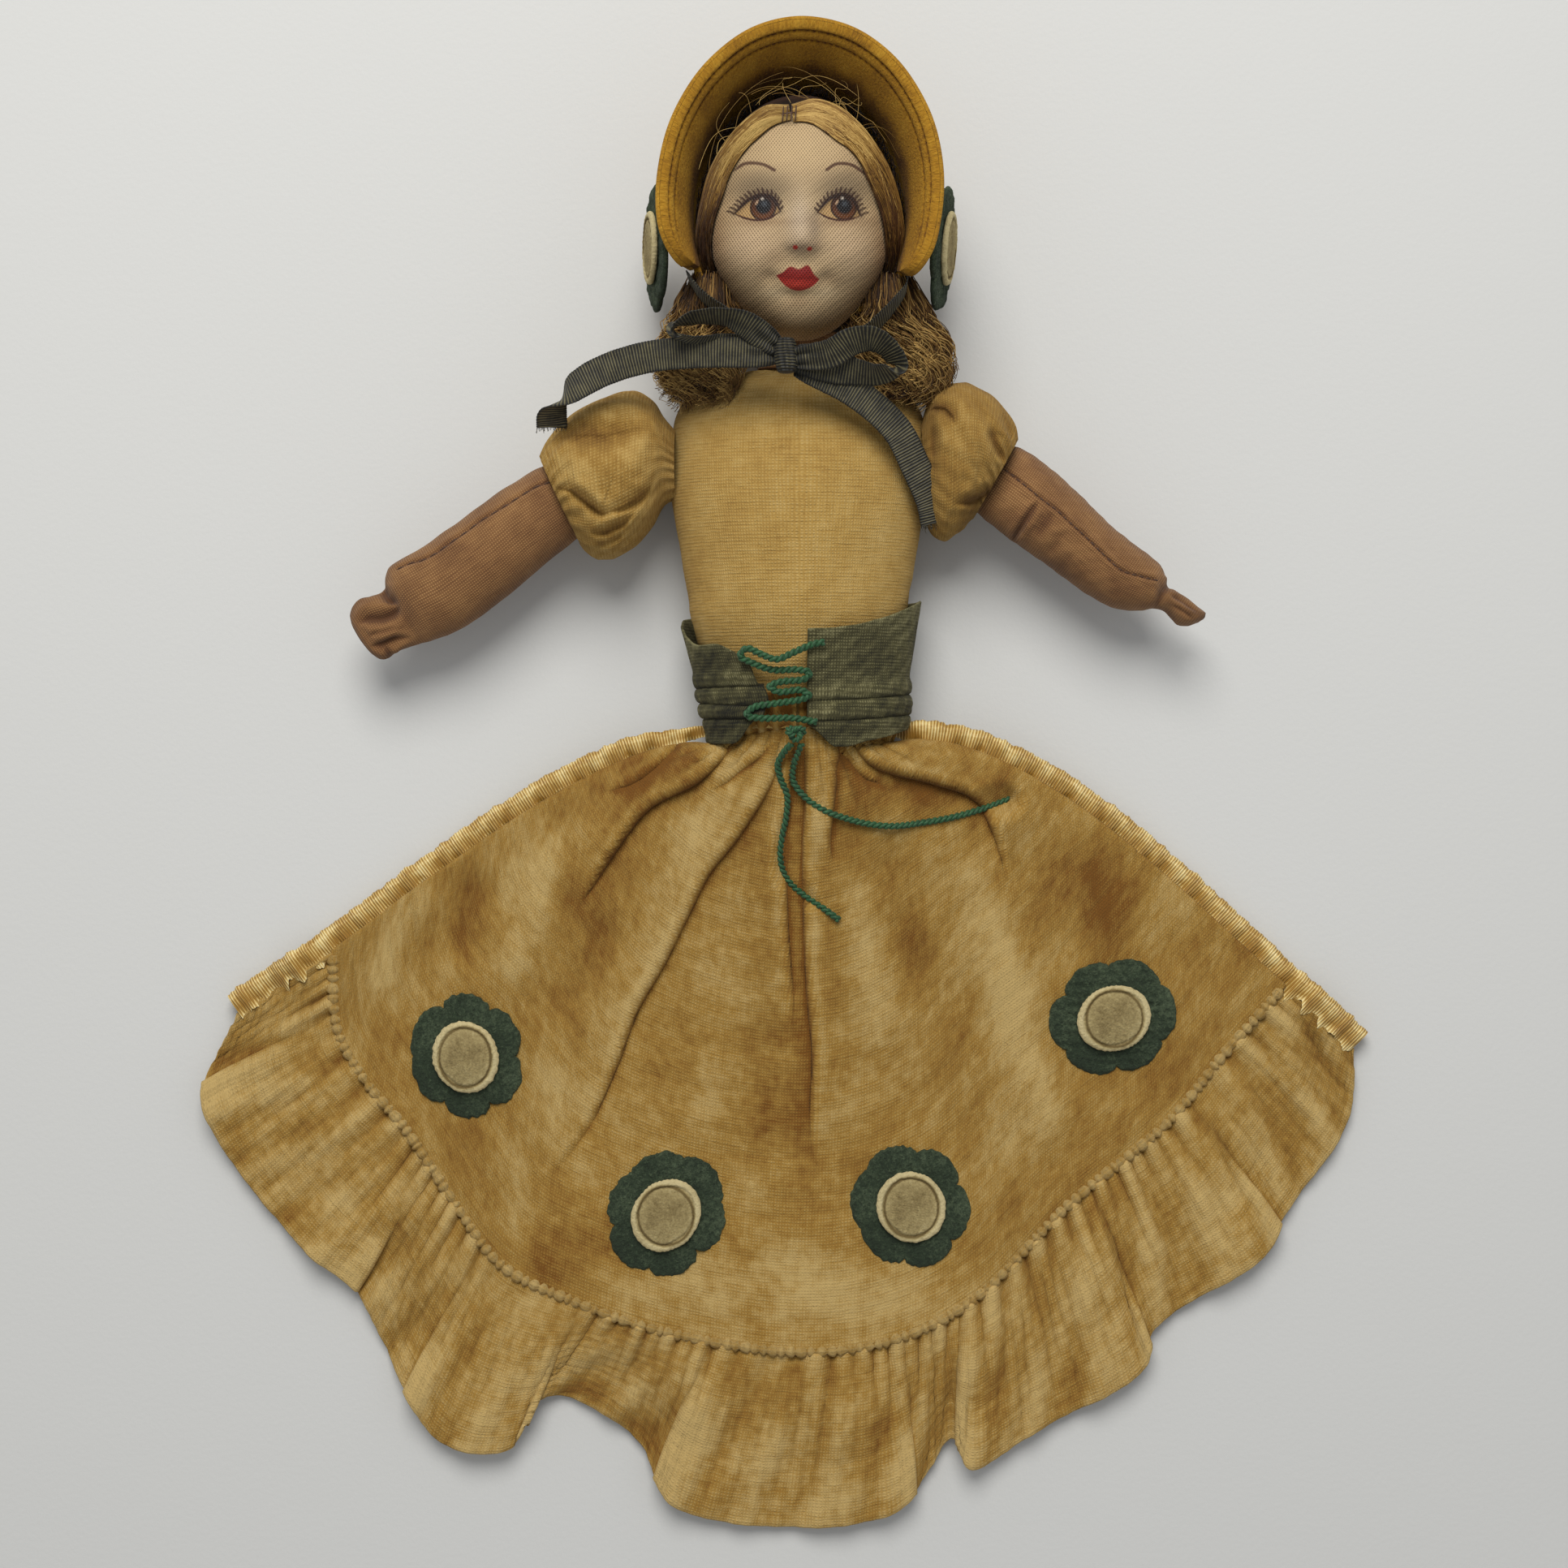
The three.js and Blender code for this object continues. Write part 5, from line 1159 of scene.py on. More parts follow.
CINCHER = Sizes(cloth=1.5, pleat=1.0, height=29.4, start=3, end=334)
CINCHER_SHARES = [
    (0, 0.16, 0.79), (0.04, 0.02, 0.8), (0.1, 0.06, 0.85), (0.2, 0.12, 0.96), (0.27, 0.14, 1),
    (0.5, 0.12, 0.97), (0.72, 0.08, 0.9), (0.78, 0.06, 0.86), (0.88, 0.04, 0.7), (0.95, 0.05, 0.69),
    (1, 0.22, 0.6),
]
# Tucks: the height of each dark gap in mm by the share of the way round, then its depth by that share
TUCKS = [
    ([(0, 9.7), (0.25, 11.3), (0.75, 12.2), (1, 12.6)], [(0, 1), (1, 1)]),
    ([(0, 5.7), (0.25, 7.2), (0.75, 6.6), (1, 6.2)], [(0, 1), (1, 1)]),
    ([(0, 8.0), (0.75, 9.6), (1, 8.4)], [(0, 0.1), (0.6, 0.1), (0.75, 0.8), (1, 0.9)]),
]


def cincher_point(s, t, grow=0):
    low = CINCHER.height * reading(CINCHER_SHARES, t, 1)
    high = CINCHER.height * reading(CINCHER_SHARES, t, 2)
    y = lerp(low, high, s)
    bulge, shift, shade = 0 * y, 0 * y, 0 * y
    for path, strength in TUCKS:
        x = y - reading(path, t, 1)
        depth = reading(strength, t, 1)
        rolls = 0.75 * hump(x, 1.3, 1.25) + 0.5 * hump(x, -1.4, 1.2)
        bulge = bulge + depth * (rolls - 2.1 * hump(x, 0, 0.42))
        shift = shift - depth * 0.62 * hump(x, 0.75, 0.6)
        shade = shade + depth * hump(x, 0, 0.55)
    edge = 0.35 * ripple(70 * t, 0.3 * y, seed=41, size=14)
    angle = np.radians(lerp(CINCHER.start, CINCHER.end, t) + 11 * hump(y, 9.5, 4) * t ** 10)
    thickness = GAP + CINCHER.cloth + 0.25 + bulge + edge
    place = np.maximum(y + shift, 0.4)
    return torso_point(angle, place, np.maximum(thickness, GAP + 0.4) + grow), shade, y


def make_cincher():
    s, t = shares(110, 440)
    top, shade, y = cincher_point(s, t)
    top[..., 2] = np.maximum(top[..., 2], 0.6)
    run = TORSO.half_width * 5.6 * t
    # Uneven tone, painted shade in the tucks, a paler top edge, and the left end darker as painted shade
    wear_and_shade = 0.7 * ripple(run, y, seed=42, size=12) - 2.2 * shade
    wear_and_shade = wear_and_shade + 0.4 * smooth(0.9, 1, s) - 0.5 * smooth(0.8, 0.9, t)
    fields = {"place": places(run, y, 0), "wear_and_shade": wear_and_shade}
    cincher = cloth("cincher", top, 0.45, CINCHER_VELVET, fields, flip=True)
    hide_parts("cincher")
    along = np.concatenate([np.linspace(0.03, 0.24, 19), np.linspace(0.80, 0.93, 9)])
    line = cincher_point(np.full_like(along, 0.945), along, 0.02)[0]
    normal = unit(line - [0, 0, TORSO.half_depth]) * [1, 0, 1]
    rows = [stitches("cincher_stitches_right", line[:19], normal[:19], 1.1, 0.15, PALE_THREAD),
            stitches("cincher_stitches_left", line[19:], normal[19:], 0.9, 0.13, PALE_THREAD)]
    for piece in (cincher, *rows):
        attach(piece, "torso")


# The lacing from end to end: x as a share of the front, y of the cincher's height, and how far it
# lies over another turn, in diameters
CORD_OVER = GAP + CINCHER.cloth + CINCHER.pleat + GAP + LACE.diameter / 2
LACING_SHARES = [
    (0.16, 0.175, 0), (-0.06, 0.2, 0), (-0.36, 0.2, 0), (-0.5, 0.22, 0), (-0.44, 0.27, 0), (-0.2, 0.3, 0),
    (0.02, 0.325, 0), (0.09, 0.35, 0), (0.02, 0.385, 0), (-0.2, 0.375, 0), (-0.28, 0.41, 0), (-0.18, 0.44, 0),
    (0.05, 0.46, 0), (0.1, 0.5, 0), (-0.02, 0.52, 0), (-0.26, 0.52, 0), (-0.46, 0.57, 0), (-0.56, 0.61, 0),
    (-0.5, 0.66, 0), (-0.36, 0.62, 0.6), (-0.22, 0.585, 1.2), (-0.06, 0.63, 0.6), (0.12, 0.685, 0),
    (0.23, 0.7, 0),
]


def make_lacing():
    x, y, lift = np.array(LACING_SHARES).T
    x, y = 0.8 * TORSO.half_width * x, CINCHER.height * y
    line = Curve(places(x, y, front_height(x, y, CORD_OVER) + lift * LACE.diameter))
    cord = twisted("lacing", line.at(np.linspace(0, 1, 620)), LACE.diameter / 2, LACE_THREAD,
                   line.length * LACE.turns_per_mm)
    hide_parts("lacing")
    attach(cord, "torso")
    turn = np.linspace(0.35, TURN - 0.1, 120)
    size = LACE.diameter * 0.42
    knot_y = CINCHER.height * 0.1
    centre = np.array([-LACE.diameter / 2, knot_y, front_height(0, knot_y, CORD_OVER + LACE.diameter / 2)])
    x = np.sin(turn) + 2 * np.sin(2 * turn)
    y = 0.8 * (np.cos(turn) - 2 * np.cos(2 * turn))
    path = centre + size * places(x, y, -np.sin(3 * turn))
    knot = twisted("lacing_knot", path, LACE.diameter * 0.42, LACE_THREAD, 9)
    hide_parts("lacing_knot")
    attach(knot, "torso")


make_cincher()
make_lacing()

# Arms: made along their own X from the shoulder pivot, then turned into place. Rows: share of the
# length, of the half width, of the half depth, and of the sideways offset.

ARM = Sizes(half_width=7.8, half_depth=7.6, height=14, squareness=2.1, axis_x=27.15, pivot_x=33.19,
            shoulder_y=57.5)
LEFT_ARM_SHARES = [
    (0, 0.3, 0.13, 0), (0.08, 0.62, 0.42, -0.04), (0.16, 0.86, 0.78, -0.12), (0.26, 1.01, 0.95, -0.19),
    (0.41, 1.09, 1, -0.157), (0.51, 1.12, 1, -0.075), (0.62, 1.14, 0.97, -0.03), (0.7, 1.145, 0.93, -0.02),
    (0.77, 1.14, 0.84, -0.09), (0.805, 1.09, 0.72, -0.12), (0.83, 0.98, 0.58, -0.07), (0.85, 0.84, 0.46, 0),
    (0.89, 0.79, 0.42, -0.04), (0.93, 0.82, 0.42, -0.15), (0.963, 0.8, 0.38, -0.12),
    (0.985, 0.68, 0.32, -0.1),
    (0.997, 0.45, 0.22, -0.1), (1, 0.2, 0.12, -0.1),
]
RIGHT_ARM_SHARES = [
    (0, 0.3, 0.13, 0), (0.06, 0.7, 0.42, 0.05), (0.13, 0.99, 0.72, 0.08), (0.24, 1.03, 0.93, 0.05),
    (0.417, 0.95, 1, -0.05), (0.55, 0.887, 0.98, -0.15), (0.63, 0.86, 0.93, -0.175),
    (0.71, 0.81, 0.85, -0.155),
    (0.77, 0.7, 0.75, -0.09), (0.81, 0.5, 0.62, -0.08), (0.835, 0.33, 0.53, -0.05), (0.872, 0.285, 0.5, 0),
    (0.936, 0.34, 0.57, -0.04), (0.972, 0.27, 0.5, 0.02), (0.993, 0.16, 0.34, 0.12), (1, 0.06, 0.14, 0.14),
]
# Seams: share of the length and share of the half width that it lies beside the arm's axis
LEFT_SEAM = [
    (0.235, -0.58), (0.292, -0.72), (0.375, -0.75), (0.456, -0.785), (0.53, -0.78), (0.6, -0.75),
    (0.663, -0.76),
    (0.702, -0.8), (0.745, -0.95), (0.79, -1.02),
]
RIGHT_SEAM = [
    (0.1, 0.31), (0.213, 0.223), (0.286, 0.16), (0.36, 0.14), (0.427, 0.06), (0.495, 0.0), (0.596, -0.13),
    (0.663, -0.17), (0.732, 0.0), (0.79, 0.17),
]
# Creases of the arms: the line, then depth, width, lip and step in mm
LEFT_ARM_CREASES = [
    ([(0.985, -0.5), (0.945, -0.42), (0.905, -0.2), (0.86, -0.14), (0.835, -0.2)], 1.35, 0.85, 0.5, 0),
    ([(0.99, 0.22), (0.95, 0.36), (0.914, 0.42), (0.855, 0.66)], 1.1, 0.55, 0.35, 0),
    ([(0.972, -0.02), (0.93, 0.08), (0.87, 0.26)], 0.4, 0.35, 0.15, 0),
    ([(0.852, -1.0), (0.858, -0.6), (0.83, -0.2)], 1.2, 0.8, 0.3, 0),
    ([(0.962, 0.86), (0.95, 0.62), (0.945, 0.4)], 0.6, 0.5, 0.2, 0),
]
RIGHT_ARM_CREASES = [
    ([(0.288, 0.14), (0.29, -0.5), (0.29, -1.3)], 0.95, 0.5, 0.4, 0),
    ([(0.352, 0.1), (0.352, -0.8)], 0.45, 0.9, 0.1, 0),
    ([(0.425, -0.1), (0.416, -1.0)], 0.4, 1.0, 0.1, 0),
    ([(0.49, -0.5), (0.48, -1.1)], 0.25, 1.0, 0.1, 0),
    ([(0.84, 0.5), (0.826, 0.1), (0.838, -0.5)], 0.7, 0.6, 0.2, 0),
    ([(0.84, 0.05), (0.9, 0.12), (0.985, 0.1)], 0.5, 0.35, 0.2, 0),
    ([(0.87, -0.12), (0.93, -0.1), (0.97, -0.12)], 0.35, 0.3, 0.15, 0),
    ([(0.78, 0.3), (0.81, 0.1), (0.83, -0.3)], 0.3, 0.6, 0.1, 0),
]
# Sleeves: share from the bodice to the mouth, the places in mm of the outline's top and foot, and
# the share of the half depth. Creases as for the arms, with their lines in mm.
LEFT_SLEEVE = [
    (0, -24.6, 63, -24.6, 50, 0.5), (0.12, -26.9, 66, -27, 48.5, 0.76), (0.26, -29, 69.2, -29.2, 44.5, 0.92),
    (0.42, -33, 70.9, -32.6, 40.3, 1), (0.58, -38.5, 69.6, -36.8, 38, 1),
    (0.72, -43.5, 67.4, -40.1, 37.9, 0.95),
    (0.84, -47.2, 64.5, -42.4, 39.4, 0.84), (0.93, -50, 61, -43.6, 40.8, 0.75),
    (1, -51.5, 57.9, -44.1, 42, 0.66),
]
RIGHT_SLEEVE = [
    (0, 24.2, 64, 24.2, 50, 0.5), (0.15, 26, 69.5, 26, 43.6, 0.76), (0.32, 28.6, 72.2, 28.8, 41.2, 0.93),
    (0.52, 33.1, 73, 32.2, 43.4, 1), (0.7, 37.4, 70.9, 33.8, 45.2, 0.95),
    (0.85, 41.2, 66.9, 34.5, 45.9, 0.84),
    (0.94, 42.9, 63.9, 34.8, 46.1, 0.76), (1, 43.4, 61.2, 35, 46.3, 0.68),
]
LEFT_SLEEVE_CREASES = [
    ([(-50.5, 60.6), (-44, 61.4), (-38.5, 61), (-33, 62), (-28, 63.4)], 3.4, 2.5, 1.0, 0.5),
    ([(-48.6, 51.2), (-44.2, 50.1), (-41.3, 47.8), (-38.7, 45.9), (-36.6, 45.6)], 2.2, 0.75, 0.3, 1.8),
    ([(-38, 45.6), (-34.2, 46.8), (-30.7, 49.1), (-28.4, 52)], 1.4, 0.8, 0.3, 1.6),
    ([(-41.6, 42.2), (-38.4, 42.2), (-34.7, 43.8), (-31.4, 46.6)], 1.7, 0.6, 0.4, 0.9),
    ([(-40.8, 40.2), (-37.4, 40.6), (-33.8, 42.4)], 0.9, 0.5, 0.3, 0.4),
    ([(-29.6, 66), (-28.8, 60), (-28.6, 56)], 0.5, 0.9, 0.2, 0),
]
RIGHT_SLEEVE_CREASES = [
    ([(24.6, 66.2), (26.6, 66.9), (28.6, 66.4), (29.9, 64.6), (30.5, 62.2)], 2.2, 0.9, 0.3, 1.3),
    ([(26.2, 64.4), (26.2, 60), (26.5, 55.4)], 1.6, 0.65, 0.4, 0),
    ([(37.4, 63.2), (37.8, 60.6), (39, 57.8), (41, 55.4)], 1.9, 0.8, 0.5, 0),
    ([(29.6, 47.6), (33.4, 48.4), (36.4, 50), (38.4, 52.6)], 1.8, 0.7, 0.4, 1.4),
    ([(39.6, 66.6), (41.2, 63.4), (41.8, 60.2)], 0.8, 0.7, 0.3, 0),
    ([(31.5, 68.6), (34.6, 65.8), (36.4, 62)], 0.4, 1.3, 0.2, 0),
]
# Both arms: the way each points, the pitch of its stitches, the share of the sleeve at which the
# part hinged at the bodice ends, and the reach in mm from the pivot over which the sleeve swings
ARMS = [
    Sizes(name="left", side=-1, length=65, shares=LEFT_ARM_SHARES, degrees=214, seam=LEFT_SEAM, pitch=2.4,
          creases=LEFT_ARM_CREASES, sleeve=LEFT_SLEEVE, folds=LEFT_SLEEVE_CREASES, sleeve_seam=0.26,
          swing=(2.2, 15.5)),
    Sizes(name="right", side=1, length=57, shares=RIGHT_ARM_SHARES, degrees=-34.5, seam=RIGHT_SEAM,
          pitch=1.45, creases=RIGHT_ARM_CREASES, sleeve=RIGHT_SLEEVE, folds=RIGHT_SLEEVE_CREASES,
          sleeve_seam=0.32, swing=(2.8, 7.6)),
]


def creased(x, y, lines, scale=(1, 1)):
    """The relief of creases at places in plan, in mm, and how deep in a crease each place lies"""
    relief, shade = 0 * x, 0 * x
    for line, depth, width, lip, step in lines:
        line = np.array(line) * scale
        gap, share = away_from(x, y, line)
        fade = smooth(0, 0.34, share) * smooth(0, 0.34, 1 - share)
        width = width * (0.7 + 0.7 * fade)
        depth = 0.8 * depth
        order = np.argsort(line[:, 0])
        above = smooth(-0.3, 0.3, y - np.interp(x, line[order, 0], line[order, 1]))
        relief = relief - fade * depth * hump(gap, 0, width) + lip * fade * hump(gap, 2 * width, 1.1 * width)
        relief = relief + fade * step * above * np.exp(-gap / 2.6)
        shade = shade + fade * hump(gap, 0, 0.7 * width) * min(depth, 1.6)
    return relief, shade


def arm_place(arm, points):
    turn = math.radians(arm.degrees)
    x, y, z = np.moveaxis(points, -1, 0)
    return places(arm.side * ARM.pivot_x + x * math.cos(turn) - y * math.sin(turn),
                  ARM.shoulder_y + x * math.sin(turn) + y * math.cos(turn), ARM.height + z)


def arm_local(arm, share, angle, grow=0):
    """A place on the arm in its own axes, grown outwards"""
    wide = np.maximum(ARM.half_width * reading(arm.shares, share, 1) + grow, GAP)
    deep = np.maximum(ARM.half_depth * reading(arm.shares, share, 2) + grow, GAP)
    power = 2 / ARM.squareness
    middle = ARM.half_width * reading(arm.shares, share, 3)
    return places(arm.length * share, middle + wide * bend(np.sin(angle), power),
                  deep * bend(np.cos(angle), power))


def arm_skin(arm, share, angle, lift=0):
    """A place on the finished arm, with its creases and the dip along its seam, and the painted shade in them
    """
    x, y, _ = np.moveaxis(arm_local(arm, share, angle), -1, 0)
    front = smooth(-0.1, 0.3, np.cos(angle))
    relief, shade = creased(x, y, arm.creases, (arm.length, ARM.half_width))
    gap, along = away_from(x, y, np.array(arm.seam) * (arm.length, ARM.half_width))
    inside = smooth(0, 0.04, along) * smooth(0, 0.04, 1 - along)
    relief = relief + inside * (0.14 * hump(gap, 0.8, 0.5) - 0.3 * hump(gap, 0, 0.3))
    slack = 0.16 * ripple(x, y, 3 * np.cos(angle), seed=51 + arm.side, size=20) * smooth(0, 0.1, share)
    points = arm_place(arm, arm_local(arm, share, angle, front * relief + slack + lift))
    return points, front * (shade + 0.5 * inside * hump(gap, 0, 0.3))


def make_arm(arm):
    share = column(np.linspace(0, 1, 420))
    angle = TURN * (np.arange(200) / 200 - 0.5)
    points, shade = arm_skin(arm, share, angle + 0 * share)
    run, around = arm.length * share, ARM.half_width * angle
    # The creases and the seam's dip are darkened as painted shade
    fields = {"place": places(run, around, 0), "wear_and_shade": -0.55 * shade}
    piece = loft(arm.name + "_arm", points, SKIN, fields)
    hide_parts(arm.name + "_arm_cover", arm.name + "_arm_stuffing")
    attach(piece, arm.name + "_arm")
    seam = Curve(np.array(arm.seam) * (arm.length, ARM.half_width))
    count = int(seam.length / arm.pitch)
    x, y = seam.at((np.arange(count) + 0.5) / count).T
    share = x / arm.length
    wide = ARM.half_width * reading(arm.shares, share, 1)
    side = np.clip((y - ARM.half_width * reading(arm.shares, share, 3)) / wide, -1, 1)
    angle = np.arcsin(bend(side, ARM.squareness / 2))
    line, above = [arm_skin(arm, share, angle, lift)[0] for lift in (0.02, 0.5)]
    stitch = stitches(arm.name + "_arm_seam", line, unit(above - line), 0.72 * arm.pitch, 0.14, BROWN_THREAD)
    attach(stitch, arm.name + "_arm")


# Puff sleeves

SLEEVE = Sizes(half_depth=13.4, cloth=1.0, lean=25)


def sleeve_point(arm, share, angle, grow=0):
    """A place on the puffed sleeve, whose sections turn from the bodice's side to the arm's"""
    top_x, top_y, foot_x, foot_y, deep = [reading(arm.sleeve, share, k) for k in range(1, 6)]
    half = np.hypot(top_x - foot_x, top_y - foot_y) / 2
    full = np.sin(math.pi * np.clip(share * 1.05, 0, 1))
    fine = 0.4 * np.cos(21 * angle + 2 * np.sin(3 * angle) + 5 * share) * (1 - full) ** 1.5
    slack = 0.5 * ripple(24 * share, 14 * np.sin(angle), 14 * np.cos(angle), seed=61 + arm.side, size=24)
    swell = fine + slack * full + grow
    reach = (1 + swell / half) * np.sin(angle)
    x = (top_x + foot_x) / 2 + (top_x - foot_x) / 2 * reach
    y = (top_y + foot_y) / 2 + (top_y - foot_y) / 2 * reach
    relief, shade = creased(x, y, arm.folds)
    front = smooth(-0.05, 0.45, np.cos(angle))
    height = SLEEVE.half_depth * deep + swell
    z = ARM.height + 0.06 * SLEEVE.half_depth + height * np.cos(angle) + relief * front
    return places(x, y, z), front * shade


def sleeve_part(name, arm, start, end):
    rows = max(int(205 * (end - start)), 60)
    share = column(np.linspace(start, end, rows))
    angle = TURN * (np.arange(300) / 300 - 0.5)
    outer, shade = sleeve_point(arm, share, angle + 0 * share)
    inner, _ = sleeve_point(arm, share[::-1], angle + 0 * share, -SLEEVE.cloth)
    rings = np.concatenate([outer, inner])
    rings[..., 2] = np.maximum(rings[..., 2], 0.05)
    whole = np.concatenate([share, share[::-1]])
    place = places(14 * angle, 26 * whole, 0)
    # Uneven tone, the left sleeve painted lighter and the right darker as painted light and shade, and
    # painted shade in the creases
    wear_and_shade = 0.45 * ripple(*np.moveaxis(rings, -1, 0), seed=63 + arm.side, size=22)
    wear_and_shade = wear_and_shade + 0.15 - 0.25 * arm.side - 0.9 * np.concatenate([shade, 0 * shade])
    count, columns = rings.shape[:2]
    faces = grid_faces(count + 1, columns, around=True) % (count * columns)
    fields = {"place": place.reshape(-1, 3), "wear_and_shade": wear_and_shade.reshape(-1)}
    return build(name, rings.reshape(-1, 3), [faces], SLEEVE_VELVET, fields)


def make_sleeve(arm):
    """The part that hinges at the bodice, and the puff that also swings with the arm"""
    hinge = sleeve_part(arm.name + "_sleeve_top", arm, 0, arm.sleeve_seam)
    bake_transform(hinge)
    puff = sleeve_part(arm.name + "_sleeve", arm, arm.sleeve_seam, 1)
    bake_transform(puff)
    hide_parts(arm.name + "_sleeve")


for arm in ARMS:
    make_arm(arm)
    make_sleeve(arm)


# Head: a stuffed back and a moulded face of knit, painted in the plane of the eyes

HEAD = Sizes(half_width=17.3, half_height=23.3, front_depth=18.5, back_depth=20)
HEAD_CENTRE = np.array([0, 102.6, 25])
# The height at which the painted features are placed
EYE_PLANE = 41


def head_point(tilt, turn, grow=0):
    x, y, z = np.sin(tilt) * np.cos(turn), np.sin(tilt) * np.sin(turn), np.cos(tilt)
    jaw = 1 - 0.1 * np.maximum(-y, 0) ** 2 + 0.03 * hump(y, -0.2, 0.35)
    depth = np.where(z > 0, HEAD.front_depth, HEAD.back_depth)
    return HEAD_CENTRE + places((HEAD.half_width * jaw + grow) * x, (HEAD.half_height + grow) * y,
                                (depth + grow) * z)


def on_eye_plane(points):
    """Where each point appears from above the doll, measured on the level of the eyes"""
    scale = (CAMERA[2] - EYE_PLANE) / (CAMERA[2] - points[..., 2])
    return CAMERA[0] + (points[..., 0] - CAMERA[0]) * scale, CAMERA[1] + (points[..., 1] - CAMERA[1]) * scale


# Painted features, in mm on the level of the eyes
EYES = [
    Sizes(side=-1, iris=(-7.07, 101.8), pupil=(-7.0, 102.1), outer=(-12.5, 100.5), inner=(-3.75, 101.0),
          top=(-7.2, 104.15), low=(-8.0, 99.3)),
    Sizes(side=1, iris=(8.44, 101.84), pupil=(8.6, 102.1), outer=(11.55, 100.15), inner=(3.3, 100.8),
          top=(8.2, 104.3), low=(7.6, 99.3)),
]
IRIS_RADIUS = 2.55
BROWS = [
    [(-12.5, 108.5), (-10.4, 109.9), (-7.1, 109.85), (-4.8, 108.7)],
    [(5.1, 108.85), (6.9, 109.9), (9.8, 109.65), (13.0, 107.5)],
]
NOSTRILS = [(-0.8, 94.5), (1.7, 94.2)]
MOUTH = Sizes(left=(-4.5, 88.95), right=(3.75, 88.1), peak_left=(-1.85, 90.65), dip=(-0.2, 90.3),
              peak_right=(1.55, 90.85), low_left=(-3.0, 87.4), low=(-0.45, 86.15), low_right=(2.2, 86.95))


def stroke(x, y, line, width, soft=0.12, ends=(0.3, 0.3)):
    """How much of a painted stroke covers each place. It thins towards its ends."""
    near = (x > np.min(line, 0)[0] - 2) & (x < np.max(line, 0)[0] + 2)
    near = near & (y > np.min(line, 0)[1] - 2) & (y < np.max(line, 0)[1] + 2)
    cover = np.zeros(x.shape)
    gap, share = away_from(x[near], y[near], line)
    taper = np.minimum(ends[0] + share * 4, 1) * np.minimum(ends[1] + (1 - share) * 4, 1)
    cover[near] = 1 - smooth(width / 2 * taper - soft / 2, width / 2 * taper + soft, gap)
    return cover


def between(x, y, upper, lower, soft=0.12):
    """How much each place lies between two lines that run from left to right"""
    top, base = Curve(upper, 16).points, Curve(lower, 16).points
    high = np.interp(x, top[:, 0], top[:, 1])
    low = np.interp(x, base[:, 0], base[:, 1])
    inside = smooth(-soft, soft, high - y) * smooth(-soft, soft, y - low)
    left, right = top[0, 0], top[-1, 0]
    ends = smooth(left - soft, left + soft, x) * (1 - smooth(right - soft, right + soft, x))
    return inside * ends


def spot(x, y, centre, radius, soft=0.15):
    return 1 - smooth(radius - soft, radius + soft, np.hypot(x - centre[0], y - centre[1]))


def lid_lines(eye):
    left, right = (eye.outer, eye.inner) if eye.side < 0 else (eye.inner, eye.outer)
    upper = [left, ((left[0] + eye.top[0]) / 2 - 0.1, lerp(left[1], eye.top[1], 0.74)), eye.top,
             ((right[0] + eye.top[0]) / 2 + 0.4, lerp(right[1], eye.top[1], 0.78)), right]
    lower = [left, ((left[0] + eye.low[0]) / 2, lerp(left[1], eye.low[1], 0.72)), eye.low,
             ((right[0] + eye.low[0]) / 2, lerp(right[1], eye.low[1], 0.8)), right]
    return upper, lower


def lashes(eye):
    """Short strokes that fan out from the upper lid and the eye's outer corner"""
    lid = Curve(lid_lines(eye)[0])
    middle = np.array([eye.top[0] + 0.6 * eye.side * -1, eye.low[1] - 1.0])
    lines = []
    for share in np.linspace(0.0, 0.97, 16):
        at = share if eye.side < 0 else 1 - share
        root = lid.at(at)
        way = unit(root - middle) + np.array([eye.side * 0.35 * (1 - share), 0.05])
        length = 1.7 - 0.5 * share + 0.15 * math.sin(37 * share)
        tip = root + unit(way) * length
        bow = (root + tip) / 2 + 0.12 * np.array([-way[1], way[0]]) * eye.side
        lines.append([root + 0.1 * way, bow, tip])
    return lines


class Paint:
    """Linear colours and gloss laid over the places of a surface, one coat after another"""

    def __init__(self, shape, ground, gloss):
        self.colour = np.ones((*shape, 3)) * linear(ground)
        self.gloss = np.full(shape, float(gloss))

    def coat(self, colour, cover, gloss=None):
        self.colour = lerp(self.colour, np.array(linear(colour)), column(cover))
        if gloss is not None:
            self.gloss = lerp(self.gloss, gloss, cover)


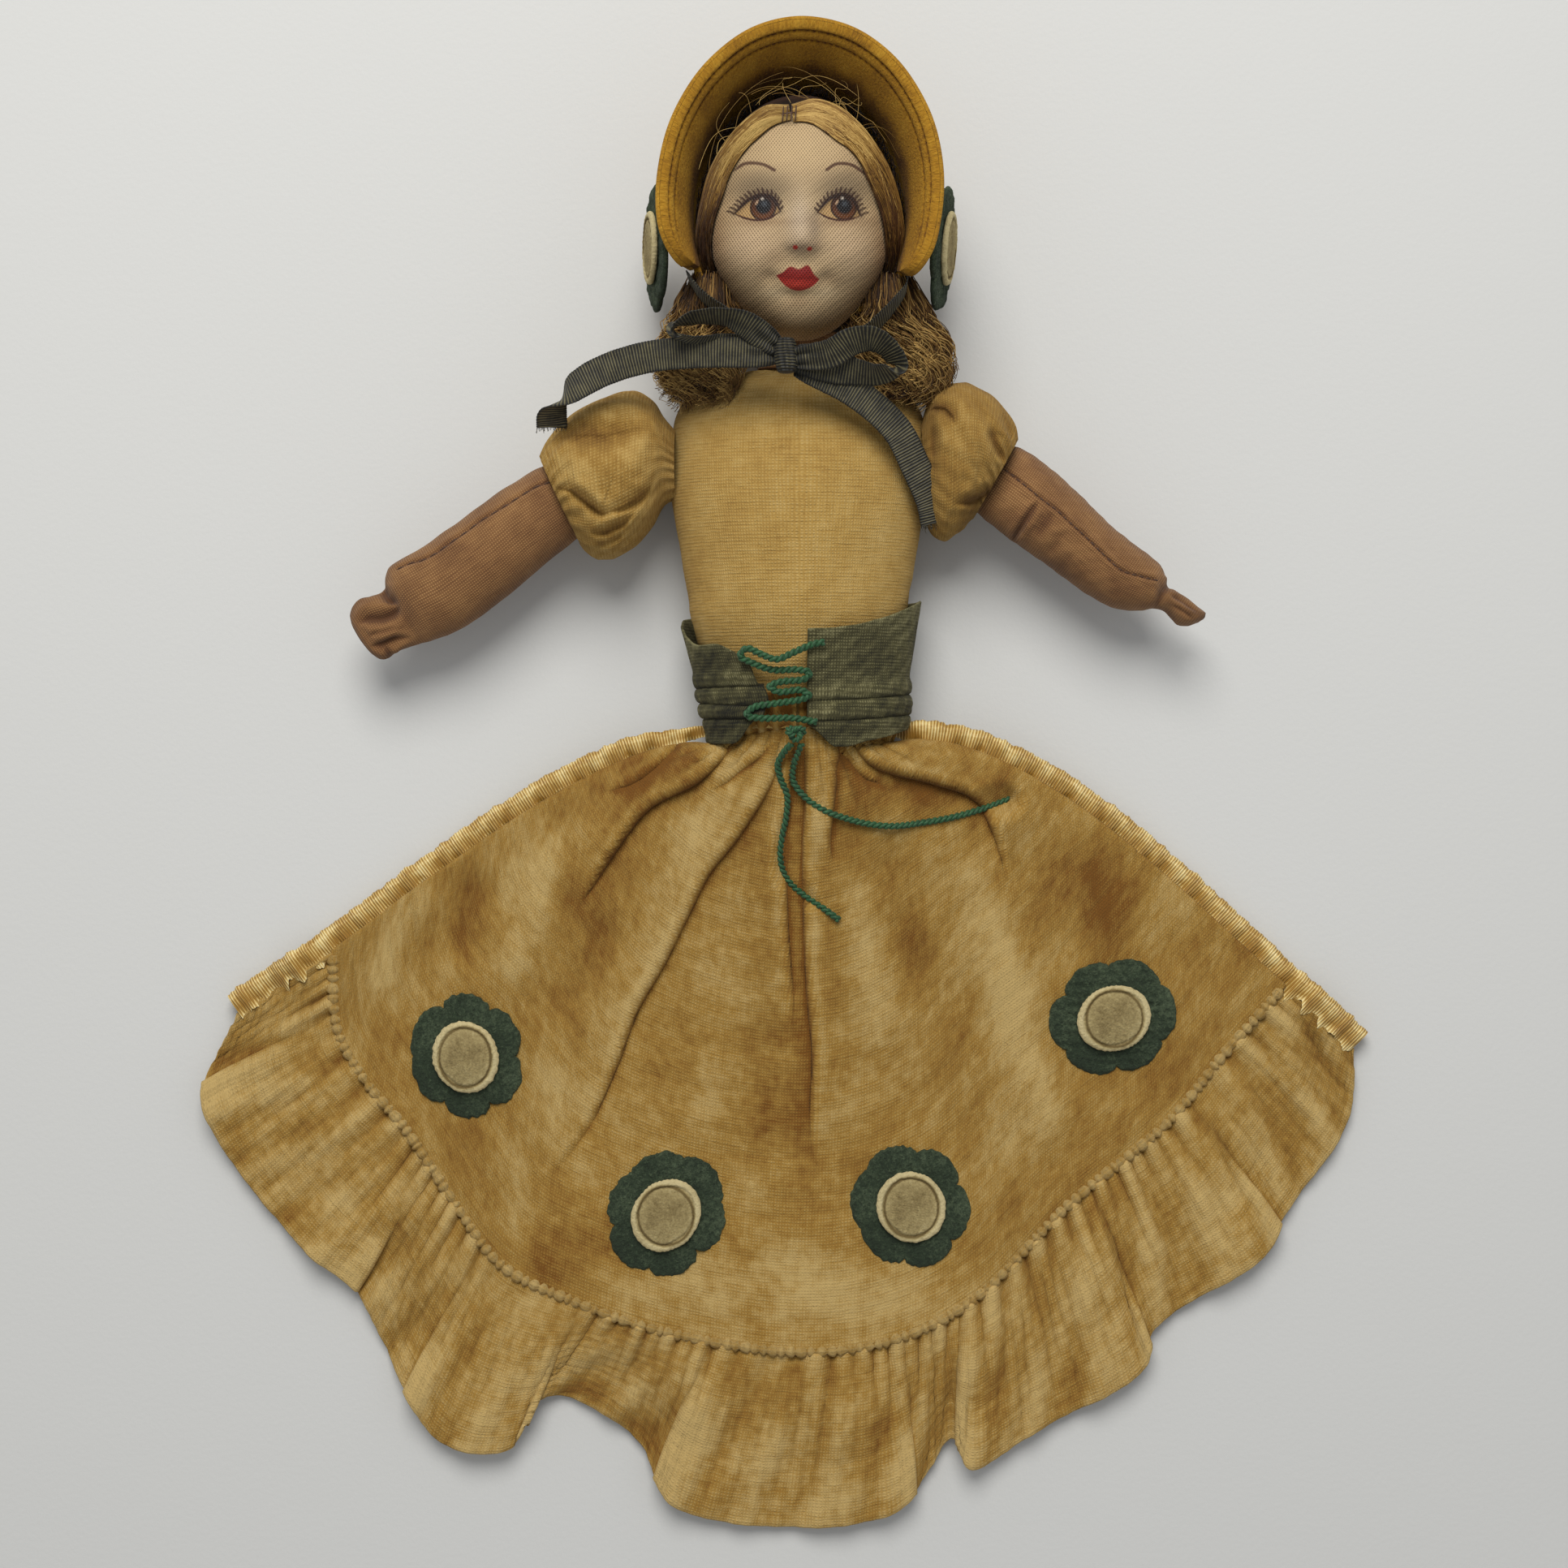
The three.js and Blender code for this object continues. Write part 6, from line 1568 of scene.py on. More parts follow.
def paint_eye(paint, x, y, eye):
    upper, lower = lid_lines(eye)
    # A soft grey-brown band over the eye, painted shade in its socket
    out, up = (x - eye.iris[0] - eye.side * 0.4) / 6.6, (y - eye.top[1] - 1.2) / 3.6
    paint.coat((104, 88, 66), 0.72 * np.exp(-(out ** 2 + up ** 2) ** 1.4))
    paint.coat((112, 78, 50), 0.45 * mound(x, y, (eye.iris[0], eye.low[1] - 0.3), 5.4, 0.9))
    opening = between(x, y, upper, lower)
    paint.coat((170, 136, 88), opening, 0.6)
    paint.coat((118, 84, 48), 0.6 * opening * smooth(0.4, 2.4, y - eye.iris[1]), 0.6)
    iris = opening * spot(x, y, eye.iris, IRIS_RADIUS)
    away = np.hypot(x - eye.iris[0], y - eye.iris[1]) / IRIS_RADIUS
    turn = np.arctan2(y - eye.iris[1], x - eye.iris[0])
    paint.coat((50, 26, 12), iris, 0.85)
    paint.coat((108, 62, 28), iris * 0.75 * hump(away, 0.74, 0.24) * (0.5 + 0.5 * np.cos(turn + 1.6)), 0.85)
    paint.coat((30, 12, 6), iris * smooth(0.82, 0.98, away), 0.85)
    paint.coat((16, 15, 18), opening * spot(x, y, eye.pupil, 1.5, 0.3), 0.9)
    # A blue-grey painted reflection on the pupil, then pale painted highlights on the iris
    paint.coat((70, 76, 82), 0.6 * opening * spot(x, y, (eye.pupil[0] + 0.1, eye.pupil[1] + 0.4), 0.5, 0.4),
               0.95)
    glint = [(eye.iris[0] - 1.5, eye.iris[1] + 0.5), (eye.iris[0] - 1.0, eye.iris[1] + 1.35)]
    paint.coat((196, 160, 126), 0.75 * opening * stroke(x, y, glint, 0.32, 0.15), 0.95)
    paint.coat((226, 214, 196),
               0.85 * opening * spot(x, y, (eye.iris[0] - 0.2, eye.top[1] - 0.7), 0.26, 0.2), 1.0)
    paint.coat((62, 28, 14), stroke(x, y, lower, 0.34), 0.5)
    paint.coat((48, 28, 16), 0.55 * stroke(x, y, upper, 0.9, 1.1), 0.4)
    paint.coat((34, 16, 8), stroke(x, y, upper, 0.62), 0.5)
    for lash in lashes(eye):
        paint.coat((54, 30, 16), 0.92 * stroke(x, y, lash, 0.36, 0.12, (1, 0.15)))


def paint_mouth(paint, x, y):
    upper = [MOUTH.left,
             ((MOUTH.left[0] + MOUTH.peak_left[0]) / 2, lerp(MOUTH.left[1], MOUTH.peak_left[1], 0.42)),
             MOUTH.peak_left, MOUTH.dip, MOUTH.peak_right,
             ((MOUTH.right[0] + MOUTH.peak_right[0]) / 2, lerp(MOUTH.right[1], MOUTH.peak_right[1], 0.4)),
             MOUTH.right]
    lower = [MOUTH.left, MOUTH.low_left, MOUTH.low, MOUTH.low_right, MOUTH.right]
    lips = between(x, y, upper, lower, 0.14)
    paint.coat((146, 26, 12), lips, 0.35)
    paint.coat((112, 12, 6), 0.8 * lips * smooth(0.2, 1.3, y - 88.6), 0.35)
    line = [MOUTH.left, (-1.9, 88.9), (-0.3, 88.7), (1.5, 88.75), MOUTH.right]
    paint.coat((96, 10, 6), 0.4 * lips * stroke(x, y, line, 0.3, 0.3, (1, 1)))
    paint.coat((176, 54, 30), 0.4 * lips * mound(x, y, (-0.4, 87.4), 2, 0.7))


# The moulded face: each mound's place, its reach across and up, and its height in mm
FACE_MOUNDS = [
    ((0.5, 95.6), 2.6, 2.4, 1.6), ((0.5, 99.5), 2.4, 4.6, 0.9),  # nose
    ((-1.6, 94.9), 1.4, 1.2, 0.3), ((2.5, 94.8), 1.4, 1.2, 0.3),  # sides of the nose
    ((-7.6, 102.2), 4.6, 2.9, -0.9), ((8.2, 102.2), 4.4, 2.9, -0.9),  # eye sockets
    ((-7.6, 101.8), 3.2, 2.1, 0.5), ((7.8, 101.8), 3.2, 2.1, 0.5),  # eyes
    ((-9.8, 92.6), 5.4, 4.6, 0.9), ((10.0, 92.6), 5.2, 4.6, 0.9),  # cheeks
    ((-0.3, 89.5), 3.3, 1.3, 0.75), ((-0.4, 87.3), 2.6, 1.2, 0.7),  # lips
    ((-5.8, 88.8), 1.4, 1.6, -0.5), ((5.0, 88.2), 1.4, 1.6, -0.5),  # corners of the mouth
    ((-0.3, 85.2), 3.0, 0.9, -0.4), ((-0.1, 81.8), 5.0, 3.0, 0.8),  # below the lips, and the chin
]
# Painted highlights on the cheeks, nose bridge and either side of the chin, and painted shade beside and
# under the nose, at the mouth's corners and under the lips: colour, strength, place, reach across and up, and
# gloss where it is rubbed smooth
FACE_LIGHT_AND_SHADE = [
    ((196, 168, 134), 0.5, (-9.4, 94.6), 5.6, 4.4, 0.55), ((196, 168, 134), 0.5, (9.8, 94.6), 5.6, 4.4, 0.55),
    ((178, 160, 138), 0.6, (-0.2, 99.5), 2.4, 5, 0.5), ((124, 108, 92), 0.5, (2.6, 98), 1.4, 3, None),
    ((98, 78, 62), 0.5, (0.2, 94.6), 3.4, 1.3, None), ((118, 90, 62), 0.4, (-6.4, 89.2), 2.4, 1.6, None),
    ((118, 90, 62), 0.4, (5.6, 88.4), 2.4, 1.6, None), ((118, 90, 62), 0.4, (-4.4, 92.4), 2.4, 1.6, None),
    ((118, 90, 62), 0.4, (-0.2, 84.4), 2.4, 1.6, None), ((204, 180, 140), 0.5, (-4.8, 85.6), 2.6, 1.1, 0.5),
    ((204, 180, 140), 0.5, (4.4, 85.6), 2.6, 1.1, 0.5),
]


def face_relief(x, y):
    """How far the moulded face stands out from the plain head, in mm"""
    relief = 0.1 * ripple(x, y, seed=73, size=11)
    for centre, wide, tall, height in FACE_MOUNDS:
        relief = relief + height * mound(x, y, centre, wide, tall)
    return relief


def paint_face(x, y):
    paint = Paint(x.shape, (180, 154, 114), 0.22)
    grey = 0.5 + 0.5 * ripple(x, y, seed=71, size=9)
    paint.coat((164, 136, 102), 0.45 * grey)
    # A lighter forehead as a painted highlight, and the face darker towards its edge as painted shade where
    # it turns away
    paint.coat((186, 160, 118), 0.5 * mound(x, y, (0.5, 112.5), 9, 5))
    paint.coat((142, 104, 62), 0.45 * smooth(0.72, 1.0, np.hypot(x / 17.3, (y - 101.5) / 23.5)))
    for colour, strength, centre, wide, tall, gloss in FACE_LIGHT_AND_SHADE:
        paint.coat(colour, strength * mound(x, y, centre, wide, tall), gloss)
    for eye in EYES:
        paint_eye(paint, x, y, eye)
    for brow in BROWS:
        ends = (0.2, 1.0) if brow[0][0] < 0 else (1.0, 0.2)
        paint.coat((74, 44, 28), 0.92 * stroke(x, y, brow, 0.52, 0.16, ends))
    for place in NOSTRILS:
        paint.coat((150, 30, 14), spot(x, y, place, 0.46, 0.16), 0.4)
    paint_mouth(paint, x, y)
    return paint


def face_finish():
    """Stockinette whose loops stand in rows on the slant, under thin paint"""
    finish = Finish("painted_knit", "face_knit", specular_ior_level=0.4, sheen_weight=0.05)
    place = finish.field("place")
    gloss = finish.field("gloss", "Fac")
    knit = finish.crossed(place, 0.67, 0.3)
    lint = finish.noise(place, 3.2, 4.0, 0.7)
    patches = finish.noise(place, 0.3, 3.0)
    level = finish.total((lint, 0.3), (knit, -0.62), (patches, 0.16), start=0.91)
    paint = finish.node("VectorMath", {0: finish.field("paint"), "Scale": level}, operation="SCALE")
    finish.colour(paint)
    finish.roughness(finish.blend(gloss, 0.8, 0.3))
    finish.bump(knit, -0.12)
    finish.bump(lint, 0.04)
    return finish.material


def make_head():
    tilt = column(np.radians(np.linspace(0.4, 88, 196)))
    turn = full_turn(440)
    points = head_point(tilt, turn)
    x, y = on_eye_plane(points)
    points = points + column(face_relief(x, y)) * unit(points - HEAD_CENTRE)
    paint = paint_face(x, y)
    slanted = places(0.78 * x + 0.62 * y, 0.78 * x - 0.62 * y, 0)
    fields = {"place": slanted, "paint": paint.colour, "gloss": paint.gloss}
    face = loft("face", points, face_finish(), fields)
    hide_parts("face_mask")
    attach(face, "head")
    back = head_point(column(np.radians(np.linspace(88.5, 176, 60))), full_turn(120), -0.2)
    place = places(back[..., 0], back[..., 1], back[..., 2])
    stuffing = loft("head_back", back, SKIN, {"place": place})
    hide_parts("head_stuffing")
    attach(stuffing, "head")


# Wig: strands over a matted cap and two locks swept from the parting, then curls at the neck

HAIR = Sizes(thickness=2.1, nape_below=17.5)
# Both edges of a lock: share of the way from the parting to the cheek, then the tilt in degrees
LOCKS = [
    Sizes(name="left", start=98.0, end=205, seed=83,
          inner=[(0, 44), (0.08, 44.3), (0.3, 45.6), (0.45, 49.4), (0.61, 54.9), (0.69, 56.7), (0.79, 64.1),
                 (0.96, 84), (1, 88)],
          outer=[(0, 57), (0.19, 59.5), (0.36, 63), (0.51, 69), (0.61, 74), (0.75, 80), (1, 99)]),
    Sizes(name="right", start=96.0, end=-25, seed=84,
          inner=[(0, 42.3), (0.2, 42.2), (0.36, 42.3), (0.51, 47.4), (0.65, 52.3), (0.75, 57.9), (0.9, 68.6),
                 (1, 90)],
          outer=[(0, 57), (0.13, 61.5), (0.28, 66), (0.38, 67), (0.52, 71), (0.62, 78), (0.72, 86), (1, 99)]),
]


def lock_point(lock, share, across, grow):
    """A place in a lock: share along from the parting to the cheek, and across from the hairline back"""
    tilt = lerp(reading(lock.inner, share, 1), reading(lock.outer, share, 1), across)
    return head_point(np.radians(tilt), np.radians(lerp(lock.start, lock.end, share)), grow)


def make_lock(lock):
    share, width = shares(140, 40)
    tilt = lerp(reading(lock.inner, share, 1) + 9.5, 98, width)
    grow = 0.3 + 0.6 * np.sin(math.pi / 2 * np.minimum(3 * width, 1))
    base = head_point(np.radians(tilt), np.radians(lerp(lock.start, lock.end, share)), grow)
    fields = {"strand": places(share, 3 * width, 0), "place": base}
    name = "wig_front_" + lock.name
    # A dark hair_shadow sheet under the strands, painted shade in the gaps between them
    under = cloth(name + "_base", base, 0.8, HAIR_DARK, fields, flip=lock.end < 90)
    draw = np.random.default_rng(lock.seed)
    count, steps = 1500, 20
    each = (count, 1)
    along = np.linspace(0, 1, steps)
    place = lerp(draw.uniform(-0.005, 0.1, each), draw.uniform(0.84, 1.03, each), along)
    place = np.clip(place, 0, 1)
    band = draw.uniform(0, 1, each)
    sway = 0.06 * np.sin(TURN * (draw.uniform(0.8, 2.6, each) * along + draw.uniform(0, 1, each)))
    clump = ripple(16 * band, 2.4 * place, seed=lock.seed, size=7)
    across = band + (sway + 0.06 * clump) * smooth(0, 0.3, along) + 0.05 * draw.normal(size=each) * along
    rise = 0.5 + 0.5 * smooth(0, 0.16, place)
    dome = np.sin(math.pi * (0.04 + 0.86 * np.clip(across, 0, 1))) ** 0.8 * rise
    lift = 0.2 + HAIR.thickness * dome + 0.42 * clump * dome + 0.5 * draw.random(each) ** 3 * along
    paths = lock_point(lock, place, across, lift)
    shade = 0.62 + 0.4 * clump + 0.22 * draw.normal(size=each) - 0.75 * smooth(0.4, 0.95, place)
    shade = np.clip(shade - 0.5 * np.clip(band, 0, 1) ** 3, 0, 1)
    locks = threads(name, paths, 0.115 * (1 - 0.5 * along ** 3)[None], HAIR_GOLD, shade=shade)
    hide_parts(name)
    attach(locks, "head")
    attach(under, "head")


def make_strays():
    """Single crinkled hairs that stand up from the locks into the shadow of the bonnet"""
    draw = np.random.default_rng(85)
    count, steps = 22, 30
    each = (count, 1)
    along = np.linspace(0, 1, steps)
    crinkle = draw.uniform(0.4, 1.5, each) * along + draw.uniform(0, 1, each)
    turn = draw.triangular(-5, 65, 190, each) + draw.normal(0, 26, each) * along
    tilt = draw.uniform(52, 70, each) + draw.uniform(-8, 20, each) * along + 2.2 * np.sin(TURN * crinkle)
    turn = turn + 2.4 * np.cos(TURN * crinkle)
    rise = draw.uniform(0.5, 5.4, each) * np.sin(math.pi / 2 * along)
    lift = 1.6 + rise + 0.3 * np.sin(TURN * 1.3 * crinkle)
    paths = head_point(np.radians(tilt), np.radians(turn), lift)
    strays = threads("wig_strays", paths, 0.045, HAIR_GOLD, shade=draw.uniform(0.6, 1.2, count))
    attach(strays, "head")


PARTING = Sizes(x=(-3.3, -2.5, -1.7, -0.9), low=118.3, high=122.2, thread=0.13)


def make_parting():
    """The few stitches that hold the hair down at the parting, and one across them"""
    lines = [[(x, PARTING.low, 0), (x + 0.25, PARTING.high, 0)] for x in PARTING.x]
    lines.append([(PARTING.x[0] - 0.2, 119.8, 0), (PARTING.x[-1] + 0.2, 120.2, 0)])
    along = column(np.linspace(0, 1, 9))
    paths = []
    for start, end in lines:
        line = lerp(np.array(start), np.array(end), along)
        reach = (line[:, 1] - HEAD_CENTRE[1]) / (HEAD.half_height + 1.4)
        side = (line[:, 0] - HEAD_CENTRE[0]) / (HEAD.half_width + 1.4)
        height = HEAD_CENTRE[2] + (HEAD.front_depth + 1.4) * np.sqrt(1 - reach ** 2 - side ** 2)
        line[:, 2] = height + 0.35 - 0.9 * np.abs(2 * along[:, 0] - 1) ** 4
        paths.append(line)
    seam = threads("wig_parting", np.array(paths), PARTING.thread, BROWN_THREAD, sides=6)
    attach(seam, "head")


def make_cap():
    tilt = column(np.radians(np.linspace(94, 174, 60)))
    turn = full_turn(160)
    outer = head_point(tilt, turn, GAP + 1.6 + 0.3 * ripple(15 * tilt + 0 * turn, 14 * turn, seed=81, size=6))
    nape = HEAD_CENTRE[1] - HEAD.half_height + 3.5
    outer[..., 1] = np.maximum(outer[..., 1], nape)
    outer[..., 2] = np.maximum(outer[..., 2], 1.9)
    # The cap is dark hair_shadow, painted shade inside the bonnet
    cap = loft("wig_cap", outer, HAIR_DARK, {"strand": places(tilt * 3, turn, 0), "place": outer})
    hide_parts("wig_back")
    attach(cap, "head")
    draw = np.random.default_rng(82)
    count, steps = 900, 12
    each = (count, 1)
    spread = draw.uniform(0, TURN, count)[:, None]
    reach = np.linspace(86, 122, steps)[None] + draw.uniform(-4, 6, each)
    swirl = spread + np.radians(14) * draw.normal(size=each) * np.linspace(0, 1, steps)
    lift = 2.0 + 0.9 * draw.random(each) + 0.3 * np.sin(9 * np.radians(reach) + spread)
    paths = head_point(np.radians(reach), swirl, lift)
    keep = paths[:, :, 1].min(1) > nape + 1
    # Dark fuzz over the cap, painted shade as the cap is
    fuzz = threads("wig_fuzz", paths[keep], 0.09, HAIR_DARK, shade=draw.random(keep.sum()))
    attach(fuzz, "head")


# Loose curls beside the neck: x, y and z of the middle of the hair, then its half width and half depth
CURLS = {
    "left": [(-17, 93, 23.5, 4.6, 3.0), (-17.2, 88, 24.3, 6.8, 3.8), (-17.4, 83, 23, 8.8, 4.6),
             (-19.2, 78, 21, 9.0, 5.0), (-20.0, 72, 20.2, 7.6, 4.4), (-19.0, 67.2, 19.6, 5.2, 2.8)],
    "right": [(17.4, 93, 23.5, 4.6, 3.0), (17.6, 88, 24.3, 7.0, 3.8), (18.2, 83, 23, 9.2, 4.8),
              (20.2, 78, 21, 9.6, 5.2), (20.6, 72, 20.2, 8.4, 4.6), (20.0, 67.2, 19.6, 6.0, 2.8)],
}


def make_curls(side_name, seed):
    rows = np.array(CURLS[side_name])
    line = Curve(rows[:, :3])
    marks = [line.share_of(i) for i in range(len(rows))]

    def spread(share, u, v):
        """A place in the hair, u across and v up from its middle line"""
        wide, deep = np.interp(share, marks, rows[:, 3]), np.interp(share, marks, rows[:, 4])
        return line.at(share) + places(wide * u, 0 * u * share, deep * v)

    share, turn = column(np.linspace(0.02, 0.93, 50)), full_turn(60)
    swell = 0.68 + 0.06 * ripple(30 * share, 6 * np.cos(turn), 6 * np.sin(turn), seed=seed, size=9)
    core = spread(share + 0 * turn, swell * np.cos(turn), swell * np.sin(turn))
    # A dark hair_shadow core, painted shade deep inside the curls
    inside = loft("curls_core_" + side_name, core, HAIR_DARK,
                  {"strand": places(share, 2 * turn, 0), "place": core})
    draw = np.random.default_rng(seed)
    count, steps = 1300, 24
    each = (count, 1)
    along = np.linspace(0, 1, steps)
    reach = np.sqrt(draw.uniform(0.3, 1.0, each))
    angle = draw.uniform(0, TURN, each)
    u, v = reach * np.cos(angle), reach * np.sin(angle)
    place = lerp(draw.uniform(0, 0.4, each), draw.uniform(0.72, 1.0, each), along)
    clump = ripple(9 * u, 9 * v, 3 * place, seed=seed + 1, size=8)
    wave = TURN * (draw.normal(4.2, 0.25, each) * place + 0.8 * clump) + draw.normal(0, 0.45, each)
    loose = smooth(0.1, 0.5, place) * (0.6 + 0.4 * place)
    points = spread(place, u * (1 + 0.16 * clump), v)
    points = points + places(1.5 * loose * np.sin(wave), 0.9 * loose * np.cos(wave),
                             1.1 * loose * np.cos(wave + 1))
    points = points + 0.5 * draw.normal(size=(count, 1, 3)) * column(along ** 2)
    name = "curls_" + side_name
    # Strands higher in the mass and where their waves rise are painted lighter and deeper ones darker, as
    # painted light and shade; they are also darker at their upper ends
    shade = 0.1 + 0.5 * smooth(0.2, 0.6, place) + 0.4 * clump + 0.2 * v + 0.22 * draw.normal(size=each)
    shade = np.clip(shade + 0.3 * loose * np.cos(wave + 1), 0, 1)
    curls = threads(name, points, 0.11 * (1 - 0.5 * along ** 3)[None], HAIR_CURL, shade=shade)
    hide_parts(name)
    for piece in (curls, inside):
        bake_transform(piece)


make_head()
for lock in LOCKS:
    make_lock(lock)
make_strays()
make_parting()
make_cap()
make_curls("left", 90)
make_curls("right", 95)

# Bonnet

CROWN = Sizes(half_width=22.3, half_height=28.4, depth=25.5, felt=1.5, lift=1.2)
BRIM = Sizes(half_width=25.9, half_height=31.9, flare=14.6, felt=1.9, lift=2.2, tilt=4, half=116, taper=15,
             trumpet=1.8)


def crown_point(tilt, turn, grow=0):
    return places((CROWN.half_width + grow) * np.sin(tilt) * np.cos(turn),
                  HEAD_CENTRE[1] + CROWN.lift + (CROWN.half_height + grow) * np.sin(tilt) * np.sin(turn),
                  HEAD_CENTRE[2] + (CROWN.depth + grow) * np.cos(tilt))


def make_crown():
    turn = full_turn(260)
    nape = HEAD_CENTRE[1] - HAIR.nape_below
    tilt = column(np.radians(np.linspace(89, 178, 90)))
    soft = 0.3 * ripple(24 * tilt + 0 * turn, 20 * np.cos(turn), 20 * np.sin(turn), seed=101, size=14)
    outer = crown_point(tilt, turn, soft)
    inner = crown_point(tilt[::-1], turn, -CROWN.felt)
    outer[..., 1] = np.maximum(outer[..., 1], nape)
    outer[..., 2] = np.maximum(outer[..., 2], 0.02)
    inner[..., 1] = np.maximum(inner[..., 1], nape + CROWN.felt)
    inner[..., 2] = np.maximum(inner[..., 2], CROWN.felt)
    rings = np.concatenate([inner, outer])
    crown = loft("bonnet_crown", rings, MUSTARD_FELT, {"place": rings})
    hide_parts("bonnet_crown")
    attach(crown, "head")


def brim_point(reach, t, grow=0):
    turn = lerp(-BRIM.half, BRIM.half, t)
    over_tip = np.maximum(np.abs(turn) - BRIM.half + BRIM.taper, 0) / BRIM.taper
    band = 0.16 + 0.84 * np.sqrt(np.maximum(1 - over_tip ** 2, 0))
    reach = np.clip(0.55 + (reach - 0.55) * band, -0.2, 1.2)
    angle, tilt = np.radians(turn), math.radians(BRIM.tilt) * reach
    out = bend(reach, BRIM.trumpet)
    wide = lerp(CROWN.half_width - CROWN.felt / 2, BRIM.half_width, out) + grow
    tall = lerp(CROWN.half_height - CROWN.felt / 2, BRIM.half_height, out) + grow
    x, y = wide * np.sin(angle), tall * np.cos(angle)
    return places(x * np.cos(tilt) + y * np.sin(tilt),
                  HEAD_CENTRE[1] + lerp(CROWN.lift, BRIM.lift, reach) + y * np.cos(tilt) - x * np.sin(tilt),
                  HEAD_CENTRE[2] + GAP + BRIM.flare * reach)


def make_brim():
    """A section round the felt, inner face, thick rolled edge and outer face, swept round the head"""
    half = BRIM.felt / 2
    rows = 64
    face = 1 - (1 - np.linspace(0, 1, rows)) ** 1.6
    roll = np.linspace(-math.pi / 2, math.pi / 2, 22)
    length = math.hypot(BRIM.flare, BRIM.half_width - CROWN.half_width)
    reach = np.concatenate([face, 1 + half / length * np.cos(roll), face[::-1],
                            -half / length * np.cos(roll)])
    grow = np.concatenate([np.full(rows, -half), half * np.sin(roll), np.full(rows, half),
                           -half * np.sin(roll)])
    depth = (1 - reach) * length
    seams = hump(depth, 0.4, 0.22) + 0.8 * hump(depth, 2.7, 0.26)
    rolls = 0.25 * (hump(depth, -0.4, 0.5) + hump(depth, 1.5, 0.8)) - 0.45 * seams
    t = column(np.linspace(0, 1, 560))
    inside = np.sign(-grow) * smooth(0, half, np.abs(grow))
    run = 150 * t
    sway = 0.13 * ripple(run + 0 * reach, 4 * reach, seed=103, size=60)
    relief = (rolls + 0.1 * seams * np.cos(run * TURN / 1.9)) * inside
    rings = brim_point(reach, t, grow + sway - relief)
    place = places(run, depth * np.sign(grow + 1e-9), 0)
    # Painted shade: the stitched grooves on the inner face darker, in dashes at the stitch pitch, and the
    # inner face darker still deep inside the bonnet
    dark = -0.55 * seams * (inside > 0) * (0.75 + 0.25 * np.cos(run * TURN / 1.9))
    dark = dark - 0.3 * smooth(7, 12, depth) * (inside > 0)
    brim = loft("bonnet_brim", rings, MUSTARD_FELT, {"place": place, "wear_and_shade": dark + 0 * t})
    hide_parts("bonnet_brim")
    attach(brim, "head")


make_crown()
make_brim()
for side_name, side, yaw in (("left", -1, -0.04), ("right", 1, -0.1)):
    normal = unit(np.array([side, yaw, 0.2]))
    make_flower("bonnet_flower_" + side_name, "bonnet_flower_centre_" + side_name, normal, 0.26, 30 + side,
                "head")

# Ribbon bow. Rows: a place on the ribbon's middle line in mm, and the way that the width faces.

RIBBON = Sizes(width=5.8, thickness=0.3)
KNOT = Sizes(half_width=2.2, half_height=3.4, half_depth=2.0)
KNOT_CENTRE = np.array([-2.6, 75.1, 33.6])
STRAP_LEFT = [(-4.6, 77.4, 32.2, 0.1, 0.4, 1), (-9, 79.8, 31.4, 0.15, 0.15, 1), (-13.6, 83, 31, 0.2, 0.15, 1),
              (-19.4, 87.6, 29.8, 0.1, 0.1, 1), (-21.6, 91, 28.6, 0, 0.1, 1)]
STRAP_RIGHT = [(-0.4, 76.4, 32.2, 0, 0.4, 1), (6, 77, 31.8, -0.15, 0.25, 1), (12.4, 80, 31.2, -0.2, 0.2, 1),
               (17, 84.2, 30.6, -0.2, 0.2, 1), (20.2, 88.4, 29.6, 0, 0.2, 1), (20.8, 92, 28.6, 0, 0.1, 1)]
LOOP_LEFT = [(-4.4, 76.6, 34, 0, 1, 0.2), (-6.8, 78.1, 35.4, 0.2, 0.9, 0.5),
             (-10.1, 80.2, 36.8, 0.2, 0.8, 0.7),
             (-14, 81.6, 37.2, 0, 0.4, 0.9), (-20.5, 81.4, 36.8, 0, 0.25, 1), (-24, 79.6, 36, 0.2, 0, 1),
             (-21.5, 78, 34.4, 0, 0.2, 1), (-13, 76.8, 32, 0, 0.8, 0.4), (-5.5, 76.2, 32, 0, 1, 0)]
LOOP_RIGHT = [(-0.8, 74.4, 34, 0, 1, 0.3), (5.8, 75.2, 35.2, -0.2, 1, 0.6), (10, 77.4, 36.2, -0.1, 0.8, 0.6),
              (13.9, 77.8, 36.4, 0.1, 0.7, 0.8), (17.4, 75.7, 35.6, 0.3, 0.4, 0.9),
              (18.8, 72.8, 34.4, 0.5, 0.3, 0.9),
              (15.2, 71.5, 32.8, 0, 0.5, 0.9), (10.8, 72.2, 32, 0, 0.7, 0.6), (7.4, 72.9, 31.6, 0, 1, 0.2),
              (-0.6, 74, 32.2, 0, 1, 0.1)]
TAIL_LEFT = [(-4.4, 75.2, 33.8, 0, 1, 0.1), (-9, 75.4, 34.4, 0, 1, 0), (-17, 75.7, 34, 0, 1, 0.05),
             (-28.9, 75.2, 31.6, 0, 1, 0.1), (-38.5, 72.6, 29.6, 0.3, 0.9, 0.1),
             (-45, 69, 27.4, 0.5, 0.8, 0.1),
             (-48.2, 65.8, 24.6, 0.8, 0.5, 0.1), (-48.6, 63.2, 21.8, 0.9, 0.3, 0.2)]
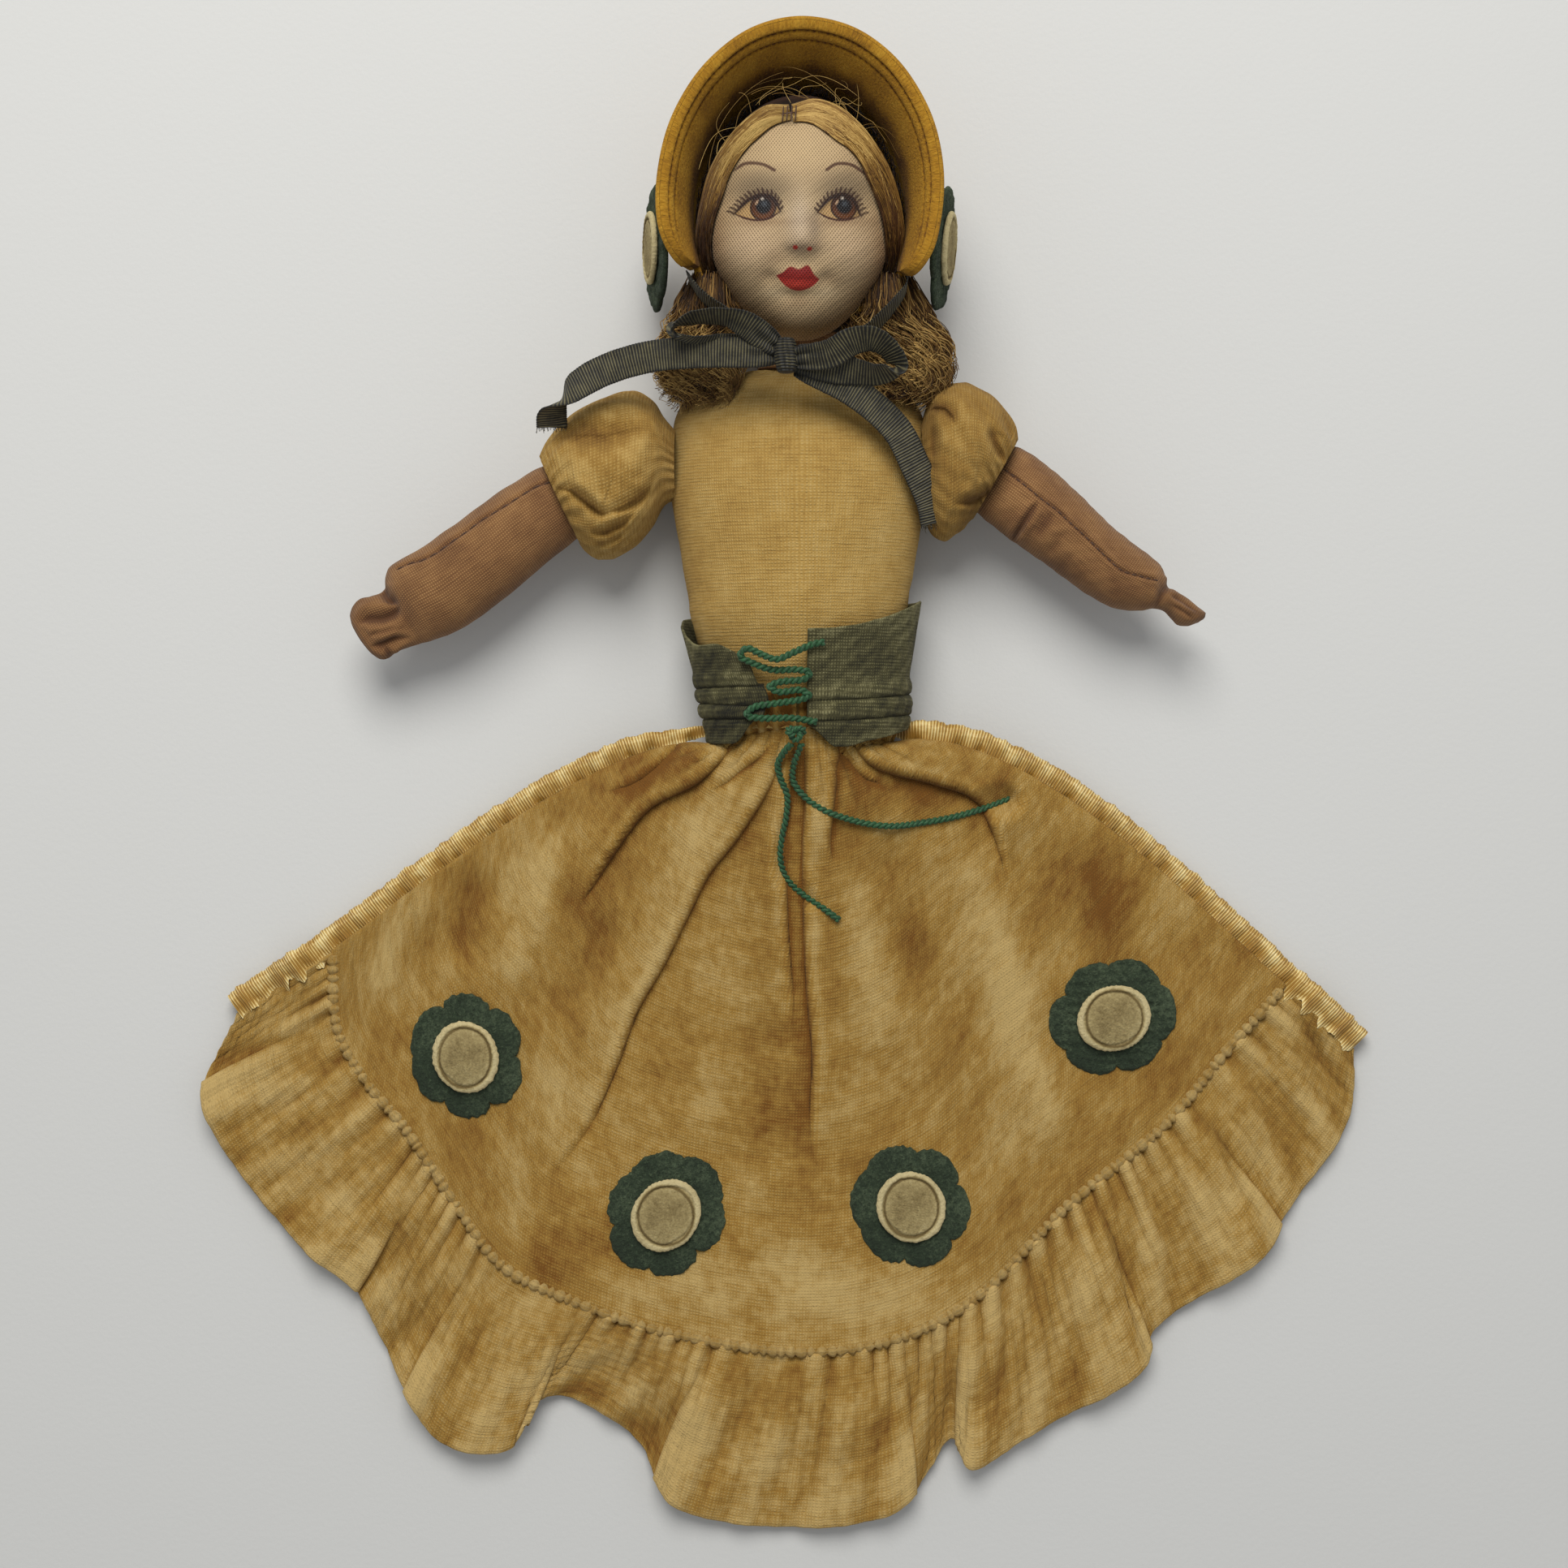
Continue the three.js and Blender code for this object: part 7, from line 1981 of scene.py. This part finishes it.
TAIL_RIGHT = [(-0.6, 73.2, 31.6, 0.2, 1, 0), (5, 71.4, 30.4, 0.4, 1, 0), (9.8, 69.2, 29.4, 0.5, 0.9, -0.1),
              (15.6, 65, 28.4, 0.7, 0.8, -0.15), (19.4, 61, 27.2, 0.8, 0.6, -0.2),
              (22.6, 55, 25.2, 0.9, 0.4, -0.2),
              (25.8, 48.5, 22.6, 0.95, 0.3, -0.15), (26.8, 44.6, 20.6, 1, 0.2, -0.1)]


def make_ribbon(name, rows, pinch, frayed=False):
    rows = np.array(rows)
    line = Curve(rows[:, :3])
    columns = 18
    share, width = shares(260, columns)
    centre, way = line.at(share), line.way(share)
    marks = [line.share_of(i) for i in range(len(rows))]
    facing = np.stack([np.interp(share, marks, axis) for axis in rows[:, 3:].T], -1)
    facing = unit(facing - way * np.sum(facing * way, -1, keepdims=True))
    normal = np.cross(way, facing)
    run = line.length * share
    drawn = pinch[0] * np.exp(-run / 3.2) + pinch[1] * np.exp(-(line.length - run) / 3.2)
    across = (width - 0.5) * RIBBON.width * (1 - 0.36 * drawn)
    pleats = 0.4 * drawn * np.cos(TURN * 2.1 * width + 0.6)
    pleats = pleats + 0.12 * ripple(run, 4 * width, seed=len(name), size=9)
    edge = 0.05 * np.cos(TURN * run / 0.6) * smooth(0.4, 0.5, np.abs(width - 0.5))
    points = centre + facing * column(across + edge * np.sign(width - 0.5)) + normal * column(pleats)
    # Darker along its edges, and darker where it is drawn in, as painted shade in the gathers
    dark_edges_and_gather_shade = -0.25 * smooth(0.42, 0.49, np.abs(width - 0.5)) - 0.25 * drawn
    fields = {"place": places(RIBBON.width * width, run, 0), "wear_and_shade": dark_edges_and_gather_shade}
    strip = cloth(name, points, RIBBON.thickness, RIBBON_CLOTH, fields)
    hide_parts(name)
    pieces = [strip]
    if frayed:
        draw = np.random.default_rng(len(name))
        count = 40
        row = np.linspace(0, columns - 1, count)
        end = np.stack([np.interp(row, np.arange(columns), axis) for axis in points[-1].T], -1)
        ahead = unit(points[-1].mean(0) - points[-4].mean(0))
        along = column(np.linspace(0, 1, 7))
        length = draw.uniform(0.4, 2.0, (count, 1, 1)) * along
        stray = draw.normal(size=(count, 1, 3)) * 0.25 * along ** 2
        fray = threads(name + "_fray", end[:, None] - 0.4 * ahead + length * ahead + stray, 0.07,
                       RIBBON_CLOTH)
        pieces.append(fray)
    return pieces


def make_bow():
    angle = full_turn(120)
    along = column(np.linspace(-0.99, 0.99, 80))
    belly = np.sqrt(1 - along ** 2) ** 0.4
    pleat = 1 + 0.05 * np.cos(9 * angle + 2 * along) + 0.04 * np.cos(3 * along + angle)
    points = KNOT_CENTRE + places(KNOT.half_width * belly * pleat * np.sin(angle), KNOT.half_height * along,
                                  KNOT.half_depth * belly * pleat * np.cos(angle))
    place = places(KNOT.half_width * angle, KNOT.half_height * along, 0)
    wear_and_shade = -0.2 - 0.3 * smooth(0.6, 1, np.abs(along)) + 0 * angle
    knot = loft("bow_knot", points, RIBBON_CLOTH, {"place": place, "wear_and_shade": wear_and_shade})
    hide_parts("bow_knot")
    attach(knot, "head")
    for name, rows, pinch in (("chin_strap_left", STRAP_LEFT, (1, 0)),
                              ("chin_strap_right", STRAP_RIGHT, (1, 0)),
                              ("bow_loop_left", LOOP_LEFT, (1, 1)), ("bow_loop_right", LOOP_RIGHT, (1, 1))):
        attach(make_ribbon(name, rows, pinch)[0], "head")
    for name, rows in (("bow_tail_left", TAIL_LEFT), ("bow_tail_right", TAIL_RIGHT)):
        for piece in make_ribbon(name, rows, (1, 0), frayed=True):
            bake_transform(piece)


make_bow()


# The flat sewn tops of the arms, inside the sleeves

TAB = Sizes(thickness=2, width=13, reach=3.4)


def make_tab(arm):
    along, across = shares(24, 40)
    x = arm.side * (ARM.axis_x - TAB.thickness / 2 + (TAB.reach + TAB.thickness / 2) * along)
    y = ARM.shoulder_y + TAB.width * (across - 0.5)
    top = places(x, y, ARM.height + 0.8 + 0.08 * ripple(x, y, seed=111, size=3))
    tab = cloth(arm.name + "_shoulder_tab", top, 1.6, SKIN, {"place": places(x, y, 0)}, flip=arm.side < 0)
    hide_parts(arm.name + "_shoulder_tab")
    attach(tab, arm.name + "_shoulder")


for arm in ARMS:
    make_tab(arm)
